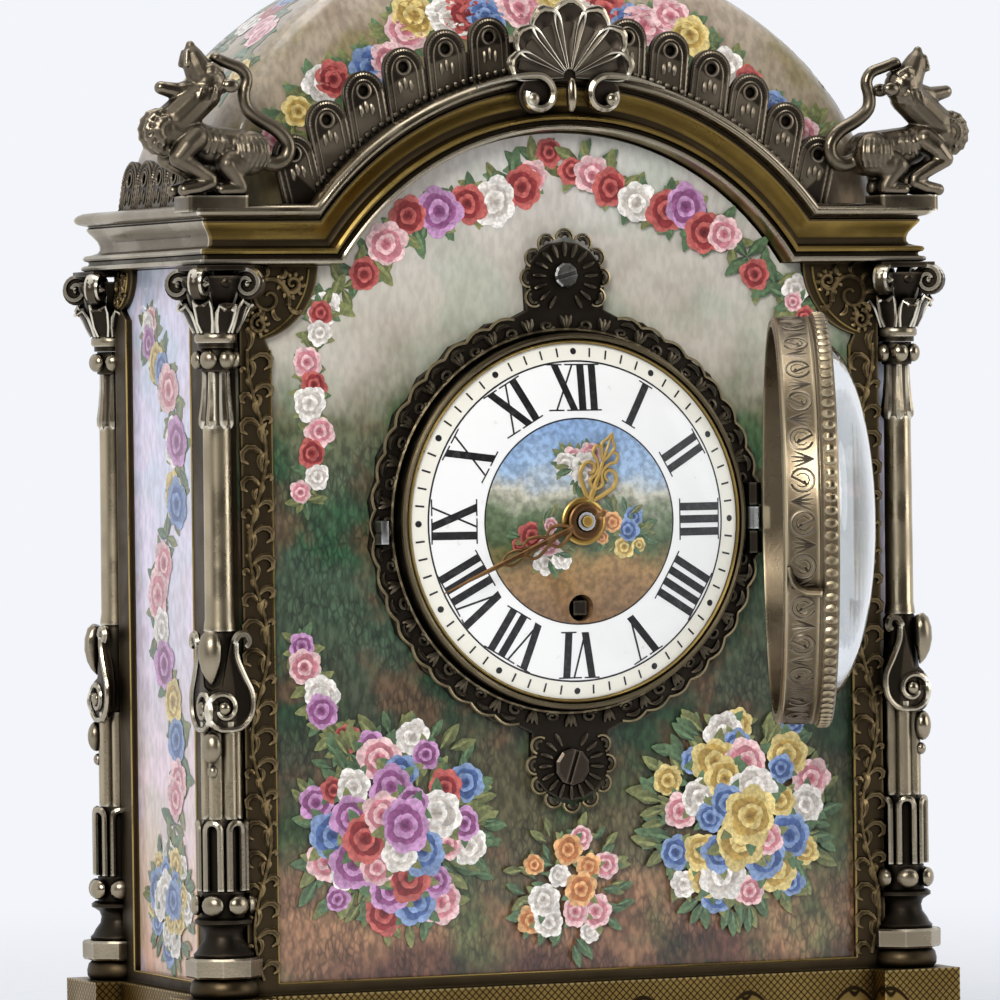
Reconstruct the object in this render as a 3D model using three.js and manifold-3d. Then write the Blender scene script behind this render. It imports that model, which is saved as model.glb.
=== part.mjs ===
// Small architectural table clock: enamelled panels in a columned metal case,
// a cushion dome, a hinged bezel with a domed glass and a key-wound movement.
// Millimetres, +Z up, the dial faces -Y, the origin is the middle of the underside.
import * as THREE from 'three';
import { mergeVertices } from 'three/addons/utils/BufferGeometryUtils.js';
import Module from 'manifold-3d';

const wasm = await Module();
wasm.setup();

// Plan and heights
const COLUMN_SPAN_X = 94.8;
const COLUMN_SPAN_Y = 37.1;
const BOTTOM_PLATE_THICKNESS = 2;
const BASE_HEIGHT = 10;
const BASE_OVERHANG = 8.5;
const BASE_WALL = 2;
const BASE_SHELF = 3.6;
const PLINTH_HEIGHT = 12;
const PLINTH_OVERHANG = 1.9;
const PEDESTAL_WIDTH = 10.8;
const COLUMN_HEIGHT = 91.6;
const CORNICE_HEIGHT = 6.5;
const DIAL_CENTRE_ABOVE_PLINTH = 58.8;

// Case walls, enamel panels and applied frames, measured outwards from the column axes
const CASE_WALL = 1.5;
const CASE_INSET = 1.2;
const CASE_CORNER_CHAMFER = 4.6;
const CASE_HOLE_SIDES = 24;
const PANEL_THICKNESS = 0.95;
const FRAME_THICKNESS = 0.8;
const FRAME_STRIP = 4.1;
const FRAME_RAIL = 1.4;
const COLUMN_RECESS = 3.0;
const FRONT_SPANDREL = 9.6;
const SIDE_SPANDREL = 5.2;
const FACE_GAP = 0.05;
const CUT_GAP = 0.3;

// Columns
const COLUMN_SIDES = 8;
const TORUS_HEIGHT = 2.6;
const TORUS_RADIUS = 3.6;
const DISC_HEIGHT = 2.5;
const DISC_RADIUS = 4.5;
const SPOOL_HEIGHT = 5;
const SPOOL_RADIUS = 2.5;
const LOWER_BEAD_HEIGHT = 3.1;
const LOWER_BEAD_RADIUS = 4;
const SLEEVE_HEIGHT = 9.5;
const SLEEVE_RADIUS = 3.1;
const LOWER_SHAFT_HEIGHT = 11.7;
const LOWER_SHAFT_RADIUS = 2.4;
const COLLAR_HEIGHT = 11.4;
const COLLAR_RADIUS = 2.6;
const UPPER_SHAFT_RADIUS = 1.65;
const TULIP_HEIGHT = 6.7;
const TULIP_RADIUS = 2;
const UPPER_BEAD_HEIGHT = 3;
const UPPER_BEAD_RADIUS = 2.8;
const CAPITAL_HEIGHT = 10.4;
const CAPITAL_WIDTH = 10.6;
const ABACUS_HEIGHT = 1.6;
const VOLUTE_RADIUS = 1.7;
const SCROLL_RADIUS = 2.2;
const SCROLL_THICKNESS = 1.7;
const SCROLL_SHIFT = 0.4;
const COLLAR_LEAF_HALF = 1.3;

// Cornice, arch and gallery
const CORNICE_TOP_OVERHANG = 3.46;
const CORNICE_BOTTOM_OVERHANG = 2.9;
const CORNICE_NECK = 0.2;
const CORNICE_DEPTH_INSIDE = 1.55;
const ARCH_RADIUS = 37.2;
const ARCH_RISE = 16.9;
const ARCH_STEPS = 12;
const GALLERY_THICKNESS = 0.8;
const GALLERY_BAND = 1.5;
const GALLERY_HEIGHT = 7.2;
const GALLERY_CAMBER = 0.04;
const GALLERY_TAB_WIDTH = 4.5;
const GALLERY_PITCH = 6.2;
const GALLERY_SIDE_PITCH = 4.9;
const GALLERY_HOLE_RADIUS = 0.75;
const GALLERY_LEAN = THREE.MathUtils.degToRad(8.5);
const CREST_HALF_WIDTH = 8;
const CREST_FAN_RADIUS = 9;
const CREST_LOBES = 7;
const CREST_THICKNESS = 2.2;
const CREST_VOLUTE_RADIUS = 2.4;
const CREST_VOLUTE_OUT = 4.3;
const CREST_DROP = 3.3;
const CREST_FOOT_HALF = 1.2;

// Roof
const TOP_PLATE_THICKNESS = 2;
const DOME_END_REACH = 0.1;
const DOME_FRONT_INSET = 2.55;
const DOME_CORNER = 5;
const DOME_HEIGHT = 36;
const DOME_WALL = 1.4;
const FINIAL_HEIGHT = 14;
const FINIAL_RADIUS = 4;
const FINIAL_STUD_RADIUS = 1.5;

// Corner beasts
const BEAST_PAD_LENGTH = 8.2;
const BEAST_PAD_WIDTH = 4.4;
const BEAST_PAD_HEIGHT = 1.2;
const BEAST_HEIGHT = 20;
const BEAST_GRID = 20;
const BEAST_TAIL_RADIUS = 0.85;

// Bezel seat and dial
const DIAL_RADIUS = 22.9;
const DIAL_CROWN = 2.4;
const DIAL_THICKNESS = 0.6;
const SEAT_PLATE = 1.1;
const SEAT_LEDGE = 1.6;
const SEAT_RISE = 2.45;
const SEAT_COLLAR = 0.7;
const COLLAR_RISE = 0.15;
const SEAT_MARGIN = 2;
const SEAT_SCALLOPS = 26;
const SCALLOP_DEPTH = 0.6;
const SEAT_TAB_LENGTH = 8.2;
const SEAT_TAB_RADIUS = 5.6;
const SEAT_SCREW_OFFSET = 3.9;
const TOP_SCREW_RADIUS = 1.6;
const BOTTOM_SCREW_RADIUS = 2.35;
const SCREW_HEAD_HEIGHT = 0.7;
const SCREW_SLOT_WIDTH = 0.5;
const SCREW_SLOT_DEPTH = 0.3;
const SCREW_SIDES = 10;
const TOP_SLOT_ANGLE = THREE.MathUtils.degToRad(15);
const BOTTOM_SLOT_ANGLE = THREE.MathUtils.degToRad(72);
const STUD_RADIUS = 0.7;
const STUD_LENGTH = 2.4;
const STUD_DROP = 1;

// Bezel door with its hinge and glass
const DOOR_OPEN_ANGLE = THREE.MathUtils.degToRad(67.5);
const DOOR_MARGIN = 1.5;
const DOOR_WALL = 1.1;
const DOOR_BAND = 4.8;
const DOOR_RIM = 2.1;
const DOOR_RIM_SWELL = 0.5;
const DOOR_LIP = 1.5;
const DOOR_LIP_THICKNESS = 1;
const DOOR_SIDES = 28;
const DOOR_SEAT_GAP = 0.45;
const GLASS_CROWN = 5.2;
const GLASS_THICKNESS = 0.9;
const GLASS_CLEARANCE = 0.12;
const KNUCKLE_RADIUS = 1.2;
const KNUCKLE_LENGTH = 2.8;
const HINGE_PIN_RADIUS = 0.5;
const HINGE_SIDES = 8;
const PIN_CLEARANCE = 0.06;
const THUMB_DROP = 8;
const THUMB_HEIGHT = 5.2;
const THUMB_REACH = 1.9;

// Movement
const PLATE_THICKNESS = 1.2;
const PLATE_GAP = 11;
const MOVEMENT_MARGIN = 0.9;
const BACK_PLATE_INSET = 2.2;
const PILLAR_RADIUS = 1.3;
const PILLAR_INSET = 3.8;
const PILLAR_ANGLES = [10, 105, 190, 305];
const ARBOR_RADIUS = 0.75;
const RUNNING_GAP = 0.15;
const WHEEL_TEETH = 24;
const PINION_TEETH = 6;
const WHEEL_THICKNESS = 1;
const PINION_THICKNESS = 1.8;
const MESH_SLACK = 0.1;
const WINDING_DROP = 11;
const WINDING_HOLE_RADIUS = 1.7;
const BARREL_DEPTH = 6.1;
const BARREL_WALL = 0.7;
const DRUM_SIDES = 20;
const THIRD_MODULE = 0.62;
const FOURTH_MODULE = 0.56;
const ESCAPE_MODULE = 0.5;
const ESCAPE_RADIUS = 3.8;
const ESCAPE_TEETH = 12;
const ESCAPE_TOOTH = 1.1;
const ESCAPE_THICKNESS = 0.7;
const BALANCE_RADIUS = 5.4;
const BALANCE_RIM = 0.9;
const BALANCE_THICKNESS = 0.8;
const COCK_REACH = 2.6;
const COCK_THICKNESS = 1;
const COCK_TURN = 25;
const COCK_HALF_WIDTH = 1.1;
const COCK_FOOT_RADIUS = 1.7;
const HAIRSPRING_TURNS = 4;
const MAINSPRING_TURNS = 4;
const SPRING_STEPS = 12;
const SPRING_GAP = 0.4;
const MAINSPRING_THICKNESS = 0.35;
const HAIRSPRING_THICKNESS = 0.16;
const MOTION_CENTRES = 7.6;
const CANNON_TEETH = 8;
const MINUTE_WHEEL_TEETH = 24;
const MINUTE_PINION_TEETH = 8;
const HOUR_WHEEL_TEETH = 32;
const MOTION_THICKNESS = 0.7;
const MOTION_STEP = 1;
const RATCHET_RADIUS = 3.9;
const RATCHET_TEETH = 14;
const RATCHET_TOOTH = 0.9;
const RATCHET_THICKNESS = 0.8;
const CLICK_REACH = 2.9;
const CLICK_BOSS_RADIUS = 1.1;
const CLICK_CLEARANCE = 0.45;

// Hands, set to the time of day shown on the dial
const HOUR_ANGLE = THREE.MathUtils.degToRad(20.5);
const MINUTE_ANGLE = THREE.MathUtils.degToRad(246);
const HOUR_HAND_LENGTH = 11.9;
const MINUTE_HAND_MARGIN = 1.3;
const HAND_THICKNESS = 0.35;
const HAND_GAP = 0.35;
const POST_END = 0.5;
const PIPE_END = 0.1;
const CANNON_TUBE_RADIUS = 1.2;
const HOUR_PIPE_RADIUS = 1.95;
const HAND_BOSS_RADIUS = 3;

// Values worked out from the sizes above
const HALF_X = COLUMN_SPAN_X / 2;
const HALF_Y = COLUMN_SPAN_Y / 2;
const PLINTH_TOP = BASE_HEIGHT + PLINTH_HEIGHT;
const CORNICE_BOTTOM = PLINTH_TOP + COLUMN_HEIGHT;
const ROOF = CORNICE_BOTTOM + CORNICE_HEIGHT;
const DIAL_Z = PLINTH_TOP + DIAL_CENTRE_ABOVE_PLINTH;
const PANEL_BACK = -CASE_INSET + FACE_GAP;
const PANEL_FRONT = PANEL_BACK + PANEL_THICKNESS;
const FRAME_BACK = PANEL_FRONT + FACE_GAP;
const FRAME_FRONT = FRAME_BACK + FRAME_THICKNESS;
const ARCH_CENTRE_Z = CORNICE_BOTTOM + ARCH_RISE - ARCH_RADIUS;
const ARCH_OUTER_RADIUS = ARCH_RADIUS + CORNICE_HEIGHT;
const DOME_HALF_X = HALF_X + DOME_END_REACH;
const DOME_HALF_Y = HALF_Y - DOME_FRONT_INSET;
const MOVEMENT_RADIUS = DIAL_RADIUS + MOVEMENT_MARGIN;
const BACK_PLATE_RADIUS = MOVEMENT_RADIUS - BACK_PLATE_INSET;
const PILLAR_CIRCLE = MOVEMENT_RADIUS - PILLAR_INSET;
const MINUTE_HAND_LENGTH = DIAL_RADIUS - MINUTE_HAND_MARGIN;
const CASE_HOLE_RADIUS = MOVEMENT_RADIUS + CUT_GAP;
const SEAT_BACK_Y = -(HALF_Y + PANEL_FRONT + FACE_GAP);
const SEAT_FRONT_Y = SEAT_BACK_Y - SEAT_PLATE;
const LEDGE_Y = SEAT_BACK_Y - SEAT_RISE;
const DIAL_RIM_Y = LEDGE_Y - FACE_GAP - DIAL_THICKNESS;
const COLLAR_INNER_RADIUS = DIAL_RADIUS + CUT_GAP;
const COLLAR_OUTER_RADIUS = COLLAR_INNER_RADIUS + SEAT_COLLAR;
const DOOR_RADIUS = COLLAR_OUTER_RADIUS + DOOR_MARGIN;
const SEAT_RADIUS = DOOR_RADIUS + SEAT_MARGIN;
const SEAT_TAB_REACH = SEAT_RADIUS + SEAT_TAB_LENGTH;
const SEAT_SCREW_DISTANCE = SEAT_RADIUS + SEAT_SCREW_OFFSET;
const COLLAR_FRONT_Y = DIAL_RIM_Y - COLLAR_RISE;
const DOOR_BACK_Y = COLLAR_FRONT_Y - DOOR_SEAT_GAP;
const HINGE_X = DOOR_RADIUS;
const HINGE_Y = DOOR_BACK_Y + KNUCKLE_RADIUS + FACE_GAP;
const FRONT_PLATE_FRONT_Y = SEAT_BACK_Y + FACE_GAP;
const FRONT_PLATE_BACK_Y = FRONT_PLATE_FRONT_Y + PLATE_THICKNESS;
const BACK_PLATE_Y = FRONT_PLATE_BACK_Y + PLATE_GAP;
const DIAL_CROWN_Y = DIAL_RIM_Y - DIAL_CROWN;
const HOUR_HAND_Y = DIAL_CROWN_Y - HAND_GAP;
const MINUTE_HAND_Y = HOUR_HAND_Y - HAND_THICKNESS - HAND_GAP;

// Finishes
const METALS = {
  silver: { color: 0xb9b2a2, roughness: 0.35, metalness: 1 },
  gilt: { color: 0xa98f4a, roughness: 0.38, metalness: 1 },
  darkSilver: { color: 0x57514a, roughness: 0.5, metalness: 1 },
  brass: { color: 0xc9a24f, roughness: 0.35, metalness: 1 },
  steel: { color: 0x9a9c9f, roughness: 0.3, metalness: 1 },
  bluedSteel: { color: 0x2a2c38, roughness: 0.35, metalness: 1 },
};
const ENAMELS = {
  front: { color: 0x8c8a78, roughness: 0.2, metalness: 0 },
  side: { color: 0xcbbcc0, roughness: 0.2, metalness: 0 },
  dome: { color: 0x8f8266, roughness: 0.2, metalness: 0 },
  dial: { color: 0xf0efe8, roughness: 0.2, metalness: 0 },
};
const GLASS = { color: 0xf4f8fa, roughness: 0.03, metalness: 0 };

const clock = new THREE.Group();
const door = new THREE.Group();
door.position.set(HINGE_X, HINGE_Y, DIAL_Z);
door.rotation.z = DOOR_OPEN_ANGLE;
clock.add(door);

// Adds one named piece to a group.
function piece(name, geometry, finish, parent = clock) {
  const mesh = new THREE.Mesh(geometry, new THREE.MeshStandardMaterial(finish));
  mesh.name = name;
  parent.add(mesh);
}

// Signed volume of a geometry, used to turn its faces outwards.
function signedVolume(position, index) {
  const a = new THREE.Vector3();
  const b = new THREE.Vector3();
  const c = new THREE.Vector3();
  let total = 0;
  for (let i = 0; i < index.count; i += 3) {
    a.fromBufferAttribute(position, index.getX(i));
    b.fromBufferAttribute(position, index.getX(i + 1));
    c.fromBufferAttribute(position, index.getX(i + 2));
    total += a.dot(b.cross(c)) / 6;
  }
  return total;
}

// Position-only copy with merged vertices and outward faces.
function clean(geometry) {
  const bare = geometry.clone();
  for (const name of Object.keys(bare.attributes)) {
    if (name !== 'position') bare.deleteAttribute(name);
  }
  const merged = mergeVertices(bare, 1e-4);
  const index = merged.index;
  if (signedVolume(merged.attributes.position, index) < 0) {
    for (let i = 0; i < index.count; i += 3) {
      const first = index.getX(i);
      index.setX(i, index.getX(i + 1));
      index.setX(i + 1, first);
    }
  }
  return merged;
}

function toSolid(geometry) {
  const ready = clean(geometry);
  return new wasm.Manifold(new wasm.Mesh({
    numProp: 3,
    vertProperties: new Float32Array(ready.attributes.position.array),
    triVerts: new Uint32Array(ready.index.array),
  }));
}

function toGeometry(solid) {
  const mesh = solid.getMesh();
  const geometry = new THREE.BufferGeometry();
  geometry.setAttribute('position', new THREE.BufferAttribute(new Float32Array(mesh.vertProperties), 3));
  geometry.setIndex(new THREE.BufferAttribute(new Uint32Array(mesh.triVerts), 1));
  return geometry;
}

function join(...geometries) {
  return toGeometry(geometries.map(toSolid).reduce((sum, solid) => sum.add(solid)));
}

function cut(base, ...tools) {
  return toGeometry(tools.map(toSolid).reduce((rest, tool) => rest.subtract(tool), toSolid(base)));
}

function box(x0, x1, y0, y1, z0, z1) {
  const geometry = new THREE.BoxGeometry(x1 - x0, y1 - y0, z1 - z0);
  return geometry.translate((x0 + x1) / 2, (y0 + y1) / 2, (z0 + z1) / 2);
}

function outline(points) {
  return new THREE.Shape(points.map(([x, y]) => new THREE.Vector2(x, y)));
}

// A shape drawn in front view (x, z) and thickened forwards, from backY towards -Y.
function frontPlate(shape, backY, depth, curveSegments = 14) {
  const geometry = new THREE.ExtrudeGeometry(shape, { depth, bevelEnabled: false, curveSegments });
  return geometry.rotateX(Math.PI / 2).translate(0, backY, 0);
}

// A shape drawn in plan (x, y) and thickened upwards.
function planPlate(shape, z, depth, curveSegments = 8) {
  const geometry = new THREE.ExtrudeGeometry(shape, { depth, bevelEnabled: false, curveSegments });
  return geometry.translate(0, 0, z);
}

// A turned piece about a vertical axis: points are [radius, height].
function turned(points, sides) {
  const profile = points.map(([radius, height]) => new THREE.Vector2(radius, height));
  return clean(new THREE.LatheGeometry(profile, sides).rotateX(Math.PI / 2));
}

// A turned piece about an axis along Y through (x, z): points are [radius, y].
function turnedAlongY(points, sides, x = 0, z = DIAL_Z) {
  const profile = points.map(([radius, y]) => new THREE.Vector2(radius, y));
  return clean(new THREE.LatheGeometry(profile, sides).translate(x, 0, z));
}

function rodAlongY(radius, y0, y1, sides, x, z) {
  return turnedAlongY([[0, y0], [radius, y0], [radius, y1], [0, y1]], sides, x, z);
}

// A rod between two points.
function strut(from, to, radiusFrom, radiusTo, sides = 6) {
  const axis = new THREE.Vector3().subVectors(to, from);
  const geometry = new THREE.CylinderGeometry(radiusTo, radiusFrom, axis.length(), sides);
  const upright = new THREE.Vector3(0, 1, 0);
  const turn = new THREE.Quaternion().setFromUnitVectors(upright, axis.clone().normalize());
  const middle = new THREE.Vector3().addVectors(from, to).multiplyScalar(0.5);
  return geometry.applyQuaternion(turn).translate(middle.x, middle.y, middle.z);
}

// Joins rings of points that share one count; the ends are capped from the flat section.
function loft(rings, section) {
  const count = section.length;
  const points = rings.flat();
  const faces = [];
  for (let r = 0; r < rings.length - 1; r += 1) {
    for (let i = 0; i < count; i += 1) {
      const a = r * count + i;
      const b = r * count + ((i + 1) % count);
      faces.push(a, b, b + count, a, b + count, a + count);
    }
  }
  const cap = THREE.ShapeUtils.triangulateShape(section.map(([x, y]) => new THREE.Vector2(x, y)), []);
  const last = (rings.length - 1) * count;
  for (const [a, b, c] of cap) {
    faces.push(b, a, c, last + a, last + b, last + c);
  }
  return meshOf(points, faces);
}

// Joins rings into a tube that closes on its first ring.
function closedLoft(rings) {
  const count = rings[0].length;
  const faces = [];
  for (let r = 0; r < rings.length; r += 1) {
    const next = ((r + 1) % rings.length) * count;
    for (let i = 0; i < count; i += 1) {
      const a = r * count + i;
      const b = r * count + ((i + 1) % count);
      const c = next + ((i + 1) % count);
      const d = next + i;
      faces.push(a, b, c, a, c, d);
    }
  }
  return meshOf(rings.flat(), faces);
}

function meshOf(points, faces) {
  const geometry = new THREE.BufferGeometry();
  geometry.setAttribute('position', new THREE.Float32BufferAttribute(points.flat(), 3));
  geometry.setIndex(faces);
  return clean(geometry);
}

// The four walls: the turn about Z that brings the front wall there, and its distance from the middle.
const WALLS = {
  front: { turn: 0, distance: HALF_Y, halfWidth: HALF_X },
  left: { turn: -Math.PI / 2, distance: HALF_X, halfWidth: HALF_Y },
  back: { turn: Math.PI, distance: HALF_Y, halfWidth: HALF_X },
  right: { turn: Math.PI / 2, distance: HALF_X, halfWidth: HALF_Y },
};

// The four corners as signs of x and y.
const CORNERS = {
  front_left: [-1, -1],
  front_right: [1, -1],
  back_left: [-1, 1],
  back_right: [1, 1],
};

// Rectangle in plan, offset outwards from the column axes.
function planRectangle(offset) {
  const x = HALF_X + offset;
  const y = HALF_Y + offset;
  return [[-x, -y], [x, -y], [x, y], [-x, y]];
}

function addHole(shape, points) {
  shape.holes.push(new THREE.Path(points.map(([x, y]) => new THREE.Vector2(x, y))));
  return shape;
}

// Bottom plate, moulded base and plinth with four pedestals.
function makeBase() {
  const inner = BASE_OVERHANG - BASE_WALL - CUT_GAP;
  piece('bottom_plate', planPlate(outline(planRectangle(inner)), 0, BOTTOM_PLATE_THICKNESS), METALS.silver);
  const shelf = PLINTH_OVERHANG + BASE_SHELF;
  const profile = [
    [BASE_OVERHANG, 0], [BASE_OVERHANG, BASE_HEIGHT * 0.28], [BASE_OVERHANG - 0.8, BASE_HEIGHT * 0.34],
    [shelf + 0.5, BASE_HEIGHT * 0.58], [shelf, BASE_HEIGHT * 0.78], [shelf + 0.6, BASE_HEIGHT * 0.84],
    [shelf + 0.6, BASE_HEIGHT], [-CASE_INSET - CASE_WALL, BASE_HEIGHT],
    [-CASE_INSET - CASE_WALL, BASE_HEIGHT - BASE_WALL], [BASE_OVERHANG - BASE_WALL, BASE_HEIGHT * 0.28],
    [BASE_OVERHANG - BASE_WALL, 0],
  ];
  const rings = profile.map(([offset, z]) => planRectangle(offset).map(([x, y]) => [x, y, z]));
  piece('base_moulding', closedLoft(rings), METALS.gilt);

  const half = PEDESTAL_WIDTH / 2;
  const plan = [];
  for (const [sx, sy] of [[-1, -1], [1, -1], [1, 1], [-1, 1]]) {
    const near = [sx * (HALF_X - half), sy * (HALF_Y + PLINTH_OVERHANG)];
    const nearOut = [sx * (HALF_X - half), sy * (HALF_Y + half)];
    const corner = [sx * (HALF_X + half), sy * (HALF_Y + half)];
    const farOut = [sx * (HALF_X + half), sy * (HALF_Y - half)];
    const far = [sx * (HALF_X + PLINTH_OVERHANG), sy * (HALF_Y - half)];
    const run = [near, nearOut, corner, farOut, far];
    plan.push(...(sx * sy > 0 ? run.reverse() : run));
  }
  const shape = addHole(outline(plan), planRectangle(-CASE_INSET - CASE_WALL));
  const depth = PLINTH_HEIGHT - FACE_GAP;
  piece('plinth', planPlate(shape, BASE_HEIGHT + FACE_GAP, depth), METALS.gilt);
}

// Sheet case with chamfered corners and the round opening for the movement.
function makeCase() {
  const ring = (offset, chamfer) => {
    const x = HALF_X + offset;
    const y = HALF_Y + offset;
    return [
      [-x + chamfer, -y], [x - chamfer, -y], [x, -y + chamfer], [x, y - chamfer],
      [x - chamfer, y], [-x + chamfer, y], [-x, y - chamfer], [-x, -y + chamfer],
    ];
  };
  const shape = addHole(
    outline(ring(-CASE_INSET, CASE_CORNER_CHAMFER)),
    ring(-CASE_INSET - CASE_WALL, CASE_CORNER_CHAMFER - CASE_WALL * 0.586),
  );
  const tube = planPlate(shape, PLINTH_TOP + FACE_GAP, COLUMN_HEIGHT - 2 * FACE_GAP);
  const outside = -HALF_Y - CASE_WALL;
  const inside = -HALF_Y + 4 * CASE_WALL;
  const opening = rodAlongY(CASE_HOLE_RADIUS, outside, inside, CASE_HOLE_SIDES, 0, DIAL_Z);
  piece('case_body', cut(tube, opening), METALS.silver);
}

// U-shaped applied frame with a quarter-round spandrel in each top corner.
function frameShape(halfWidth, spandrel) {
  const outer = halfWidth - COLUMN_RECESS;
  const inner = outer - FRAME_STRIP;
  const bottom = PLINTH_TOP + FACE_GAP;
  const top = CORNICE_BOTTOM - FACE_GAP;
  const shape = new THREE.Shape();
  const reach = outer - FRAME_STRIP * 0.25;
  const step = FRAME_STRIP * 0.3;
  shape.moveTo(-outer, bottom);
  shape.lineTo(outer, bottom);
  shape.lineTo(outer, top);
  shape.lineTo(reach - spandrel, top);
  shape.absarc(reach, top, spandrel, Math.PI, Math.PI * 1.42, false);
  shape.lineTo(inner, top - spandrel - step);
  shape.lineTo(inner, bottom + FRAME_RAIL);
  shape.lineTo(-inner, bottom + FRAME_RAIL);
  shape.lineTo(-inner, top - spandrel - step);
  shape.absarc(-reach, top, spandrel, Math.PI * 1.58, Math.PI * 2, false);
  shape.lineTo(-outer, top);
  shape.closePath();
  return shape;
}

// Plain enamel plate; the front one rises into the arch and is pierced for the movement.
function panelShape(halfWidth, arched) {
  const half = halfWidth - COLUMN_RECESS - FACE_GAP;
  const bottom = PLINTH_TOP + FACE_GAP;
  const top = CORNICE_BOTTOM - 2 * FACE_GAP;
  const shape = new THREE.Shape();
  shape.moveTo(-half, bottom);
  shape.lineTo(half, bottom);
  shape.lineTo(half, top);
  if (arched) {
    const radius = ARCH_RADIUS - CUT_GAP;
    const spring = Math.asin((top - ARCH_CENTRE_Z) / radius);
    shape.lineTo(radius * Math.cos(spring), top);
    shape.absarc(0, ARCH_CENTRE_Z, radius, spring, Math.PI - spring, false);
    const hole = new THREE.Path();
    hole.absarc(0, DIAL_Z, CASE_HOLE_RADIUS, 0, Math.PI * 2, true);
    shape.holes.push(hole);
  }
  shape.lineTo(-half, top);
  shape.closePath();
  return shape;
}

function makeWalls() {
  for (const [name, wall] of Object.entries(WALLS)) {
    const broad = wall.halfWidth === HALF_X;
    const spandrel = broad ? FRONT_SPANDREL : SIDE_SPANDREL;
    const panelBack = -(wall.distance + PANEL_BACK);
    const frameBack = -(wall.distance + FRAME_BACK);
    const panel = frontPlate(panelShape(wall.halfWidth, name === 'front'), panelBack, PANEL_THICKNESS);
    const frame = frontPlate(frameShape(wall.halfWidth, spandrel), frameBack, FRAME_THICKNESS, 8);
    piece(`${name}_panel`, panel.rotateZ(wall.turn), broad ? ENAMELS.front : ENAMELS.side);
    piece(`${name}_frame`, frame.rotateZ(wall.turn), METALS.darkSilver);
  }
}

// What the corner of the case takes out of a column that stands against it, front left corner.
function cornerNotch() {
  const frontX = -HALF_X + COLUMN_RECESS - CUT_GAP;
  const sideY = -HALF_Y + COLUMN_RECESS - CUT_GAP;
  const reach = CAPITAL_WIDTH;
  const outward = FRAME_FRONT + CUT_GAP;
  const low = PLINTH_TOP - 1;
  const high = CORNICE_BOTTOM + 1;
  return [
    box(frontX, frontX + reach, -HALF_Y - outward, -HALF_Y + reach, low, high),
    box(-HALF_X - outward, -HALF_X + reach, sideY, sideY + reach, low, high),
  ];
}

// Pair of scroll brackets round the collar, with a leaf towards the outside of the corner.
function collarScrolls(collarZ) {
  const parts = [];
  for (const side of [-1, 1]) {
    const eye = side * (COLLAR_RADIUS - SCROLL_SHIFT);
    const low = collarZ + COLLAR_HEIGHT * 0.3;
    const high = collarZ + COLLAR_HEIGHT * 0.9;
    const tip = side * (COLLAR_RADIUS + SCROLL_SHIFT);
    const depth = SCROLL_THICKNESS / 2;
    parts.push(rodAlongY(SCROLL_RADIUS, -depth, depth, 8, eye, low));
    parts.push(rodAlongY(SCROLL_RADIUS * 0.45, -depth, depth, 6, tip, high));
    const neck = new THREE.Vector3(eye + side * SCROLL_RADIUS * 0.55, 0, low + SCROLL_RADIUS * 0.4);
    const curl = new THREE.Vector3(tip, 0, high);
    parts.push(strut(neck, curl, SCROLL_RADIUS * 0.45, SCROLL_RADIUS * 0.25, 4));
  }
  const leaf = new THREE.SphereGeometry(1, 6, 4).scale(COLLAR_LEAF_HALF, 1, COLLAR_HEIGHT * 0.3);
  parts.push(leaf.translate(0, -COLLAR_RADIUS * 0.8, collarZ + COLLAR_HEIGHT * 0.7));
  return parts.map((part) => part.rotateZ(-Math.PI / 4));
}

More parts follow.
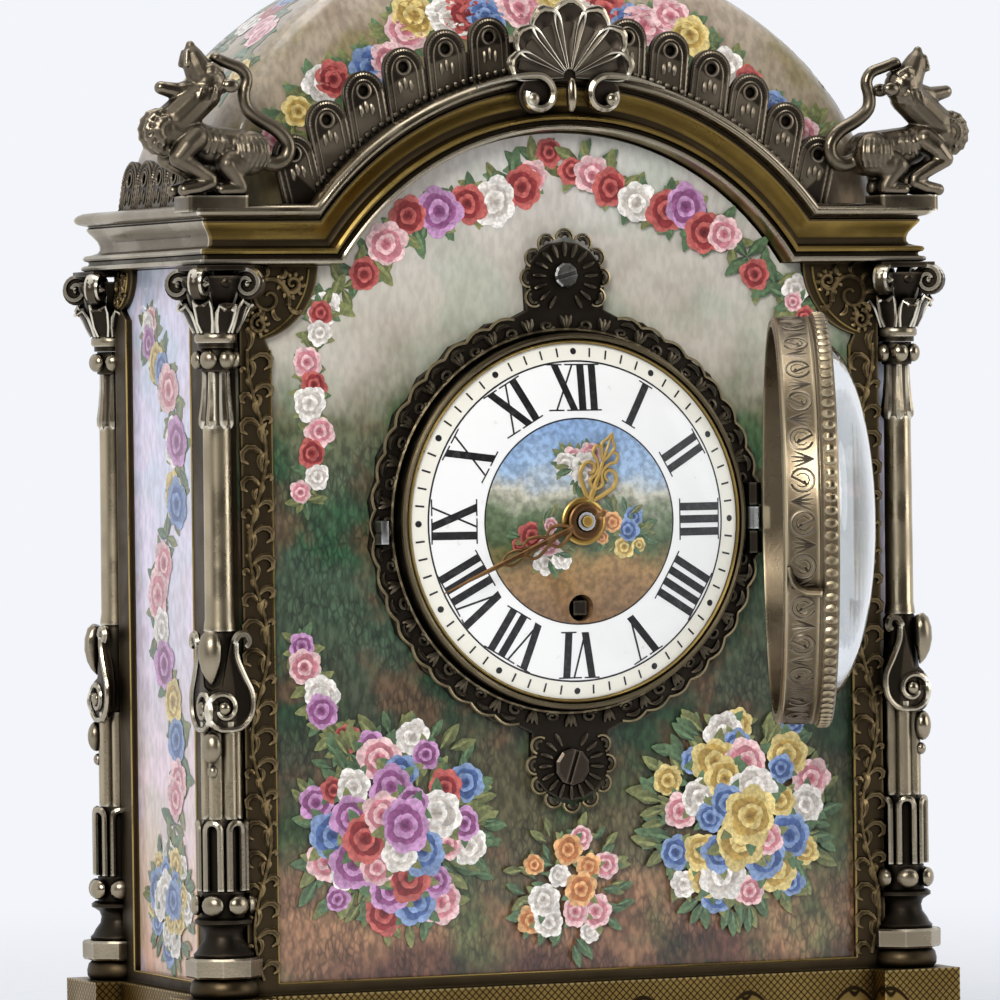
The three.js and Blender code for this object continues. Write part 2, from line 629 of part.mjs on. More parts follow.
// One turned column with its collar, and its capital, for the front left corner.
function columnPieces() {
  const stages = [];
  let z = PLINTH_TOP + FACE_GAP;
  const stage = (height, ...points) => {
    for (const [radius, share] of points) stages.push([radius, z + height * share]);
    z += height;
  };
  stages.push([0, z]);
  stage(TORUS_HEIGHT, [TORUS_RADIUS, 0], [TORUS_RADIUS, 0.6], [TORUS_RADIUS * 0.85, 1]);
  stage(DISC_HEIGHT, [DISC_RADIUS, 0], [DISC_RADIUS, 1]);
  stage(SPOOL_HEIGHT, [SPOOL_RADIUS, 0.2], [SPOOL_RADIUS * 1.3, 1]);
  stage(LOWER_BEAD_HEIGHT, [LOWER_BEAD_RADIUS, 0.25], [LOWER_BEAD_RADIUS, 0.75], [SLEEVE_RADIUS * 0.9, 1]);
  stage(SLEEVE_HEIGHT, [SLEEVE_RADIUS, 0.1], [SLEEVE_RADIUS, 0.9], [LOWER_SHAFT_RADIUS, 1]);
  stage(LOWER_SHAFT_HEIGHT, [LOWER_SHAFT_RADIUS * 0.92, 1]);
  const collarZ = z;
  stage(COLLAR_HEIGHT, [COLLAR_RADIUS, 0.25], [COLLAR_RADIUS * 0.9, 0.75], [UPPER_SHAFT_RADIUS, 1]);
  const upper = TULIP_HEIGHT + UPPER_BEAD_HEIGHT + CAPITAL_HEIGHT;
  z = CORNICE_BOTTOM - upper;
  stage(TULIP_HEIGHT, [UPPER_SHAFT_RADIUS, 0], [TULIP_RADIUS, 0.05], [TULIP_RADIUS * 0.72, 1]);
  const neck = UPPER_BEAD_RADIUS * 0.8;
  stage(UPPER_BEAD_HEIGHT, [UPPER_BEAD_RADIUS, 0.15], [UPPER_BEAD_RADIUS, 0.85], [neck, 1]);
  const capitalZ = z + FACE_GAP;
  stages.push([0, z]);
  const place = (geometry) => geometry.translate(-HALF_X, -HALF_Y, 0);
  const shaft = turned(stages, COLUMN_SIDES);
  const column = place(join(shaft, ...collarScrolls(collarZ)));

  const abacusZ = CORNICE_BOTTOM - FACE_GAP - ABACUS_HEIGHT;
  const bellTop = abacusZ + ABACUS_HEIGHT / 2;
  const up = (share) => capitalZ + CAPITAL_HEIGHT * share;
  const bell = turned([
    [0, capitalZ], [UPPER_BEAD_RADIUS, capitalZ], [UPPER_BEAD_RADIUS, up(0.1)], [TULIP_RADIUS, up(0.14)],
    [CAPITAL_WIDTH * 0.27, up(0.4)], [CAPITAL_WIDTH * 0.36, bellTop], [0, bellTop],
  ], COLUMN_SIDES);
  const half = CAPITAL_WIDTH * 0.44;
  const abacus = box(-half, half, -half, half, abacusZ, abacusZ + ABACUS_HEIGHT);
  const volutes = [0, 1, 2, 3].map((quarter) => {
    const out = CAPITAL_WIDTH / 2 - VOLUTE_RADIUS;
    const thick = VOLUTE_RADIUS * 0.65;
    const eyeZ = abacusZ - VOLUTE_RADIUS * 0.6;
    const volute = rodAlongY(VOLUTE_RADIUS, -thick, thick, 7, out * Math.SQRT2, eyeZ);
    return volute.rotateZ(Math.PI / 4 + (quarter * Math.PI) / 2);
  });
  const capital = place(join(bell, abacus, ...volutes));
  const notch = cornerNotch();
  return { column: cut(column, ...notch), capital: cut(capital, ...notch) };
}

function makeColumns() {
  const made = columnPieces();
  for (const [corner, [sx, sy]] of Object.entries(CORNERS)) {
    for (const kind of ['column', 'capital']) {
      piece(`${kind}_${corner}`, clean(made[kind].clone().scale(-sx, -sy, 1)), METALS.silver);
    }
  }
}

// Moulding section: [outward from the column axes, height].
function corniceSection() {
  const top = CORNICE_TOP_OVERHANG;
  const low = CORNICE_BOTTOM_OVERHANG;
  const h = CORNICE_HEIGHT;
  return [
    [-CORNICE_DEPTH_INSIDE, 0], [low, 0], [low, h * 0.1], [low - 0.7, h * 0.16], [low - 0.7, h * 0.3],
    [CORNICE_NECK + 0.5, h * 0.38], [CORNICE_NECK, h * 0.52], [CORNICE_NECK + 0.7, h * 0.68],
    [top - 0.9, h * 0.8], [top - 0.7, h * 0.86], [top, h * 0.92], [top, h], [-CORNICE_DEPTH_INSIDE, h],
  ];
}

// The front length rises into an arch; the other three lengths are straight. All are mitred at the corners.
function makeCornice() {
  const section = corniceSection();
  for (const [name, wall] of Object.entries(WALLS)) {
    const mitre = (side) => section.map(([out, h]) => [
      side * (wall.halfWidth + out - FACE_GAP), -(wall.distance + out), CORNICE_BOTTOM + h,
    ]);
    const rings = [mitre(-1)];
    if (name === 'front') {
      for (let i = 0; i <= ARCH_STEPS; i += 1) {
        const share = 1 - (2 * i) / ARCH_STEPS;
        rings.push(section.map(([out, h]) => {
          const radius = ARCH_RADIUS + h;
          const spring = Math.acos((CORNICE_BOTTOM + h - ARCH_CENTRE_Z) / radius);
          const angle = -spring * share;
          const z = ARCH_CENTRE_Z + radius * Math.cos(angle);
          return [radius * Math.sin(angle), -(wall.distance + out), z];
        }));
      }
    }
    rings.push(mitre(1));
    const finish = name === 'front' ? METALS.gilt : METALS.silver;
    piece(`cornice_${name}`, loft(rings, section).rotateZ(wall.turn), finish);
  }
}

// Points of one round-topped tab standing on a base line, and of the hole through it.
function tabPoints(centre, base) {
  const half = GALLERY_TAB_WIDTH / 2;
  const shoulder = GALLERY_HEIGHT - half;
  const points = [[centre + half, base]];
  for (let i = 0; i <= 3; i += 1) {
    const angle = (Math.PI * i) / 3;
    points.push([centre + half * Math.cos(angle), shoulder + half * Math.sin(angle)]);
  }
  points.push([centre - half, base]);
  return points;
}

function tabHole(centre) {
  const height = GALLERY_HEIGHT - GALLERY_TAB_WIDTH / 2;
  return [0, 1, 2, 3, 4].map((i) => {
    const angle = (-Math.PI * 2 * i) / 5;
    return [centre + GALLERY_HOLE_RADIUS * Math.cos(angle), height + GALLERY_HOLE_RADIUS * Math.sin(angle)];
  });
}

// Strip of tabs as flat points [along, up]; the front one is then bent round the arch.
function galleryShape(centres, halfLength, steps, bend) {
  const points = [[-halfLength, 0]];
  for (let i = 1; i <= steps; i += 1) points.push([-halfLength + (2 * halfLength * i) / steps, 0]);
  points.push([halfLength, GALLERY_BAND]);
  for (const centre of [...centres].reverse()) points.push(...tabPoints(centre, GALLERY_BAND));
  points.push([-halfLength, GALLERY_BAND]);
  const shape = outline(points.map(bend));
  for (const centre of centres) addHole(shape, tabHole(centre).map(bend));
  return shape;
}

function tabCentres(halfLength, pitch, clear = 0) {
  const count = Math.floor((halfLength - clear - GALLERY_TAB_WIDTH / 2) / pitch);
  const centres = [];
  for (let i = 0; i <= count; i += 1) {
    const centre = clear + i * pitch;
    centres.push(centre);
    if (centre > 0) centres.unshift(-centre);
  }
  return centres;
}

function makeGallery() {
  const seat = ARCH_OUTER_RADIUS + CUT_GAP;
  const spring = Math.acos((ROOF + GALLERY_BAND - ARCH_CENTRE_Z) / seat);
  const archLength = seat * spring;
  const bend = ([along, up]) => {
    const angle = along / seat;
    return [(seat + up) * Math.sin(angle), ARCH_CENTRE_Z + (seat + up) * Math.cos(angle)];
  };
  const frontClear = CREST_HALF_WIDTH + GALLERY_TAB_WIDTH * 0.2;
  const frontTabs = tabCentres(archLength, GALLERY_PITCH, frontClear);
  const front = galleryShape(frontTabs, archLength, ARCH_STEPS, bend);
  piece('gallery_front', frontPlate(front, -HALF_Y, GALLERY_THICKNESS, 4), METALS.darkSilver);

  const straight = {
    left: [WALLS.left, DOME_HALF_Y - DOME_CORNER * 0.4, DOME_HALF_X, GALLERY_SIDE_PITCH],
    right: [WALLS.right, DOME_HALF_Y - DOME_CORNER * 0.4, DOME_HALF_X, GALLERY_SIDE_PITCH],
    back: [WALLS.back, DOME_HALF_X - DOME_CORNER * 0.4, DOME_HALF_Y, GALLERY_PITCH],
  };
  for (const [name, [wall, halfLength, domeHalf, pitch]] of Object.entries(straight)) {
    const camber = ([along, up]) => [along, up * (1 + GALLERY_CAMBER * (1 - (along / halfLength) ** 2))];
    const shape = galleryShape(tabCentres(halfLength, pitch), halfLength, 1, camber);
    const strip = frontPlate(shape, 0, GALLERY_THICKNESS, 4).rotateX(-GALLERY_LEAN);
    const lift = GALLERY_THICKNESS * Math.sin(GALLERY_LEAN) + CUT_GAP;
    strip.translate(0, -(domeHalf + GALLERY_THICKNESS), ROOF + lift);
    piece(`gallery_${name}`, strip.rotateZ(wall.turn), METALS.darkSilver);
  }
}

// Shell fan with two volutes, fixed on the front of the arch at its top.
function makeCrest() {
  const backY = -(HALF_Y + CORNICE_TOP_OVERHANG + 2 * FACE_GAP);
  const footZ = ARCH_CENTRE_Z + ARCH_OUTER_RADIUS;
  const fan = new THREE.Shape();
  fan.moveTo(-CREST_FOOT_HALF, footZ - CREST_DROP);
  fan.lineTo(CREST_FOOT_HALF, footZ - CREST_DROP);
  const lobe = (Math.PI * 0.9) / CREST_LOBES;
  for (let i = 0; i < CREST_LOBES; i += 1) {
    for (const [share, reach] of [[0.05, 0.9], [0.3, 0.99], [0.7, 0.99], [0.95, 0.9]]) {
      const angle = Math.PI * 0.05 + lobe * (i + share);
      const x = CREST_HALF_WIDTH * reach * Math.cos(angle);
      fan.lineTo(x, footZ + CREST_FAN_RADIUS * reach * Math.sin(angle));
    }
  }
  fan.closePath();
  const frontY = backY - CREST_THICKNESS;
  const volutes = [-1, 1].map((side) => (
    rodAlongY(CREST_VOLUTE_RADIUS, frontY, backY, 10, side * CREST_VOLUTE_OUT, footZ - CREST_DROP)
  ));
  const barZ = footZ - CREST_DROP;
  const bar = box(
    -CREST_VOLUTE_OUT, CREST_VOLUTE_OUT, frontY, backY, barZ, barZ + CREST_VOLUTE_RADIUS,
  );
  piece('shell_crest', join(frontPlate(fan, backY, CREST_THICKNESS), bar, ...volutes), METALS.darkSilver);
}

// Rounded rectangle in plan at one height of the dome.
function domeRing(halfX, halfY, corner, z) {
  const ring = [];
  const steps = 3;
  for (let quarter = 0; quarter < 4; quarter += 1) {
    const sx = [1, -1, -1, 1][quarter];
    const sy = [1, 1, -1, -1][quarter];
    for (let i = 0; i <= steps; i += 1) {
      const angle = (Math.PI / 2) * (quarter + i / steps);
      const x = sx * (halfX - corner) + corner * Math.cos(angle);
      const y = sy * (halfY - corner) + corner * Math.sin(angle);
      ring.push([x, y, z]);
    }
  }
  return ring;
}

// Cushion dome, drawn in towards the top, with a hole for the finial's stud.
function makeRoof() {
  const plateZ = ROOF - TOP_PLATE_THICKNESS;
  const plan = outline(planRectangle(-CORNICE_DEPTH_INSIDE - CUT_GAP));
  const plate = planPlate(plan, plateZ, TOP_PLATE_THICKNESS);
  const studHole = FINIAL_STUD_RADIUS + RUNNING_GAP;
  const drill = turned([[0, plateZ - 1], [studHole, plateZ - 1], [studHole, ROOF + 1], [0, ROOF + 1]], 8);
  piece('top_plate', cut(plate, drill), METALS.silver);

  const levels = [0, 0.14, 0.32, 0.5, 0.68, 0.83, 0.94, 0.99];
  const skin = (inset) => levels.map((level) => {
    const scale = Math.sqrt(1 - level ** 1.8);
    const lower = Math.max(scale - inset / DOME_HALF_Y, studHole / DOME_HALF_Y);
    const z = ROOF + FACE_GAP + level * (DOME_HEIGHT - inset);
    return domeRing(DOME_HALF_X * lower, DOME_HALF_Y * lower, DOME_CORNER * lower, z);
  });
  const eye = (z) => domeRing(studHole, studHole, studHole * 0.9, z);
  const outer = skin(0);
  const inner = skin(DOME_WALL).reverse();
  const crown = ROOF + FACE_GAP + DOME_HEIGHT;
  const rings = [...outer, eye(crown), eye(crown - DOME_WALL), ...inner];
  piece('dome', closedLoft(rings), ENAMELS.dome);

  const seat = crown + FACE_GAP;
  const urn = [
    [1, 0], [1, 0.06], [0.5, 0.11], [0.42, 0.21], [0.85, 0.33], [1, 0.46],
    [0.8, 0.6], [0.32, 0.71], [0.36, 0.81], [0.2, 0.94], [0, 1],
  ].map(([width, share]) => [FINIAL_RADIUS * width, seat + FINIAL_HEIGHT * share]);
  const stud = [[0, plateZ], [FINIAL_STUD_RADIUS, plateZ], [FINIAL_STUD_RADIUS, seat]];
  piece('finial', turned([...stud, ...urn], 8), METALS.gilt);
}

// Crouching beast on its pad, facing -X, with a head thrown back and a curling tail.
// Its limbs are drawn on a grid that is BEAST_GRID units tall.
function beast() {
  const unit = BEAST_HEIGHT / BEAST_GRID;
  const at = (x, z, y = 0) => new THREE.Vector3(x * unit, y * unit, z * unit);
  const ball = (place, rx, ry, rz) => {
    const geometry = new THREE.SphereGeometry(1, 6, 4).scale(rx * unit, ry * unit, rz * unit);
    return geometry.translate(place.x, place.y, place.z);
  };
  const half = BEAST_PAD_LENGTH / 2;
  const width = BEAST_PAD_WIDTH / 2;
  const parts = [
    box(-half, half, -width, width, 0, BEAST_PAD_HEIGHT),
    ball(at(3.4, 6.5), 2.9, 1.9, 2.5),
    ball(at(-5, 9.6), 2.7, 1.9, 2.3),
    strut(at(3.2, 7), at(-4.6, 9.6), 1.9 * unit, 1.7 * unit, 7),
    strut(at(-5, 10.2), at(-1.6, 14.2), 1.9 * unit, 1.3 * unit, 6),
    ball(at(-0.9, 15), 2, 1.5, 2.1),
    strut(at(-1.2, 15.6), at(-2.4, 20), 1.3 * unit, 0.7 * unit, 6),
    strut(at(-1.2, 14.6), at(-6.6, 15), 1.1 * unit, 0.55 * unit, 6),
    strut(at(0.2, 14.6, 0), at(2.2, 13.9, 0), 0.9 * unit, 0.45 * unit, 5),
  ];
  for (const side of [-1, 1]) {
    parts.push(strut(at(3.4, 6.2, side * 1.2), at(-2.4, 5.4, side * 1.7), 1.3 * unit, 0.9 * unit, 5));
    parts.push(strut(at(-2.4, 5.6, side * 1.7), at(2.4, 0.9, side * 1.5), 0.9 * unit, 0.6 * unit, 5));
    parts.push(strut(at(2.6, 1.4, side * 1.5), at(-3.4, 1.5, side * 1.5), 0.7 * unit, 0.5 * unit, 4));
  }
  const path = new THREE.CatmullRomCurve3([
    at(4.6, 6.2), at(7.6, 5.6), at(9.8, 6.8), at(9.3, 9), at(6.3, 11.4),
    at(4.4, 14.2), at(5.2, 17.2), at(3.4, 18.4), at(0.9, 19),
  ]);
  const section = new THREE.Shape();
  section.absarc(0, 0, BEAST_TAIL_RADIUS * unit, 0, Math.PI * 2, false);
  parts.push(new THREE.ExtrudeGeometry(section, { steps: 12, curveSegments: 3, extrudePath: path }));
  return join(...parts);
}

function makeBeasts() {
  const place = -(HALF_Y + BEAST_PAD_WIDTH * 0.2);
  const left = beast().translate(-HALF_X, place, ROOF + FACE_GAP);
  piece('beast_left', left, METALS.silver);
  piece('beast_right', clean(left.clone().scale(-1, 1, 1)), METALS.silver);
}

// Scalloped outline with a lobed tab above and below.
function seatShape() {
  const shape = new THREE.Shape();
  const tabEdge = SEAT_TAB_REACH - SEAT_TAB_RADIUS;
  const half = Math.asin((SEAT_TAB_RADIUS * 0.95) / SEAT_RADIUS);
  const arcs = [[-Math.PI / 2 + half, Math.PI / 2 - half], [Math.PI / 2 + half, Math.PI * 1.5 - half]];
  arcs.forEach(([from, to], side) => {
    const steps = SEAT_SCALLOPS;
    for (let i = 0; i <= steps; i += 1) {
      const angle = from + ((to - from) * i) / steps;
      const radius = SEAT_RADIUS - (i % 2 ? SCALLOP_DEPTH : 0);
      const x = radius * Math.cos(angle);
      const z = DIAL_Z + radius * Math.sin(angle);
      if (side === 0 && i === 0) shape.moveTo(x, z);
      else shape.lineTo(x, z);
    }
    const up = side === 0 ? 1 : -1;
    for (let i = 0; i <= 8; i += 1) {
      const angle = up * (Math.PI / 2) + (Math.PI * (i - 4)) / 9;
      const z = DIAL_Z + up * tabEdge + SEAT_TAB_RADIUS * Math.sin(angle);
      shape.lineTo(SEAT_TAB_RADIUS * Math.cos(angle), z);
    }
  });
  shape.closePath();
  const bore = new THREE.Path();
  bore.absarc(0, DIAL_Z, COLLAR_INNER_RADIUS - SEAT_LEDGE / 2, 0, Math.PI * 2, true);
  shape.holes.push(bore);
  return shape;
}

// Slotted screw standing on the seat plate.
function seatScrew(radius, z, slotAngle) {
  const back = SEAT_FRONT_Y - FACE_GAP;
  const front = back - SCREW_HEAD_HEIGHT;
  const edge = front + SCREW_HEAD_HEIGHT * 0.3;
  const profile = [[0, back], [radius, back], [radius, edge], [radius * 0.85, front], [0, front]];
  const head = turnedAlongY(profile, SCREW_SIDES, 0, 0);
  const long = radius * 1.2;
  const half = SCREW_SLOT_WIDTH / 2;
  const slot = box(-long, long, front - 1, front + SCREW_SLOT_DEPTH, -half, half);
  return cut(head, slot).rotateY(-slotAngle).translate(0, 0, z);
}

// Upright rod on the hinge line, drawn about the origin.
function hingeRod(radius, length) {
  return new THREE.CylinderGeometry(radius, radius, length, HINGE_SIDES).rotateX(Math.PI / 2);
}

// Seat plate with the raised collar round the dial, the catch stud and two hinge knuckles.
function makeSeat() {
  const plate = frontPlate(seatShape(), SEAT_BACK_Y, SEAT_PLATE);
  const ledgeRadius = COLLAR_INNER_RADIUS - SEAT_LEDGE;
  const collar = turnedAlongY([
    [ledgeRadius, SEAT_BACK_Y], [COLLAR_OUTER_RADIUS, SEAT_BACK_Y], [COLLAR_OUTER_RADIUS, COLLAR_FRONT_Y],
    [COLLAR_INNER_RADIUS, COLLAR_FRONT_Y], [COLLAR_INNER_RADIUS, LEDGE_Y],
    [ledgeRadius, LEDGE_Y], [ledgeRadius, SEAT_BACK_Y],
  ], DOOR_SIDES);
  const parts = [plate, collar];
  const pitch = KNUCKLE_LENGTH + CUT_GAP;
  const footHalf = KNUCKLE_RADIUS * 0.67;
  const rootY = SEAT_FRONT_Y + SEAT_PLATE / 2;
  for (const side of [-1, 1]) {
    const z0 = DIAL_Z + side * pitch - KNUCKLE_LENGTH / 2;
    const z1 = z0 + KNUCKLE_LENGTH;
    parts.push(hingeRod(KNUCKLE_RADIUS, KNUCKLE_LENGTH).translate(HINGE_X, HINGE_Y, (z0 + z1) / 2));
    parts.push(box(HINGE_X - footHalf, HINGE_X + footHalf, HINGE_Y, rootY, z0, z1));
  }
  const studX = -(SEAT_RADIUS - SCALLOP_DEPTH - STUD_RADIUS);
  parts.push(rodAlongY(STUD_RADIUS, SEAT_FRONT_Y - STUD_LENGTH, rootY, 8, studX, DIAL_Z - STUD_DROP));
  const bore = hingeRod(HINGE_PIN_RADIUS + PIN_CLEARANCE, 3 * pitch).translate(HINGE_X, HINGE_Y, DIAL_Z);
  piece('bezel_seat', cut(join(...parts), bore), METALS.darkSilver);
  const pin = hingeRod(HINGE_PIN_RADIUS, 3 * pitch - CUT_GAP).translate(HINGE_X, HINGE_Y, DIAL_Z);
  piece('hinge_pin', pin, METALS.steel);
  const top = seatScrew(TOP_SCREW_RADIUS, DIAL_Z + SEAT_SCREW_DISTANCE, TOP_SLOT_ANGLE);
  const bottom = seatScrew(BOTTOM_SCREW_RADIUS, DIAL_Z - SEAT_SCREW_DISTANCE, BOTTOM_SLOT_ANGLE);
  piece('seat_screw_top', top, METALS.steel);
  piece('seat_screw_bottom', bottom, METALS.bluedSteel);
}

// Bezel ring and glass, drawn closed in the door's own frame: the hinge axis is its origin.
function makeDoor() {
  const backY = DOOR_BACK_Y - HINGE_Y;
  const at = (depth) => backY - depth;
  const rim = DOOR_RADIUS + DOOR_RIM_SWELL;
  const inner = DOOR_RADIUS - DOOR_WALL;
  const front = DOOR_BAND + DOOR_RIM;
  const lipBack = front - DOOR_LIP_THICKNESS;
  const lip = inner - DOOR_LIP;
  const round = DOOR_RIM * 0.2;
  const ring = turnedAlongY([
    [inner, at(0)], [DOOR_RADIUS, at(0)], [DOOR_RADIUS, at(DOOR_BAND)], [rim, at(DOOR_BAND + round)],
    [rim, at(front - round)], [DOOR_RADIUS, at(front)], [lip, at(front)], [lip, at(lipBack)],
    [inner, at(lipBack)], [inner, at(0)],
  ], DOOR_SIDES, -HINGE_X, 0);
  const knuckle = hingeRod(KNUCKLE_RADIUS, KNUCKLE_LENGTH);
  const webFront = at(DOOR_WALL / 2);
  const webHalf = KNUCKLE_LENGTH / 2;
  const web = box(-KNUCKLE_RADIUS, 0, webFront, -KNUCKLE_RADIUS / 2, -webHalf, webHalf);
  const thumbX = -HINGE_X - Math.sqrt(DOOR_RADIUS ** 2 - THUMB_DROP ** 2);
  const thumb = box(
    thumbX - THUMB_REACH, thumbX + DOOR_WALL / 2, at(DOOR_BAND * 0.7), at(DOOR_BAND * 0.25),
    -THUMB_DROP - THUMB_HEIGHT / 2, -THUMB_DROP + THUMB_HEIGHT / 2,
  );
  const bore = hingeRod(HINGE_PIN_RADIUS + PIN_CLEARANCE, 2 * KNUCKLE_LENGTH);
  piece('bezel_ring', cut(join(ring, knuckle, web, thumb), bore), METALS.silver, door);

  const edge = inner - GLASS_CLEARANCE;
  const throat = lip - GLASS_CLEARANCE;
  const flangeBack = lipBack - FACE_GAP - GLASS_THICKNESS;
  const steps = 4;
  const dome = (radius, base, crown) => Array.from({ length: steps + 1 }, (_, i) => {
    const angle = (Math.PI / 2) * (i / steps);
    return [radius * Math.cos(angle), at(base + crown * Math.sin(angle))];
  });
  const crown = GLASS_CROWN + DOOR_RIM - DOOR_RIM_SWELL;
  const outside = dome(throat, lipBack - FACE_GAP, crown);
  const inside = dome(throat - GLASS_THICKNESS, flangeBack, crown).reverse();
  const profile = [...inside, [edge, at(flangeBack)], [edge, at(lipBack - FACE_GAP)], ...outside];
  profile[0][0] = 0;
  profile[profile.length - 1][0] = 0;
  piece('bezel_glass', turnedAlongY(profile, DOOR_SIDES, -HINGE_X, 0), GLASS, door);
}

// Convex enamel dial, pierced for the hands and the winding square.
function makeDial() {
  const steps = 3;
  const face = (y) => Array.from({ length: steps + 1 }, (_, i) => {
    const share = i / steps;
    return [DIAL_RADIUS * (1 - share), y - DIAL_CROWN * (1 - (1 - share) ** 2)];
  });
  const front = face(DIAL_RIM_Y);
  const back = face(DIAL_RIM_Y + DIAL_THICKNESS).reverse();
  const disc = turnedAlongY([...back, ...front], DOOR_SIDES);
  const low = DIAL_CROWN_Y - 2;
  const high = LEDGE_Y + 2;
  const centreHole = rodAlongY(HOUR_PIPE_RADIUS + CUT_GAP, low, high, 12, 0, DIAL_Z);
  const windingHole = rodAlongY(WINDING_HOLE_RADIUS, low, high, 12, 0, DIAL_Z - WINDING_DROP);
  piece('dial', cut(disc, centreHole, windingHole), ENAMELS.dial);
}

// Outline of a wheel or pinion with straight-sided teeth, one tooth centred on the given angle.
function gearPoints(teeth, module, pinion, phase) {
  const radius = (teeth * module) / 2;
  const tip = radius + module * (pinion ? 0.5 : 0.75);
  const root = radius - module * (pinion ? 1.05 : 0.85);
  const pitch = (Math.PI * 2) / teeth;
  const foot = pitch * (pinion ? 0.2 : 0.25);
  const crest = pitch * 0.09;
  const points = [];
  for (let i = 0; i < teeth; i += 1) {
    const middle = phase + i * pitch;
    const top = pinion ? [[tip, -crest], [tip, crest]] : [[tip, 0]];
    for (const [r, offset] of [[root, -foot], ...top, [root, foot]]) {
      points.push([r * Math.cos(middle + offset), r * Math.sin(middle + offset)]);
    }
  }
  return points;
}

// A toothed disc whose back face is at y, thickened forwards.
function gear(place, teeth, module, pinion, phase, y, thickness, boreRadius = 0) {
  const shape = outline(gearPoints(teeth, module, pinion, phase));
  if (boreRadius > 0) {
    const bore = new THREE.Path();
    bore.absarc(0, 0, boreRadius, 0, Math.PI * 2, true);
    shape.holes.push(bore);
  }
  return frontPlate(shape, y, thickness, 10).translate(place[0], 0, DIAL_Z + place[1]);
}

// The wheel has a tooth on the line of centres and the pinion a gap there.
function wheelPhase(wheelAt, pinionAt) {
  return Math.atan2(pinionAt[1] - wheelAt[1], pinionAt[0] - wheelAt[0]);
}

function pinionPhase(wheelAt, pinionAt, teeth) {
  return wheelPhase(wheelAt, pinionAt) + Math.PI + Math.PI / teeth;
}

// Outline of a disc with pointed saw teeth: each tooth's back slopes and its front is steep.
function sawTeeth(count, radius, depth) {
  const lead = Math.PI / (4 * count);
  const points = [];
  for (let i = 0; i < count; i += 1) {
    const angle = (i / count) * Math.PI * 2;
    const root = radius - depth;
    points.push([radius * Math.cos(angle), radius * Math.sin(angle)]);
    points.push([root * Math.cos(angle + lead), root * Math.sin(angle + lead)]);
  }
  return points;
}

function polar(from, distance, degrees) {
  const angle = THREE.MathUtils.degToRad(degrees);
  return [from[0] + distance * Math.cos(angle), from[1] + distance * Math.sin(angle)];
}

// Arbor places in front view, from the centre of the dial
const CENTRE = [0, 0];
const BARREL_AT = [0, -WINDING_DROP];
const BARREL_MODULE = (2 * (WINDING_DROP - MESH_SLACK)) / (WHEEL_TEETH + PINION_TEETH);
const meshDistance = (module) => (module * (WHEEL_TEETH + PINION_TEETH)) / 2 + MESH_SLACK;
const THIRD_AT = polar(CENTRE, meshDistance(THIRD_MODULE), 50);
const FOURTH_AT = polar(THIRD_AT, meshDistance(FOURTH_MODULE), 165);
const ESCAPE_AT = polar(FOURTH_AT, meshDistance(ESCAPE_MODULE), 215);
const BALANCE_AT = polar(ESCAPE_AT, ESCAPE_RADIUS + ARBOR_RADIUS + RUNNING_GAP, 250);
const MINUTE_AT = polar(CENTRE, MOTION_CENTRES, 150);
const CLICK_AT = polar(BARREL_AT, RATCHET_RADIUS + CLICK_REACH, 49);
const inPlates = (share) => FRONT_PLATE_BACK_Y + PLATE_GAP * share;

// Rod from one plate to the other, short of each by the running gap.
function arbor(place) {
  const front = FRONT_PLATE_BACK_Y + RUNNING_GAP;
  return rodAlongY(ARBOR_RADIUS, front, BACK_PLATE_Y - RUNNING_GAP, 8, place[0], DIAL_Z + place[1]);
}

function makePlates() {
  const past = BACK_PLATE_Y + 2 * PLATE_THICKNESS;
  const hole = ([x, z], radius) => rodAlongY(radius, FRONT_PLATE_FRONT_Y - 1, past, 10, x, DIAL_Z + z);
  const front = rodAlongY(
    MOVEMENT_RADIUS, FRONT_PLATE_FRONT_Y, FRONT_PLATE_BACK_Y, CASE_HOLE_SIDES, 0, DIAL_Z,
  );
  const pillars = PILLAR_ANGLES.map((degrees) => {
    const [x, z] = polar(CENTRE, PILLAR_CIRCLE, degrees);
    const foot = FRONT_PLATE_BACK_Y - PLATE_THICKNESS / 4;
    return rodAlongY(PILLAR_RADIUS, foot, BACK_PLATE_Y - FACE_GAP, 8, x, DIAL_Z + z);
  });
  const pierced = cut(
    join(front, ...pillars),
    hole(CENTRE, ARBOR_RADIUS + RUNNING_GAP),
    hole(BARREL_AT, ARBOR_RADIUS * 2 + RUNNING_GAP),
  );
  piece('movement_front_plate', pierced, METALS.brass);
  const behind = BACK_PLATE_Y + PLATE_THICKNESS;
  const back = rodAlongY(BACK_PLATE_RADIUS, BACK_PLATE_Y, behind, CASE_HOLE_SIDES, 0, DIAL_Z);
  piece('movement_back_plate', cut(back, hole(BALANCE_AT, ARBOR_RADIUS + 2 * RUNNING_GAP)), METALS.brass);
}

// Flat spiral ribbon, its width along Y; prints its least gap between neighbouring turns.
function spiral(place, innerRadius, outerRadius, turns, thickness, y0, y1) {
  const rings = [];
  const count = turns * SPRING_STEPS;
  for (let i = 0; i <= count; i += 1) {
    const radius = innerRadius + ((outerRadius - innerRadius) * i) / count;
    const angle = (i / SPRING_STEPS) * Math.PI * 2;
    const point = (r, y) => [place[0] + r * Math.cos(angle), y, DIAL_Z + place[1] + r * Math.sin(angle)];
    const near = radius - thickness / 2;
    const far = radius + thickness / 2;
    rings.push([point(near, y0), point(far, y0), point(far, y1), point(near, y1)]);
  }
  const gap = (outerRadius - innerRadius) / turns - thickness;
  console.log(`spring at ${place.map((v) => v.toFixed(1))}: least gap between turns ${gap.toFixed(2)} mm`);
  return loft(rings, [[0, 0], [1, 0], [1, 1], [0, 1]]);
}

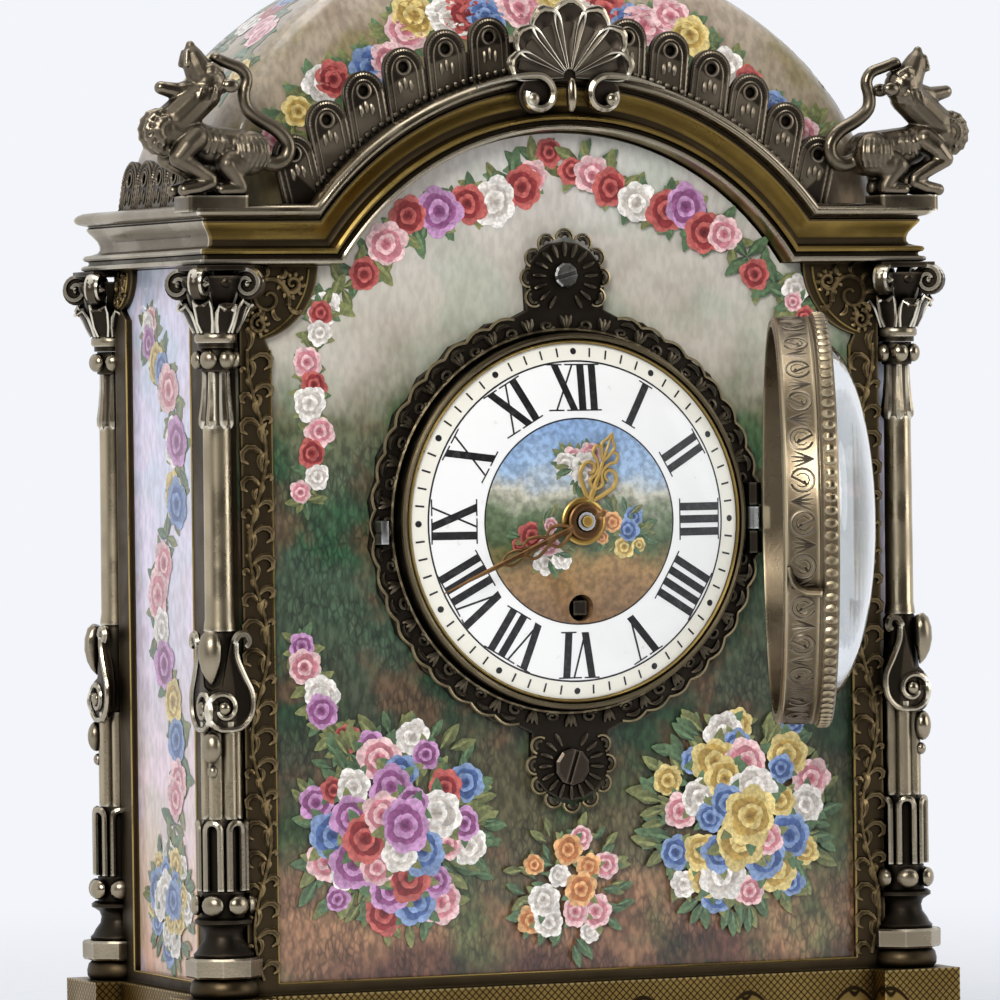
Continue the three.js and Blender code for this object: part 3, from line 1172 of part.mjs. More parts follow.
// Spring barrel, its mainspring, the winding arbor with its ratchet, and the click.
function makePower() {
  const gearY = inPlates(0.19);
  const drumRadius = (WHEEL_TEETH * BARREL_MODULE) / 2 - BARREL_MODULE * 1.6;
  const drumBack = gearY + BARREL_DEPTH;
  const arborHole = ARBOR_RADIUS * 2 + RUNNING_GAP;
  const phase = wheelPhase(BARREL_AT, CENTRE);
  const rim = gear(BARREL_AT, WHEEL_TEETH, BARREL_MODULE, false, phase, gearY, WHEEL_THICKNESS, arborHole);
  const drum = turnedAlongY([
    [drumRadius - BARREL_WALL, gearY - 0.2], [drumRadius, gearY - 0.2], [drumRadius, drumBack],
    [drumRadius - BARREL_WALL, drumBack], [drumRadius - BARREL_WALL, gearY - 0.2],
  ], DRUM_SIDES, BARREL_AT[0], DIAL_Z + BARREL_AT[1]);
  piece('barrel', join(rim, drum), METALS.brass);
  const springInner = ARBOR_RADIUS * 2 + 2 * SPRING_GAP;
  const springOuter = drumRadius - BARREL_WALL - SPRING_GAP;
  const ribbon = spiral(
    BARREL_AT, springInner, springOuter, MAINSPRING_TURNS, MAINSPRING_THICKNESS,
    gearY + SPRING_GAP, drumBack - 2 * SPRING_GAP,
  );
  piece('mainspring', ribbon, METALS.bluedSteel);

  const squareEnd = DIAL_RIM_Y - DIAL_CROWN * 0.6;
  const at = (part) => part.translate(BARREL_AT[0], 0, DIAL_Z + BARREL_AT[1]);
  const shoulder = FRONT_PLATE_FRONT_Y - RUNNING_GAP - RATCHET_THICKNESS * 1.5;
  const core = at(rodAlongY(ARBOR_RADIUS * 2, shoulder, BACK_PLATE_Y - RUNNING_GAP, 10, 0, 0));
  const half = ARBOR_RADIUS * 1.2;
  const square = at(box(-half, half, squareEnd, shoulder + RATCHET_THICKNESS / 2, -half, half));
  const teeth = sawTeeth(RATCHET_TEETH, RATCHET_RADIUS, RATCHET_TOOTH);
  const ratchet = at(frontPlate(outline(teeth), FRONT_PLATE_FRONT_Y - RUNNING_GAP, RATCHET_THICKNESS));
  piece('winding_arbor', join(core, square, ratchet), METALS.steel);

  const [clickX, clickZ] = CLICK_AT;
  const backY = FRONT_PLATE_FRONT_Y - RUNNING_GAP;
  const boss = rodAlongY(CLICK_BOSS_RADIUS, backY - RATCHET_THICKNESS, backY, 10, clickX, DIAL_Z + clickZ);
  const tipX = BARREL_AT[0] + RATCHET_RADIUS + CLICK_CLEARANCE;
  const tipZ = BARREL_AT[1] + CLICK_BOSS_RADIUS / 2;
  const armHalf = CLICK_BOSS_RADIUS / 2;
  const arm = outline([
    [clickX - armHalf, clickZ], [tipX, tipZ],
    [tipX + CLICK_BOSS_RADIUS * 0.8, tipZ], [clickX + armHalf, clickZ],
  ]);
  const bar = frontPlate(arm, backY, RATCHET_THICKNESS).translate(0, 0, DIAL_Z);
  piece('click', join(boss, bar), METALS.steel);
}

// The pinion that one arbor is driven by, and the wheel by which it drives the next; share places them
// between the plates.
function trainPinion(place, drivenBy, module, share) {
  const phase = pinionPhase(drivenBy, place, PINION_TEETH);
  return gear(place, PINION_TEETH, module, true, phase, inPlates(share), PINION_THICKNESS);
}

function trainWheel(place, nextAt, module, share) {
  const phase = wheelPhase(place, nextAt);
  return gear(place, WHEEL_TEETH, module, false, phase, inPlates(share), WHEEL_THICKNESS);
}

function makeTrain() {
  const postEnd = MINUTE_HAND_Y - HAND_THICKNESS - POST_END;
  const post = rodAlongY(ARBOR_RADIUS, postEnd, BACK_PLATE_Y - RUNNING_GAP, 10, 0, DIAL_Z);
  const centrePinion = trainPinion(CENTRE, BARREL_AT, BARREL_MODULE, 0.23);
  const centre = trainWheel(CENTRE, THIRD_AT, THIRD_MODULE, 0.86);
  piece('centre_wheel', join(post, centrePinion, centre), METALS.brass);
  const thirdPinion = trainPinion(THIRD_AT, CENTRE, THIRD_MODULE, 0.9);
  const third = trainWheel(THIRD_AT, FOURTH_AT, FOURTH_MODULE, 0.6);
  piece('third_wheel', join(arbor(THIRD_AT), thirdPinion, third), METALS.brass);
  const fourthPinion = trainPinion(FOURTH_AT, THIRD_AT, FOURTH_MODULE, 0.64);
  const fourth = trainWheel(FOURTH_AT, ESCAPE_AT, ESCAPE_MODULE, 0.33);
  piece('fourth_wheel', join(arbor(FOURTH_AT), fourthPinion, fourth), METALS.brass);
  const escapePinion = trainPinion(ESCAPE_AT, FOURTH_AT, ESCAPE_MODULE, 0.37);
  const teeth = sawTeeth(ESCAPE_TEETH, ESCAPE_RADIUS, ESCAPE_TOOTH);
  const crown = frontPlate(outline(teeth), inPlates(0.7), ESCAPE_THICKNESS);
  crown.translate(ESCAPE_AT[0], 0, DIAL_Z + ESCAPE_AT[1]);
  piece('escape_wheel', join(arbor(ESCAPE_AT), escapePinion, crown), METALS.brass);
}

// Balance behind the back plate, its hairspring, and the cock that carries it.
function makeBalance() {
  const behind = BACK_PLATE_Y + PLATE_THICKNESS;
  const wheelY = behind + 1.6;
  const staffEnd = behind + 3.6;
  const [x, z] = [BALANCE_AT[0], DIAL_Z + BALANCE_AT[1]];
  const staff = rodAlongY(ARBOR_RADIUS * 0.8, FRONT_PLATE_BACK_Y + RUNNING_GAP, staffEnd, 8, x, z);
  const rimInner = BALANCE_RADIUS - BALANCE_RIM;
  const rimFront = wheelY - BALANCE_THICKNESS;
  const rim = turnedAlongY([
    [rimInner, rimFront], [BALANCE_RADIUS, rimFront], [BALANCE_RADIUS, wheelY],
    [rimInner, wheelY], [rimInner, rimFront],
  ], DRUM_SIDES, x, z);
  const armLength = rimInner + BALANCE_RIM / 3;
  const armHalf = BALANCE_RIM * 0.55;
  const arm = box(x - armLength, x + armLength, rimFront + 0.1, wheelY - 0.1, z - armHalf, z + armHalf);
  piece('balance', join(staff, rim, arm), METALS.brass);
  const springInner = ARBOR_RADIUS * 0.8 + SPRING_GAP;
  const springOuter = BALANCE_RADIUS * 0.66;
  const hairspring = spiral(
    BALANCE_AT, springInner, springOuter, HAIRSPRING_TURNS, HAIRSPRING_THICKNESS,
    wheelY + SPRING_GAP, wheelY + 2 * SPRING_GAP,
  );
  piece('hairspring', hairspring, METALS.bluedSteel);

  const reach = BALANCE_RADIUS + COCK_REACH;
  const foot = polar(BALANCE_AT, reach, 180 + COCK_TURN);
  const cockY = staffEnd + RUNNING_GAP;
  const cockBack = cockY + COCK_THICKNESS;
  const post = rodAlongY(COCK_FOOT_RADIUS, behind + FACE_GAP, cockBack, 10, foot[0], DIAL_Z + foot[1]);
  const bridge = box(-reach, COCK_FOOT_RADIUS, cockY, cockBack, -COCK_HALF_WIDTH, COCK_HALF_WIDTH);
  const studX = -springOuter - SPRING_GAP;
  const stud = box(studX - 0.7, studX, wheelY + 0.4, cockY + 0.2, -0.35, 0.35);
  const turn = -THREE.MathUtils.degToRad(COCK_TURN);
  const arms = [bridge, stud].map((part) => part.rotateY(turn).translate(x, 0, z));
  piece('balance_cock', join(post, ...arms), METALS.brass);
}

// Motion work under the dial: cannon pinion, minute wheel with its pinion, hour wheel with its pipe.
function makeMotionWork() {
  const first = (2 * (MOTION_CENTRES - MESH_SLACK)) / (CANNON_TEETH + MINUTE_WHEEL_TEETH);
  const second = (2 * (MOTION_CENTRES - MESH_SLACK)) / (MINUTE_PINION_TEETH + HOUR_WHEEL_TEETH);
  const lowY = FRONT_PLATE_FRONT_Y - 2 * RUNNING_GAP;
  const highY = lowY - MOTION_STEP;
  const thick = MOTION_THICKNESS;
  const bore = ARBOR_RADIUS + PIN_CLEARANCE;
  const cannonEnd = MINUTE_HAND_Y - HAND_THICKNESS - 2 * PIPE_END;
  const cannonPhase = pinionPhase(MINUTE_AT, CENTRE, CANNON_TEETH);
  const teeth = gear(CENTRE, CANNON_TEETH, first, true, cannonPhase, lowY, thick);
  const tube = rodAlongY(CANNON_TUBE_RADIUS, cannonEnd, lowY, 12, 0, DIAL_Z);
  const hole = rodAlongY(bore, cannonEnd - 1, lowY + 1, 10, 0, DIAL_Z);
  piece('cannon_pinion', cut(join(teeth, tube), hole), METALS.brass);

  const minutePhase = wheelPhase(MINUTE_AT, CENTRE);
  const wheel = gear(MINUTE_AT, MINUTE_WHEEL_TEETH, first, false, minutePhase, lowY, thick);
  const leafPhase = pinionPhase(CENTRE, MINUTE_AT, MINUTE_PINION_TEETH);
  const lap = MOTION_STEP / 2;
  const leaf = gear(MINUTE_AT, MINUTE_PINION_TEETH, second, true, leafPhase, highY + lap, thick + lap);
  piece('minute_wheel', join(wheel, leaf), METALS.brass);

  const hourPhase = wheelPhase(CENTRE, MINUTE_AT);
  const hourTeeth = gear(CENTRE, HOUR_WHEEL_TEETH, second, false, hourPhase, highY, thick);
  const pipe = rodAlongY(HOUR_PIPE_RADIUS, HOUR_HAND_Y - HAND_THICKNESS - PIPE_END, highY, 12, 0, DIAL_Z);
  const pipeBore = rodAlongY(CANNON_TUBE_RADIUS + PIN_CLEARANCE, MINUTE_HAND_Y, highY + 1, 12, 0, DIAL_Z);
  piece('hour_wheel', cut(join(hourTeeth, pipe), pipeBore), METALS.brass);
}

// Hands drawn pointing to twelve, then turned clockwise to the time.
function handPlate(shape, backY, angle, boreRadius) {
  const bore = new THREE.Path();
  bore.absarc(0, 0, boreRadius, 0, Math.PI * 2, true);
  shape.holes.push(bore);
  return frontPlate(shape, backY, HAND_THICKNESS, 8).rotateY(angle).translate(0, 0, DIAL_Z);
}

function makeHands() {
  const hour = new THREE.Shape();
  const base = Math.PI / 2;
  hour.absarc(0, 0, HAND_BOSS_RADIUS, base + 0.3, base - 0.3 + Math.PI * 2, false);
  const long = HOUR_HAND_LENGTH;
  hour.lineTo(0.9, long * 0.42);
  hour.lineTo(2.7, long * 0.52);
  hour.lineTo(2.4, long * 0.68);
  hour.lineTo(1, long * 0.72);
  hour.lineTo(1.5, long * 0.86);
  hour.lineTo(0, long);
  hour.lineTo(-1.5, long * 0.86);
  hour.lineTo(-1, long * 0.72);
  hour.lineTo(-2.4, long * 0.68);
  hour.lineTo(-2.7, long * 0.52);
  hour.lineTo(-0.9, long * 0.42);
  hour.closePath();
  const pipe = HOUR_PIPE_RADIUS + PIN_CLEARANCE;
  piece('hour_hand', handPlate(hour, HOUR_HAND_Y, HOUR_ANGLE, pipe), METALS.gilt);

  const minute = new THREE.Shape();
  const reach = MINUTE_HAND_LENGTH;
  minute.absarc(0, 0, HAND_BOSS_RADIUS * 0.8, base + 0.3, base - 0.3 + Math.PI * 2, false);
  minute.lineTo(0.45, reach * 0.3);
  minute.lineTo(1.2, reach * 0.42);
  minute.lineTo(0.5, reach * 0.55);
  minute.lineTo(0.15, reach);
  minute.lineTo(-0.15, reach);
  minute.lineTo(-0.5, reach * 0.55);
  minute.lineTo(-1.2, reach * 0.42);
  minute.lineTo(-0.45, reach * 0.3);
  minute.closePath();
  const bore = CANNON_TUBE_RADIUS + PIN_CLEARANCE;
  piece('minute_hand', handPlate(minute, MINUTE_HAND_Y, MINUTE_ANGLE, bore), METALS.gilt);
}

makeBase();
makeCase();
makeWalls();
makeColumns();
makeCornice();
makeGallery();
makeCrest();
makeRoof();
makeBeasts();
makeSeat();
makeDoor();
makeDial();
makePlates();
makePower();
makeTrain();
makeBalance();
makeMotionWork();
makeHands();

export default clock;
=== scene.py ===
"""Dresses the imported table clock: smooth metalwork, painted enamels, dial, hands and the open bezel door."""

import logging
import math
import random
from dataclasses import dataclass
from enum import Enum
from typing import Any, Callable, Iterable, Sequence

import bmesh
import bpy
from bmesh.types import BMesh, BMFace, BMVert
from bpy.types import Material, Mesh, Node, NodeSocket, NodeTree, Object
from mathutils import Matrix, Vector
from mathutils.bvhtree import BVHTree


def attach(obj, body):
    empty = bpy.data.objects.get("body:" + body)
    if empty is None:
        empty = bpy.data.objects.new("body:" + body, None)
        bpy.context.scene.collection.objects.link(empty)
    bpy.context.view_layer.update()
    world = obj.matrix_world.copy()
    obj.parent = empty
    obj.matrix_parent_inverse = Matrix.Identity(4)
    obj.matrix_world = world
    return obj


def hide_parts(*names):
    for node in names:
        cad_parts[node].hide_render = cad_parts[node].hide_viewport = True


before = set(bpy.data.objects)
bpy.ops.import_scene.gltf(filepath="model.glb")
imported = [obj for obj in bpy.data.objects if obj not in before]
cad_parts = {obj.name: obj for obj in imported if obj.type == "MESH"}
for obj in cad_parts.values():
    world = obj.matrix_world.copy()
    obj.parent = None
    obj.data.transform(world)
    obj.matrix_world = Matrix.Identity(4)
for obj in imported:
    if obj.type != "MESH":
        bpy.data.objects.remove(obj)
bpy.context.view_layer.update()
LOG = logging.getLogger("table_clock")
MM = 0.001
UP = Vector((0.0, 0.0, 1.0))
FORWARD = Vector((0.0, -1.0, 0.0))
LAID_FLAT = Matrix(((1, 0, 0, 0), (0, 0, 1, 0), (0, 1, 0, 0), (0, 0, 0, 1)))
# Places in a piece's list of finishes
MAIN, SECOND, THIRD, FOURTH = range(4)
Shade = tuple[int, int, int]
Colour = tuple[float, float, float, float]
Point = tuple[float, float]
Target = Callable[[float, float], tuple[Vector, Vector]]
Snap = Callable[[Vector], tuple[Vector, Vector]]


def tint(red: int, green: int, blue: int) -> Colour:
    """Turns a colour as a screen shows it, 0 to 255, into Blender's linear values."""
    shares = (red / 255, green / 255, blue / 255)
    linear = [s / 12.92 if s <= 0.04045 else ((s + 0.055) / 1.055) ** 2.4 for s in shares]
    return (linear[0], linear[1], linear[2], 1.0)


def moved(x: float, y: float, z: float) -> Matrix:
    """Returns a move by millimetres."""
    return Matrix.Translation((x, y, z))


def turned_by(degrees: float, axis: str) -> Matrix:
    """Returns a turn about one axis."""
    return Matrix.Rotation(math.radians(degrees), 4, axis)


def sized(x: float, y: float, z: float) -> Matrix:
    """Returns a scale along the three axes."""
    return Matrix.Diagonal((x, y, z, 1.0))


def bearing(angle: float) -> Vector:
    """Returns the level direction at an angle in radians."""
    return Vector((math.cos(angle), math.sin(angle), 0.0))


class Slot(Enum):
    """The record's material slots, one passed with each modelled piece."""

    SILVER = "silver"
    GILT = "gilt"
    DARK_SILVER = "dark_silver"
    STEEL = "steel"
    BLUED_STEEL = "blued_steel"
    FRONT_ENAMEL = "front_enamel"
    SIDE_ENAMEL = "side_enamel"
    DOME_ENAMEL = "dome_enamel"
    DIAL_ENAMEL = "dial_enamel"
    GLASS = "glass"


class Side(Enum):
    """The four walls of the case, by the turn that brings the front to them."""

    FRONT = 0
    RIGHT = 90
    BACK = 180
    LEFT = -90


@dataclass(frozen=True)
class Layout:
    """The case's main sizes in millimetres, as the solids have them."""

    half_x: float = 47.4
    half_y: float = 18.55
    column_top: float = 113.6
    roof: float = 120.1
    arch_radius: float = 37.2
    arch_z: float = 93.3
    dial_z: float = 80.8
    dial_radius: float = 22.9
    panel_y: float = -18.35
    frame_y: float = -19.2
    seat_y: float = -19.5
    side_panel_x: float = 47.2
    side_frame_x: float = 48.05


LAYOUT = Layout()


class Graph:
    """Adds nodes to one node tree in few words."""

    def __init__(self, tree: NodeTree) -> None:
        """Keeps the tree."""
        self.tree = tree

    def feed(self, socket: NodeSocket, value: Any) -> None:
        """Links a socket to another, or sets its value."""
        if isinstance(value, NodeSocket):
            self.tree.links.new(value, socket)
        else:
            socket.default_value = value

    def add(self, kind: str, inputs: dict[Any, Any] | None = None, **settings: Any) -> Node:
        """Adds a node.

        Args:
            kind: Blender's name of the node type.
            inputs: values or sockets for the node's inputs, by name or number.
            settings: the node's own options.

        Returns:
            The new node.
        """
        node = self.tree.nodes.new(kind)
        for key, value in settings.items():
            setattr(node, key, value)
        for key, value in (inputs or {}).items():
            self.feed(node.inputs[key], value)
        return node

    def blend(self, share: Any, first: Any, second: Any, mode: str = "MIX") -> NodeSocket:
        """Mixes two colours and returns the mix."""
        colours = {0: share, 6: first, 7: second}
        return self.add("ShaderNodeMix", colours, data_type="RGBA", blend_type=mode).outputs[2]

    def math(self, operation: str, first: Any, second: Any = 0.0) -> NodeSocket:
        """Returns the result of one sum on two values."""
        return self.add("ShaderNodeMath", {0: first, 1: second}, operation=operation).outputs[0]

    def times(self, first: Any, second: Any) -> NodeSocket:
        """Returns a product."""
        return self.math("MULTIPLY", first, second)

    def spread(self, value: Any, low: float, high: float, start: float = 0.0, end: float = 1.0) -> NodeSocket:
        """Maps a range of values smoothly onto another and returns it."""
        names = {"Value": value, "From Min": low, "From Max": high, "To Min": start, "To Max": end}
        return self.add("ShaderNodeMapRange", names, interpolation_type="SMOOTHSTEP").outputs[0]

    def noise(self, place: NodeSocket, scale: float, detail: float = 3.0) -> NodeSocket:
        """Returns soft noise at a scale in turns per metre."""
        return self.add("ShaderNodeTexNoise", {"Vector": place, "Scale": scale, "Detail": detail}).outputs[0]

    def clouds(self, place: NodeSocket, scale: float, detail: float, *ranges: float) -> NodeSocket:
        """Returns soft noise with its middle range spread out, the ranges as in spread."""
        return self.spread(self.noise(place, scale, detail), *ranges)

    def ramp(self, value: NodeSocket, stops: Sequence[tuple[float, Shade]]) -> NodeSocket:
        """Returns a colour picked along a row of stops."""
        node = self.add("ShaderNodeValToRGB", {"Fac": value})
        while len(node.color_ramp.elements) < len(stops):
            node.color_ramp.elements.new(0.5)
        for element, (place, shade) in zip(node.color_ramp.elements, stops):
            element.position = place
            element.color = tint(*shade)
        return node.outputs[0]

    def place(self) -> NodeSocket:
        """Returns Object coordinates."""
        return self.add("ShaderNodeTexCoord").outputs["Object"]

    def axes(self, place: NodeSocket) -> Sequence[NodeSocket]:
        """Returns a place's three coordinates."""
        return self.add("ShaderNodeSeparateXYZ", {"Vector": place}).outputs

    def length(self, place: NodeSocket) -> NodeSocket:
        """Returns a place's distance from the origin."""
        return self.add("ShaderNodeVectorMath", {0: place}, operation="LENGTH").outputs["Value"]

    def bump(self, shader: Node, height: NodeSocket, strength: float, distance: float) -> None:
        """Feeds a shader's normal from a height whose full reach is a distance in millimetres."""
        inputs = {"Strength": strength, "Distance": distance * MM, "Height": height}
        self.feed(shader.inputs["Normal"], self.add("ShaderNodeBump", inputs).outputs[0])

    def fix(self, shader: Node, values: dict[str, float]) -> None:
        """Sets values that are the same all over on a shader's own sockets."""
        for key, value in values.items():
            shader.inputs[key].default_value = value


def new_group(name: str, inputs: dict[str, float], outputs: Sequence[str]) -> tuple[Graph, Node, Node]:
    """Starts a shared node group.

    Args:
        name: the group's name.
        inputs: names of value inputs with their usual values.
        outputs: names of value outputs.

    Returns:
        The group's graph, its input node and its output node.
    """
    tree = bpy.data.node_groups.new(name, "ShaderNodeTree")
    for key, usual in inputs.items():
        tree.interface.new_socket(key, in_out="INPUT", socket_type="NodeSocketFloat").default_value = usual
    for key in outputs:
        tree.interface.new_socket(key, in_out="OUTPUT", socket_type="NodeSocketFloat")
    graph = Graph(tree)
    return graph, graph.add("NodeGroupInput"), graph.add("NodeGroupOutput")


def tarnish_shade_and_wear_group() -> NodeTree:
    """Returns the group that finds hollows, dark with tarnish and painted shade, and edges, where tarnish has
    worn off.
    """
    usual = {"Reach": 0.0025, "Edge Reach": 0.00035}
    graph, given, result = new_group("tarnish_shade_and_wear", usual, ("Hollow", "Edge"))
    # Hollow comes from ambient occlusion: it stands for tarnish and for painted shade alike.
    for output, reach, low, inside in (("Hollow", "Reach", 0.36, False), ("Edge", "Edge Reach", 0.55, True)):
        distance = {"Distance": given.outputs[reach]}
        found = graph.add("ShaderNodeAmbientOcclusion", distance, samples=6, inside=inside, only_local=inside)
        graph.feed(result.inputs[output], graph.spread(found.outputs["AO"], low, 0.95, 1.0, 0.0))
    return graph.tree


def metal_grain_group() -> NodeTree:
    """Returns the group that gives handled metal its fine scratches and its cloudy patches."""
    graph, given, result = new_group("metal_grain", {"Scale": 1.0}, ("Height", "Cloud"))
    inputs = {0: graph.place(), "Scale": given.outputs["Scale"]}
    where = graph.add("ShaderNodeVectorMath", inputs, operation="SCALE").outputs[0]
    scratches = graph.math("ADD", graph.noise(where, 2600.0, 4.0), graph.noise(where, 420.0))
    graph.feed(result.inputs["Height"], scratches)
    graph.feed(result.inputs["Cloud"], graph.clouds(where, 150.0, 4.0, 0.3, 0.7))
    return graph.tree


RELIEF = tarnish_shade_and_wear_group()
GRAIN = metal_grain_group()


@dataclass(frozen=True)
class Finish:
    """A named finish that is made into a material."""

    name: str

    def make(self) -> Material:
        """Returns the finished material."""
        material = bpy.data.materials.new(self.name)
        material.use_nodes = True
        graph = Graph(material.node_tree)
        self.lay(graph, graph.tree.nodes["Principled BSDF"])
        return material

    def lay(self, graph: Graph, shader: Node) -> None:
        """Feeds the shader; each kind of finish does it in its own way."""
        raise NotImplementedError


@dataclass(frozen=True)
class Metal(Finish):
    """A handled metal, dark in its hollows with tarnish and painted shade, and bright on its worn edges."""

    bright: Colour
    body: Colour
    # the hollows' colour: tarnish and painted shade together
    hollow: Colour
    roughness: float = 0.32
    reach: float = 2.5
    edge_reach: float = 0.35
    worn: float = 0.8
    pattern: Callable[[Graph], NodeSocket] | None = None
    cloud_shade: float = 0.72
    cut_depth: float = 4.0
    polish: float = 0.06
    dulling: float = 0.1
    hollow_matt: float = 0.2

    def lay(self, graph: Graph, shader: Node) -> None:
        """Lays the cloudy body, the worn edges, the hollows darkened with tarnish and painted shade, any
        engraving and the grain.
        """
        reaches = {"Reach": self.reach * MM, "Edge Reach": self.edge_reach * MM}
        relief = graph.add("ShaderNodeGroup", reaches, node_tree=RELIEF)
        grain = graph.add("ShaderNodeGroup", node_tree=GRAIN)
        cloud = grain.outputs["Cloud"]
        open_tone = graph.blend(cloud, self.body, [self.cloud_shade * c for c in self.body[:3]] + [1.0])
        lit = graph.blend(graph.times(relief.outputs["Edge"], self.worn), open_tone, self.bright)
        # painted shade: the occluded hollows darken towards the hollow colour, together with the tarnish
        colour = graph.blend(relief.outputs["Hollow"], lit, self.hollow)
        height = grain.outputs["Height"]
        if self.pattern:
            cut = self.pattern(graph)
            colour = graph.blend(cut, colour, self.hollow)
            height = graph.math("SUBTRACT", height, graph.times(cut, self.cut_depth))
        graph.feed(shader.inputs["Base Color"], colour)
        graph.fix(shader, {"Metallic": 1.0})
        rough = graph.spread(cloud, 0.0, 1.0, self.roughness - self.polish, self.roughness + self.dulling)
        matt = graph.times(relief.outputs["Hollow"], self.hollow_matt)
        graph.feed(shader.inputs["Roughness"], graph.math("ADD", rough, matt))
        graph.bump(shader, height, 0.12, 0.1)


def engraved_band(graph: Graph) -> NodeSocket:
    """Returns the plinth's engraving: hatched scallops over rows of curls, with a line between."""
    hatch_pitch, scallop_pitch, scallop_rise, scallop_level = 0.95, 15.0, 3.2, 16.5
    curl_pitch, curl_row = 2.6, 3.1
    axes = graph.axes(graph.place())
    along = graph.math("ADD", axes["X"], axes["Y"])
    height = axes["Z"]

    def wave(value: NodeSocket, pitch: float) -> NodeSocket:
        """Returns a wave that repeats at a pitch in millimetres."""
        return graph.math("SINE", graph.times(value, math.tau / (pitch * MM)))

    slopes = [graph.math("ADD", along, graph.times(height, lean)) for lean in (1.0, -1.0)]
    lines = [graph.spread(wave(slope, hatch_pitch), 0.55, 0.95) for slope in slopes]
    hatch = graph.math("MAXIMUM", lines[0], lines[1])
    level = graph.math("ADD", graph.times(wave(along, scallop_pitch), scallop_rise * MM), scallop_level * MM)
    over = graph.math("SUBTRACT", height, level)
    inside = graph.spread(over, -0.2 * MM, 0.2 * MM)
    border = graph.spread(graph.math("ABSOLUTE", over), 0.18 * MM, 0.42 * MM, 1.0, 0.0)
    rows = graph.math("ADD", graph.times(height, math.tau / (curl_row * MM)), wave(along, curl_pitch))
    curls = graph.spread(graph.math("SINE", rows), 0.6, 0.95)
    below = graph.times(curls, graph.math("SUBTRACT", 1.0, inside))
    return graph.math("MAXIMUM", border, graph.math("MAXIMUM", graph.times(hatch, inside), below))


@dataclass(frozen=True)
class Enamel(Finish):
    """Glossy painted enamel: a ground painted in brush strokes under a clear flux."""

    stops: tuple[tuple[float, Shade], ...]
    low: float
    high: float
    second: Shade
    third: Shade
    sway: float = 0.12
    stipple: float = 0.5
    sky: float = 3.0
    leaves: float = 0.0
    drift_scale: float = 55.0
    patch_scale: float = 95.0
    fleck_scale: float = 130.0
    stroke_scale: float = 1150.0
    leaf_scale: float = 1400.0

    def lay(self, graph: Graph, shader: Node) -> None:
        """Lays the ground by height, its patches and flecks, the brush strokes and the leaves' edges."""
        where = graph.place()
        level = graph.spread(graph.axes(where)["Z"], self.low * MM, self.high * MM)
        level.node.interpolation_type = "LINEAR"
        drift = graph.math("SUBTRACT", graph.noise(where, self.drift_scale, 5.0), 0.5)
        level = graph.math("ADD", level, graph.times(drift, self.sway * 2.0))
        ground = graph.ramp(level, self.stops)
        leafy = graph.spread(level, self.sky - 0.1, self.sky + 0.06, 1.0, 0.22)
        patches = graph.times(leafy, graph.clouds(where, self.patch_scale, 6.0, 0.45, 0.62))
        ground = graph.blend(graph.times(patches, 0.75), ground, tint(*self.second), "OVERLAY")
        flecks = graph.times(leafy, graph.clouds(where, self.fleck_scale, 5.0, 0.5, 0.66))
        ground = graph.blend(graph.times(flecks, 0.62), ground, tint(*self.third))
        lean = {"Vector": where, "Rotation": (0.0, 0.75, 0.0), "Scale": (1.0, 1.0, 0.45)}
        brushed = graph.add("ShaderNodeMapping", lean).outputs[0]
        strokes = graph.clouds(brushed, self.stroke_scale, 2.0, 0.34, 0.66, 0.5, 1.42)
        worked = graph.times(leafy, self.stipple)
        tone = graph.blend(worked, ground, graph.blend(1.0, ground, strokes, "MULTIPLY"))
        cells = {"Vector": brushed, "Scale": self.leaf_scale}
        leaf = graph.add("ShaderNodeTexVoronoi", cells, feature="DISTANCE_TO_EDGE")
        edges = graph.spread(leaf.outputs["Distance"], 0.02, 0.22, 0.5, 1.08)
        below = graph.spread(level, self.sky - 0.12, self.sky, self.leaves, 0.0)
        drawn = graph.times(below, graph.clouds(where, 160.0, 3.0, 0.35, 0.6))
        tone = graph.blend(drawn, tone, graph.blend(1.0, tone, edges, "MULTIPLY"))
        graph.feed(shader.inputs["Base Color"], tone)
        graph.fix(shader, {"Roughness": 0.34, "Coat Weight": 0.55, "Coat Roughness": 0.06})
        graph.bump(shader, graph.noise(where, 90.0, 2.0), 0.15, 0.4)


@dataclass(frozen=True)
class Paint(Finish):
    """Enamel colours laid on petal by petal, each with its own tone and fine brush marks."""

    def lay(self, graph: Graph, shader: Node) -> None:
        """Lays the petals' own colours under brush marks."""
        own = graph.add("ShaderNodeAttribute", attribute_name="paint").outputs["Color"]
        marks = graph.clouds(graph.place(), 1900.0, 3.0, 0.3, 0.72, 0.7, 1.18)
        graph.feed(shader.inputs["Base Color"], graph.blend(1.0, own, marks, "MULTIPLY"))
        graph.fix(shader, {"Roughness": 0.36, "Coat Weight": 0.5, "Coat Roughness": 0.08})


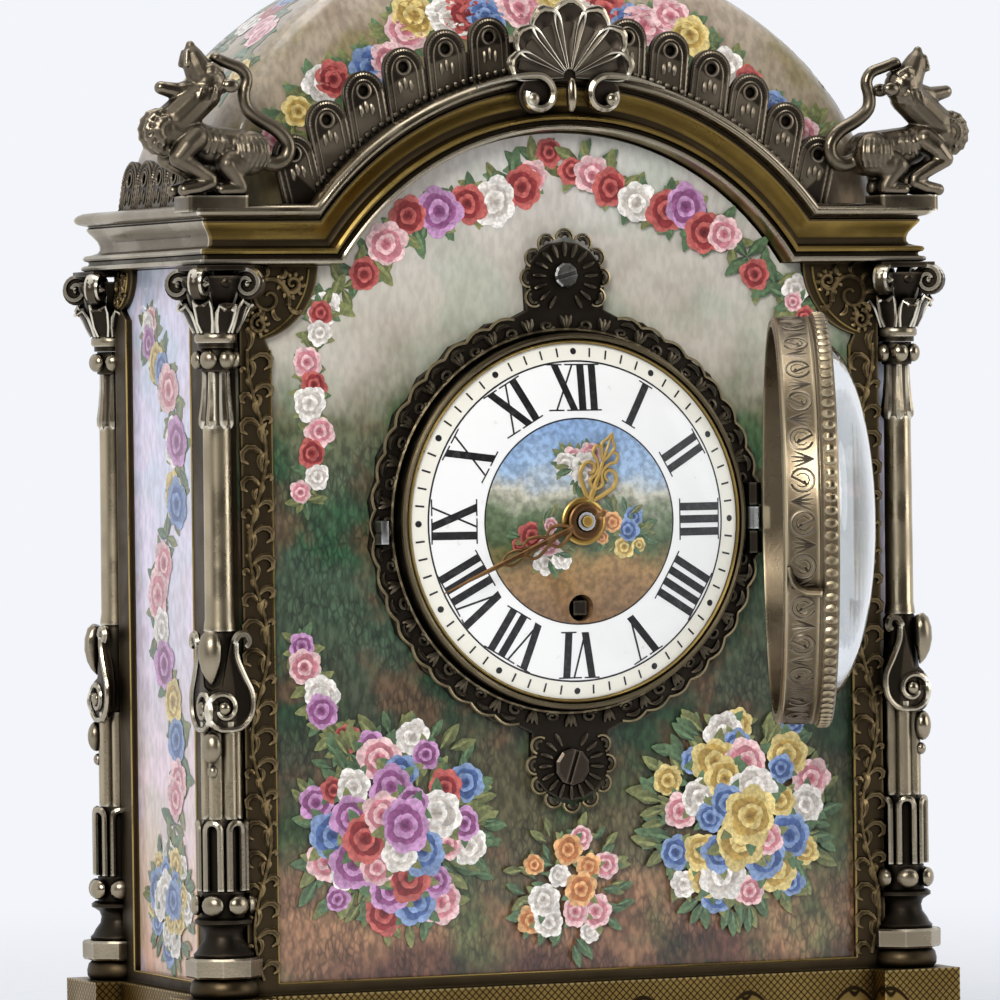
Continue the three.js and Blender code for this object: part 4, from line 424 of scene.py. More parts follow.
@dataclass(frozen=True)
class DialWhite(Finish):
    """White dial enamel: a painted centre, a cream minute ring, fine specks and a soft gloss."""

    name: str = "white dial enamel"
    centre: float = 13.0
    stops: tuple[tuple[float, Shade], ...] = (
        (0.0, (122, 92, 62)), (0.18, (150, 118, 74)), (0.36, (72, 88, 54)), (0.55, (98, 112, 84)),
        (0.68, (182, 178, 160)), (0.84, (150, 174, 200)), (1.0, (128, 156, 192)),
    )

    def lay(self, graph: Graph, shader: Node) -> None:
        """Lays the white, the cream ring, the specks and the painted centre."""
        where = graph.place()
        axes = graph.axes(where)
        up = graph.math("SUBTRACT", axes["Z"], LAYOUT.dial_z * MM)
        radius = graph.length(graph.add("ShaderNodeCombineXYZ", {"X": axes["X"], "Z": up}).outputs[0])
        ring = graph.spread(radius, 20.2 * MM, 20.6 * MM)
        speck = graph.clouds(where, 700.0, 4.0, 0.66, 0.74, 0.0, 0.35)
        white = graph.blend(ring, tint(232, 231, 228), tint(226, 222, 208))
        white = graph.blend(speck, white, tint(198, 188, 170))
        drift = graph.times(graph.math("SUBTRACT", graph.noise(where, 190.0, 5.0), 0.5), 9.0 * MM)
        level = graph.spread(graph.math("ADD", up, drift), -self.centre * MM, self.centre * MM)
        dabs = graph.clouds(where, 1300.0, 3.0, 0.3, 0.7, 0.68, 1.25)
        scene = graph.blend(1.0, graph.ramp(level, self.stops), dabs, "MULTIPLY")
        inside = graph.spread(radius, self.centre * MM, (self.centre + 0.12) * MM, 1.0, 0.0)
        graph.feed(shader.inputs["Base Color"], graph.blend(inside, white, scene))
        graph.fix(shader, {"Roughness": 0.3, "Coat Weight": 0.5, "Coat Roughness": 0.08})
        graph.bump(shader, graph.noise(where, 300.0), 0.06, 0.2)


@dataclass(frozen=True)
class Ink(Finish):
    """Dark fired paint of the numerals and lines, slightly uneven in tone."""

    dark: Colour
    thin: Colour

    def lay(self, graph: Graph, shader: Node) -> None:
        """Lays the dark paint with its thin patches."""
        wear = graph.clouds(graph.place(), 1400.0, 3.0, 0.45, 0.8)
        graph.feed(shader.inputs["Base Color"], graph.blend(wear, self.dark, self.thin))
        graph.fix(shader, {"Roughness": 0.35})


@dataclass(frozen=True)
class Glass(Finish):
    """Old clear glass with the faintest waves."""

    name: str = "domed glass"

    def lay(self, graph: Graph, shader: Node) -> None:
        """Lays a clear glass with a trace of haze."""
        graph.fix(shader, {"Transmission Weight": 1.0, "IOR": 1.46})
        where = graph.place()
        graph.feed(shader.inputs["Roughness"], graph.clouds(where, 90.0, 3.0, 0.4, 0.7, 0.0, 0.05))
        shade = graph.clouds(where, 60.0, 2.0, 0.3, 0.7)
        graph.feed(shader.inputs["Base Color"], graph.blend(shade, tint(244, 248, 250), tint(250, 252, 253)))
        graph.bump(shader, graph.noise(where, 40.0, 1.0), 0.05, 0.3)


def metal(name: str, bright: Shade, body: Shade, hollow: Shade, **more: Any) -> Material:
    """Returns a metal's material from its three colours; more are the values of Metal."""
    return Metal(name, tint(*bright), tint(*body), tint(*hollow), **more).make()


SILVER = metal("worn silver", (240, 232, 212), (164, 151, 128), (18, 14, 10), roughness=0.24, worn=0.85)
BEAST = metal(
    "cast silver", (226, 214, 188), (120, 109, 92), (10, 8, 6), roughness=0.3, reach=2.2, worn=0.9
)
SHAFT = metal("champagne silver", (242, 232, 208), (186, 171, 143), (38, 30, 22), roughness=0.26)
GILT = metal("olive gilt", (205, 178, 112), (136, 112, 58), (34, 25, 14), roughness=0.3, worn=0.6)
DARK = metal(
    "oxidised silver", (138, 126, 110), (76, 67, 58), (16, 13, 11), roughness=0.42, reach=1.6, worn=0.7
)
VINE = metal(
    "dark frame metal", (158, 136, 96), (76, 64, 46), (12, 9, 7), roughness=0.42, reach=1.4, worn=0.75
)
SEAT = metal(
    "black seat metal", (112, 102, 84), (54, 48, 41), (12, 10, 8), roughness=0.4, reach=1.4, worn=0.6
)
SEAT_EDGE = metal("worn seat edge", (168, 152, 118), (96, 85, 66), (14, 11, 9), roughness=0.36, worn=0.7)
GALLERY = metal("pierced dark silver", (142, 130, 112), (64, 57, 49), (11, 9, 7), roughness=0.36, worn=0.7)
# painted shade: a darker copy of the silver for parts that lie in shade, such as the columns' cores and the
# capitals' tops, and the gallery's holes
SHADE_METAL = metal("shadowed metal", (104, 92, 76), (50, 44, 36), (9, 7, 6), roughness=0.36, worn=0.6)
PLINTH = metal(
    "engraved gilt", (214, 190, 130), (150, 124, 70), (46, 35, 22), roughness=0.34, worn=0.6,
    pattern=engraved_band,
)
BRASS = metal("lacquered brass", (226, 190, 116), (184, 142, 70), (60, 42, 18), roughness=0.3)
HAND_GILT = metal("hand gilt", (232, 200, 128), (196, 154, 78), (70, 48, 20), roughness=0.28, worn=0.5)
HAND_BROWN = metal("browned hand", (150, 112, 74), (104, 74, 48), (34, 22, 14), roughness=0.36)
STEEL = metal("bright steel", (226, 226, 224), (168, 166, 162), (46, 44, 42), roughness=0.24)
DOOR_SILVER = metal(
    "engraved door silver", (196, 180, 148), (118, 104, 83), (24, 19, 14), roughness=0.32, reach=1.2
)
FRONT_ENAMEL = Enamel(
    "front enamel",
    (
        (0.0, (84, 54, 44)), (0.07, (150, 112, 82)), (0.16, (92, 84, 58)), (0.3, (62, 66, 50)),
        (0.5, (62, 82, 62)), (0.66, (96, 98, 72)), (0.78, (178, 170, 156)), (1.0, (194, 189, 182)),
    ),
    22.0, 131.0, (92, 170, 140), (104, 72, 52), sway=0.19, stipple=0.75, sky=0.7, leaves=0.85,
).make()
SIDE_ENAMEL = Enamel(
    "side enamel",
    (
        (0.0, (196, 160, 132)), (0.14, (206, 186, 160)), (0.4, (206, 196, 206)), (0.7, (200, 204, 220)),
        (1.0, (186, 196, 212)),
    ),
    22.0, 114.0, (220, 200, 214), (206, 190, 200), stipple=0.25,
).make()
DOME_ENAMEL = Enamel(
    "dome enamel",
    ((0.0, (118, 104, 84)), (0.4, (142, 128, 108)), (1.0, (166, 152, 136))),
    120.0, 156.0, (150, 150, 110), (128, 110, 92), stipple=0.35,
).make()
PETALS = Paint("painted petals").make()
DIAL_WHITE = DialWhite().make()
NUMERAL_INK = Ink("numeral black", tint(20, 19, 21), tint(58, 55, 56)).make()
GLASS = Glass().make()


class Shape:
    """A mesh in the making, in millimetres, put together with bmesh operators."""

    def __init__(self) -> None:
        """Starts empty."""
        self.bm = bmesh.new()

    def take(self, part: BMesh, place: Matrix | None = None, finish: int | None = 0) -> None:
        """Adds a finished part and lets go of it.

        Args:
            part: the mesh to add.
            place: where it goes.
            finish: the number of its finish, or None where its faces have their own.
        """
        if place is not None:
            bmesh.ops.transform(part, matrix=place, verts=part.verts)
        bmesh.ops.recalc_face_normals(part, faces=part.faces)
        for face in part.faces:
            face.smooth = True
            if finish is not None:
                face.material_index = finish
        mesh = bpy.data.meshes.new("part")
        part.to_mesh(mesh)
        part.free()
        self.bm.from_mesh(mesh)
        bpy.data.meshes.remove(mesh)

    def stamp(self, other: "Shape", places: Iterable[Matrix]) -> None:
        """Adds copies of another shape, one at each place."""
        mesh = bpy.data.meshes.new("stamp")
        other.bm.to_mesh(mesh)
        other.bm.free()
        for place in places:
            part = bmesh.new()
            part.from_mesh(mesh)
            self.take(part, place, None)
        bpy.data.meshes.remove(mesh)

    def turned(
        self, profile: Sequence[Point], steps: int = 40, place: Matrix | None = None, finish: int = MAIN
    ) -> None:
        """Adds a turned piece from (radius, height) points round the upright axis."""
        part = bmesh.new()
        verts = [part.verts.new((radius, 0.0, height)) for radius, height in profile]
        edges = [part.edges.new(pair) for pair in zip(verts, verts[1:])]
        spin_round(part, verts + edges, UP, steps)
        bmesh.ops.remove_doubles(part, verts=part.verts, dist=1e-4)
        self.take(part, place, finish)

    def sweep(
        self,
        rings: Sequence[Sequence[Vector]],
        closed: bool = False,
        bands: dict[int, int] | None = None,
        place: Matrix | None = None,
        finish: int = MAIN,
    ) -> None:
        """Carries a closed section from ring to ring by extruding its edges.

        Args:
            rings: where the section's points stand at each station.
            closed: whether the last ring joins the first.
            bands: finishes by number of the section's segment.
            place: where the piece goes.
            finish: the finish of the other segments.
        """
        part = bmesh.new()
        verts = [part.verts.new(point) for point in rings[0]]
        edges = [part.edges.new(pair) for pair in zip(verts, verts[1:] + verts[:1])]
        first = list(edges)
        last = len(verts) - 1
        for ring in rings[1:]:
            made = bmesh.ops.extrude_edge_only(part, edges=edges)["geom"]
            order = {vert: number for number, vert in enumerate(verts)}
            fresh: list[BMVert] = list(verts)
            for item in made:
                if isinstance(item, BMVert):
                    root = next(e.other_vert(item) for e in item.link_edges if e.other_vert(item) in order)
                    fresh[order[root]] = item
                    item.co = ring[order[root]]
                elif isinstance(item, BMFace):
                    ends = sorted(order[vert] for vert in item.verts if vert in order)
                    segment = last if ends == [0, last] and last > 1 else ends[0]
                    item.material_index = (bands or {}).get(segment, finish)
            verts = fresh
            edges = [part.edges.get(pair) for pair in zip(verts, verts[1:] + verts[:1])]
        if closed:
            for face in bmesh.ops.bridge_loops(part, edges=first + edges)["faces"]:
                face.material_index = finish
        else:
            for loop in (first, edges):
                for face in bmesh.ops.edgeloop_fill(part, edges=loop)["faces"]:
                    face.material_index = finish
        self.take(part, place, None)

    def tube(
        self,
        points: Sequence[Sequence[float]],
        radius: float | Sequence[float],
        sides: int = 8,
        across: Sequence[float] = (0.0, 1.0, 0.0),
        flat: float = 1.0,
        closed: bool = False,
        place: Matrix | None = None,
        finish: int = MAIN,
    ) -> None:
        """Adds a rod along points.

        Args:
            points: the middle line.
            radius: one radius, or one for each point.
            sides: sides of the section.
            across: a direction roughly square to the line, kept along it.
            flat: thickness along that direction as a share of the width.
            closed: whether the line is a loop.
            place: where the piece goes.
            finish: the number of its finish.
        """
        line = [Vector(point) for point in points]
        count = len(line)
        radii = [radius] * count if isinstance(radius, (int, float)) else list(radius)
        axis = Vector(across).normalized()
        rings = []
        for number, point in enumerate(line):
            before = line[number - 1] if number or closed else point
            after = line[(number + 1) % count] if number + 1 < count or closed else point
            run = (after - before).normalized()
            side = run.cross(axis).normalized()
            lift = side.cross(run).normalized()
            ring = []
            for step in range(sides):
                angle = math.tau * step / sides
                ring.append(point + radii[number] * (side * math.cos(angle) + lift * math.sin(angle) * flat))
            rings.append(ring)
        self.sweep(rings, closed=closed, place=place, finish=finish)

    def ball(
        self,
        centre: Sequence[float],
        size: Sequence[float],
        steps: int = 12,
        place: Matrix | None = None,
        finish: int = MAIN,
    ) -> None:
        """Adds an oval bead of three half sizes."""
        part = bmesh.new()
        spot = Matrix.Translation(centre) @ sized(*size)
        rows = max(4, steps * 2 // 3)
        bmesh.ops.create_uvsphere(part, u_segments=steps, v_segments=rows, radius=1.0, matrix=spot)
        self.take(part, place, finish)

    def plate(
        self,
        outline: Sequence[Point],
        front: float,
        thickness: float,
        bevel: float = 0.0,
        place: Matrix | None = None,
        finish: int = MAIN,
    ) -> None:
        """Adds a flat plate that faces forwards.

        Args:
            outline: points across and up.
            front: y of its front face.
            thickness: how far it goes back.
            bevel: width of the rounding along its front edge.
            place: where the piece goes.
            finish: the number of its finish.
        """
        part = bmesh.new()
        face = part.faces.new([part.verts.new((x, front + thickness, z)) for x, z in outline])
        made = bmesh.ops.extrude_face_region(part, geom=[face])["geom"]
        fresh = [item for item in made if isinstance(item, BMVert)]
        bmesh.ops.translate(part, vec=(0.0, -thickness, 0.0), verts=fresh)
        if bevel:
            chosen = set(fresh)
            edges = [edge for edge in part.edges if edge.verts[0] in chosen and edge.verts[1] in chosen]
            rounding = {"offset": bevel, "offset_type": "OFFSET", "segments": 2, "profile": 0.5}
            bmesh.ops.bevel(part, geom=edges, affect="EDGES", material=-1, **rounding)
        self.take(part, place, finish)

    def pierced(
        self, outline: Sequence[Point], hole: Sequence[Point], front: float, thickness: float
    ) -> None:
        """Adds a flat plate with one hole, bridged between two loops of as many points."""
        part = bmesh.new()
        edges = []
        for loop in (outline, hole):
            verts = [part.verts.new((x, front + thickness, z)) for x, z in loop]
            edges += [part.edges.new(pair) for pair in zip(verts, verts[1:] + verts[:1])]
        faces = bmesh.ops.bridge_loops(part, edges=edges)["faces"]
        made = bmesh.ops.extrude_face_region(part, geom=faces)["geom"]
        fresh = [item for item in made if isinstance(item, BMVert)]
        bmesh.ops.translate(part, vec=(0.0, -thickness, 0.0), verts=fresh)
        self.take(part)

    def mesh(self, name: str, scale: float = MM) -> Mesh:
        """Returns the shape as a mesh in metres."""
        bmesh.ops.scale(self.bm, vec=(scale, scale, scale), verts=self.bm.verts)
        mesh = bpy.data.meshes.new(name)
        self.bm.to_mesh(mesh)
        self.bm.free()
        return mesh

    def piece(self, name: str, *details: Any, **more: Any) -> Object:
        """Turns the shape into a piece of the clock and returns it; the details are those of place_piece."""
        return place_piece(self.mesh(name), name, *details, **more)


def spin_round(part: BMesh, geom: Sequence[Any], axis: Vector, steps: int) -> None:
    """Turns a line once round an axis through the origin."""
    bmesh.ops.spin(part, geom=geom, cent=(0, 0, 0), axis=axis, angle=math.tau, steps=steps, use_merge=True)


def place_piece(
    mesh: Mesh,
    name: str,
    finishes: Sequence[Material],
    slot: Slot,
    body: str = "case",
    replaces: Sequence[str] = (),
    sharp: float = 38.0,
) -> Object:
    """Makes an object of a mesh, gives it its finishes and joins it to its body.

    Args:
        mesh: the piece's mesh, in metres.
        name: the piece's name.
        finishes: its materials, in the order of the faces' numbers.
        slot: the record's slot; not used.
        body: the CAD body it moves with.
        replaces: the CAD nodes it stands for.
        sharp: the angle in degrees above which an edge shades as a corner.

    Returns:
        The new object.
    """
    mesh.set_sharp_from_angle(angle=math.radians(sharp))
    for material in finishes:
        mesh.materials.append(material)
    piece = bpy.data.objects.new(name, mesh)
    bpy.context.scene.collection.objects.link(piece)
    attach(piece, body)
    if replaces:
        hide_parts(*replaces)
    LOG.info("%s: %d faces on %s", name, len(mesh.polygons), body)
    return piece


def scratch_object(shape: Shape, name: str) -> Object:
    """Stands a shape in the scene for a while, so that modifiers can work on it."""
    scratch = bpy.data.objects.new(name, shape.mesh(name))
    bpy.context.scene.collection.objects.link(scratch)
    return scratch


def settled_mesh(scratch: Object) -> Mesh:
    """Returns an object's mesh with its modifiers applied."""
    return bpy.data.meshes.new_from_object(scratch.evaluated_get(bpy.context.evaluated_depsgraph_get()))


def dress(material: Material, *nodes: str) -> None:
    """Gives carried-over CAD nodes a finish."""
    for name in nodes:
        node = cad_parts[name]
        node.data.materials.clear()
        node.data.materials.append(material)
        LOG.info("%s: CAD shape, %s", name, material.name)


def arc(centre: Point, radius: float, start: float, end: float, steps: int) -> list[Point]:
    """Returns points of an arc between two angles in degrees."""
    angles = [math.radians(start + (end - start) * step / steps) for step in range(steps + 1)]
    return [(centre[0] + radius * math.cos(a), centre[1] + radius * math.sin(a)) for a in angles]


def curl(centre: Point, outer: float, inner: float, start: float, sweep: float, steps: int) -> list[Point]:
    """Returns points of a spiral from its outer radius inwards, by angles in degrees."""
    points = []
    for step in range(steps + 1):
        share = step / steps
        radius = outer + (inner - outer) * share
        angle = math.radians(start + sweep * share)
        points.append((centre[0] + radius * math.cos(angle), centre[1] + radius * math.sin(angle)))
    return points


def smooth_line(points: Sequence[Point], steps: int = 5) -> list[Point]:
    """Returns a smooth line through points across and up."""
    line = []
    ends = [points[0], *points, points[-1]]
    for number in range(1, len(ends) - 2):
        a, b, c, d = (Vector(p) for p in ends[number - 1:number + 3])
        for step in range(steps):
            t = step / steps
            p = b + 0.5 * t * (c - a + t * (2 * a - 5 * b + 4 * c - d + t * (3 * (b - c) + d - a)))
            line.append((p.x, p.y))
    line.append(tuple(points[-1]))
    return line


def facing(points: Sequence[Point], y: float) -> list[Vector]:
    """Stands flat points up at one depth."""
    return [Vector((x, y, z)) for x, z in points]


def rounded_corners(middle: Point, half_x: float, half_y: float, radius: float, steps: int) -> list[Point]:
    """Returns a rectangle with rounded corners, by where the corners' centres lie from its middle."""
    outline = []
    for quarter, (side_x, side_y) in enumerate(((1, 1), (-1, 1), (-1, -1), (1, -1))):
        centre = (middle[0] + side_x * half_x, middle[1] + side_y * half_y)
        outline += arc(centre, radius, 90.0 * quarter, 90.0 * quarter + 90.0, steps)
    return outline


CORNERS = {"front_left": (-1, -1), "front_right": (1, -1), "back_left": (-1, 1), "back_right": (1, 1)}


def corner_ring(section: Sequence[Point], side_x: int, side_y: int) -> list[Vector]:
    """Stands a section of (overhang, height) points on the mitre of one corner."""
    half_x, half_y = LAYOUT.half_x, LAYOUT.half_y
    return [Vector((side_x * (half_x + out), side_y * (half_y + out), height)) for out, height in section]


@dataclass
class Base:
    """The moulded base, the engraved plinth and the plate below."""

    section: tuple[Point, ...] = (
        (6.25, 0.0), (8.1, 0.0), (8.5, 0.4), (8.5, 2.6), (8.2, 2.95), (7.7, 3.1), (7.6, 3.6), (7.1, 4.4),
        (6.2, 5.3), (5.1, 6.1), (4.2, 7.0), (3.9, 7.7), (4.3, 8.0), (4.5, 8.6), (4.3, 9.2), (3.7, 9.6),
        (3.0, 9.98), (-2.0, 9.98), (-2.0, 2.1), (6.25, 2.1),
    )

    def build(self) -> None:
        """Makes the moulding and dresses the solids beside it."""
        shape = Shape()
        rings = [corner_ring(self.section, *sides) for sides in ((-1, -1), (1, -1), (1, 1), (-1, 1))]
        shape.sweep(rings, closed=True)
        shape.piece("moulded_base", [SILVER], Slot.SILVER, replaces=["base_moulding"])
        dress(SILVER, "bottom_plate")
        dress(PLINTH, "plinth")


@dataclass
class Columns:
    """The four turned columns with their scroll collars and capitals, made once and mirrored."""

    outward: float = -135.0
    shaft_radius: float = 1.75
    reed_radius: float = 0.98
    reed_circle: float = 1.6
    reed_length: float = 12.2
    sleeve_radius: float = 3.0
    bead_circle: float = 3.3
    neck_bead_circle: float = 2.3
    collar_front: float = -2.4
    volute_eye: Point = (4.7, 111.2)

    def around(self, count: int) -> list[tuple[float, Vector]]:
        """Returns angles and directions evenly round the axis, the first on the outward diagonal."""
        angles = [math.radians(self.outward + 360.0 * number / count) for number in range(count)]
        return [(angle, bearing(angle)) for angle in angles]

    def beads(self, shape: Shape, circle: float, height: float, size: Sequence[float]) -> None:
        """Adds a row of six oval beads."""
        for angle, out in self.around(6):
            place = Matrix.Translation(out * circle + UP * height) @ Matrix.Rotation(angle, 4, "Z")
            shape.ball((0, 0, 0), size, 12, place)

    def foot(self, shape: Shape) -> None:
        """Adds the torus, the octagonal disc, the spool and the lower row of beads."""
        torus = [(0, 22.05), (3.9, 22.05), (4.25, 22.5), (4.3, 23.2), (4.1, 24.0), (3.5, 24.6), (0, 24.6)]
        shape.turned(torus, 32, finish=FOURTH)
        disc = [(0, 24.6), (4.6, 24.6), (4.82, 24.85), (4.85, 26.85), (4.6, 27.1), (0, 27.1)]
        shape.turned(disc, 8, turned_by(22.5, "Z"))
        spool = [
            (0, 27.1), (3.7, 27.1), (3.8, 27.5), (3.4, 27.9), (3.1, 28.5), (2.5, 29.3), (2.35, 30.1),
            (2.6, 30.8), (3.2, 31.2), (3.6, 31.4), (3.6, 31.8), (3.2, 32.1), (0, 32.1),
        ]
        shape.turned(spool, 32, finish=THIRD)
        shape.turned([(0, 32.1), (2.75, 32.1), (2.75, 35.3), (0, 35.3)], 24, finish=THIRD)
        self.beads(shape, self.bead_circle, 33.7, (0.85, 1.45, 1.3))

    def sleeve(self, shape: Shape) -> None:
        """Adds the sleeve of round-headed loops and the reeded lower shaft."""
        core = [(0, 35.3), (2.55, 35.3), (2.55, 43.0), (2.3, 44.4), (1.6, 45.2), (0, 45.2)]
        shape.turned(core, 24, finish=THIRD)
        loop = [(-1.0, 35.5), (-1.0, 39.0), (-1.0, 42.6), *arc((0, 43.0), 1.0, 170, 10, 6), (1.0, 42.6)]
        loop += [(1.0, 39.0), (1.0, 35.5)]
        for angle, out in self.around(6):
            reach = self.sleeve_radius
            points = [bearing(angle + along / reach) * reach + UP * height for along, height in loop]
            shape.tube(points, 0.42, 8, out)
        shape.turned([(0, 44.7), (1.7, 44.7), (1.7, 57.0), (0, 57.0)], 20, finish=THIRD)
        for _, out in self.around(6):
            foot = out * self.reed_circle + UP * 44.4
            top = foot + UP * self.reed_length
            shape.tube([foot, (foot + top) / 2, top], self.reed_radius, 10, out, finish=SECOND)

    def collar(self, shape: Shape) -> None:
        """Adds the pair of scroll plates, the leaf and the two beads on the diagonal."""
        core = [
            (0, 55.8), (2.0, 55.8), (2.4, 57.0), (2.3, 61.0), (2.1, 65.0), (2.2, 67.2), (1.8, 67.9), (0, 67.9)
        ]
        shape.turned(core, 24, finish=THIRD)
        hook = smooth_line([(0.9, 66.3), (1.5, 67.3), (2.5, 67.4), (2.9, 66.5), (2.4, 65.9)], 4)
        girths = [0.35, *[0.5] * (len(hook) - 2), 0.35]
        stem = [(1.2, 66.4), (1.3, 64.6), (2.3, 62.2), (3.3, 60.0), (3.1, 57.4), (1.6, 55.8), (-0.6, 55.6)]
        line = smooth_line(stem, 4) + curl((-0.55, 58.2), 2.6, 0.8, -100.0, -420.0, 22)
        blade = [
            (0.6, 66.8), (1.5, 66.0), (1.6, 64.4), (2.6, 62.2), (3.2, 59.8), (2.9, 57.4), (1.4, 56.0),
            (-0.6, 55.8), (-2.4, 56.8), (-2.9, 58.6), (-2.0, 60.4), (-0.6, 61.0),
        ]
        swap = Matrix(((0, 1, 0, 0), (1, 0, 0, 0), (0, 0, 1, 0), (0, 0, 0, 1)))
        front = self.collar_front
        for place in (None, swap):
            shape.plate(blade, front, 1.0, 0.0, place, THIRD)
            shape.tube(facing(line, front - 0.1), 0.38, 8, place=place)
            shape.tube(facing(hook, front - 0.1), girths, 6, place=place)
            shape.ball((-0.5, front - 0.2, 58.3), (0.85, 0.65, 0.85), 12, place)
        across = bearing(math.radians(self.outward))
        heights = (67.8, 67.2, 66.0, 64.6, 63.2, 62.2, 61.4)
        swells = [2.7 + 0.5 * math.sin(math.pi * number / 6) for number in range(7)]
        leaf = [across * swell + UP * height for swell, height in zip(swells, heights)]
        shape.tube(leaf, [0.75, 1.25, 1.5, 1.48, 1.15, 0.7, 0.15], 12, across, 0.75)
        turn = turned_by(self.outward, "Z")
        shape.ball((2.95, 0, 53.4), (1.1, 1.35, 1.95), 14, turn)
        shape.ball((2.7, 0, 50.4), (0.65, 0.7, 0.8), 10, turn)

    def neck(self, shape: Shape) -> None:
        """Adds the plain shaft, the hanging flutes and the upper row of beads."""
        radius = self.shaft_radius
        shaft = [(0, 67.9), (2.0, 67.9), (1.95, 68.6), (radius + 0.08, 69.4), (radius, 94.0), (0, 94.0)]
        shape.turned(shaft, 28, finish=SECOND)
        shape.turned([(0, 93.6), (1.8, 93.6), (1.5, 96.5), (1.35, 100.4), (0, 100.4)], 20, finish=THIRD)
        flute = [(1.3, 100.5), (1.3, 98.5), (1.4, 96.2), (1.55, 94.4), (1.55, 93.7), (1.5, 93.2)]
        for _, out in self.around(6):
            points = [out * reach + UP * height for reach, height in flute]
            shape.tube(points, [0.45, 0.5, 0.6, 0.72, 0.7, 0.4], 8, out)
        core = [(0, 100.3), (1.9, 100.3), (2.1, 101.0), (2.1, 102.6), (1.9, 103.2), (0, 103.2)]
        shape.turned(core, 24, finish=THIRD)
        self.beads(shape, self.neck_bead_circle, 101.8, (0.85, 1.15, 1.2))

    def leaves(self, shape: Shape) -> None:
        """Adds the capital's eight leaves with their bright edges."""
        widths = (0.8, 1.15, 1.3, 1.1, 0.55)
        for number, (_, out) in enumerate(self.around(8)):
            side = Vector((-out.y, out.x, 0.0))
            rise = 0.0 if number % 2 else 0.6
            path = [
                (2.3, 105.2), (2.85, 106.4), (3.4, 107.6 + rise), (4.1, 108.5 + rise), (4.6, 107.9 + rise)
            ]
            shape.tube([out * r + UP * h for r, h in path], widths, 8, out, 0.35, finish=THIRD)
            for edge in (-0.9, 0.9):
                points = [out * (r + 0.22) + side * edge * w + UP * h for (r, h), w in zip(path, widths)]
                shape.tube(points, 0.25, 6, out)

    def volutes(self, shape: Shape) -> None:
        """Adds the capital's four volutes and the boss between each two."""
        reach, height = self.volute_eye
        strap = smooth_line([(2.6, 107.0), (2.9, 108.6), (3.4, 110.4)], 3)[:-1]
        line = strap + curl(self.volute_eye, 2.0, 0.55, 165.0, -500.0, 26)
        for quarter in range(4):
            turn = turned_by(self.outward + 90.0 * quarter, "Z")
            shape.tube([(r, 0, h) for r, h in line], 0.42, 6, (0, 1, 0), 2.5, place=turn)
            shape.ball((reach, 0, height), (0.6, 1.3, 0.6), 10, turn)
            shape.plate(arc(self.volute_eye, 1.95, 0, 340, 18), -0.55, 1.1, 0.0, turn, THIRD)
        for quarter in range(4):
            shape.ball((0, -3.9, 111.4), (0.8, 0.5, 0.7), 10, turned_by(90.0 * quarter, "Z"), THIRD)

    def capital(self, shape: Shape) -> None:
        """Adds the necking, the bell, the leaves, the volutes and the abacus."""
        shape.turned([(0, 103.25), (2.3, 103.25), (2.3, 104.0), (0, 104.0)], 24, finish=THIRD)
        necking = [(0, 103.9), (2.5, 103.9), (2.7, 104.2), (2.7, 104.8), (2.5, 105.1), (0, 105.1)]
        shape.turned(necking, 28)
        bell = [(0, 105.1), (2.0, 105.1), (2.3, 106.5), (2.8, 108.5), (3.6, 110.5), (4.2, 112.2), (0, 112.2)]
        shape.turned(bell, 28, finish=THIRD)
        self.leaves(shape)
        self.volutes(shape)
        abacus = []
        for quarter in range(4):
            for angle, reach in ((-45, 5.4), (-38, 4.9), (-20, 4.3), (0, 4.1), (20, 4.3), (38, 4.9)):
                turn = math.radians(angle + 90.0 * quarter)
                abacus.append((reach * math.cos(turn), reach * math.sin(turn)))
        shape.plate(abacus, 112.9, 0.65, 0.0, LAID_FLAT, THIRD)

    def build(self) -> None:
        """Makes one column and one capital, and mirrors them to the four corners."""
        column = Shape()
        for step in (self.foot, self.sleeve, self.collar, self.neck):
            step(column)
        capital = Shape()
        self.capital(capital)
        # the third finish is painted shade: the cores, the bell, the leaves' blades, the volute discs and the
        # abacus in darker metal
        finishes = [SILVER, SHAFT, SHADE_METAL, VINE]
        for label, shape in (("column", column), ("capital", capital)):
            template = shape.mesh(label, 1.0)
            for corner, (side_x, side_y) in CORNERS.items():
                part = bmesh.new()
                part.from_mesh(template)
                made = Shape()
                place = moved(side_x * LAYOUT.half_x, side_y * LAYOUT.half_y, 0)
                made.take(part, place @ sized(-side_x, -side_y, 1), None)
                made.piece(f"turned_{label}_{corner}", finishes, Slot.SILVER, replaces=[f"{label}_{corner}"])
            bpy.data.meshes.remove(template)


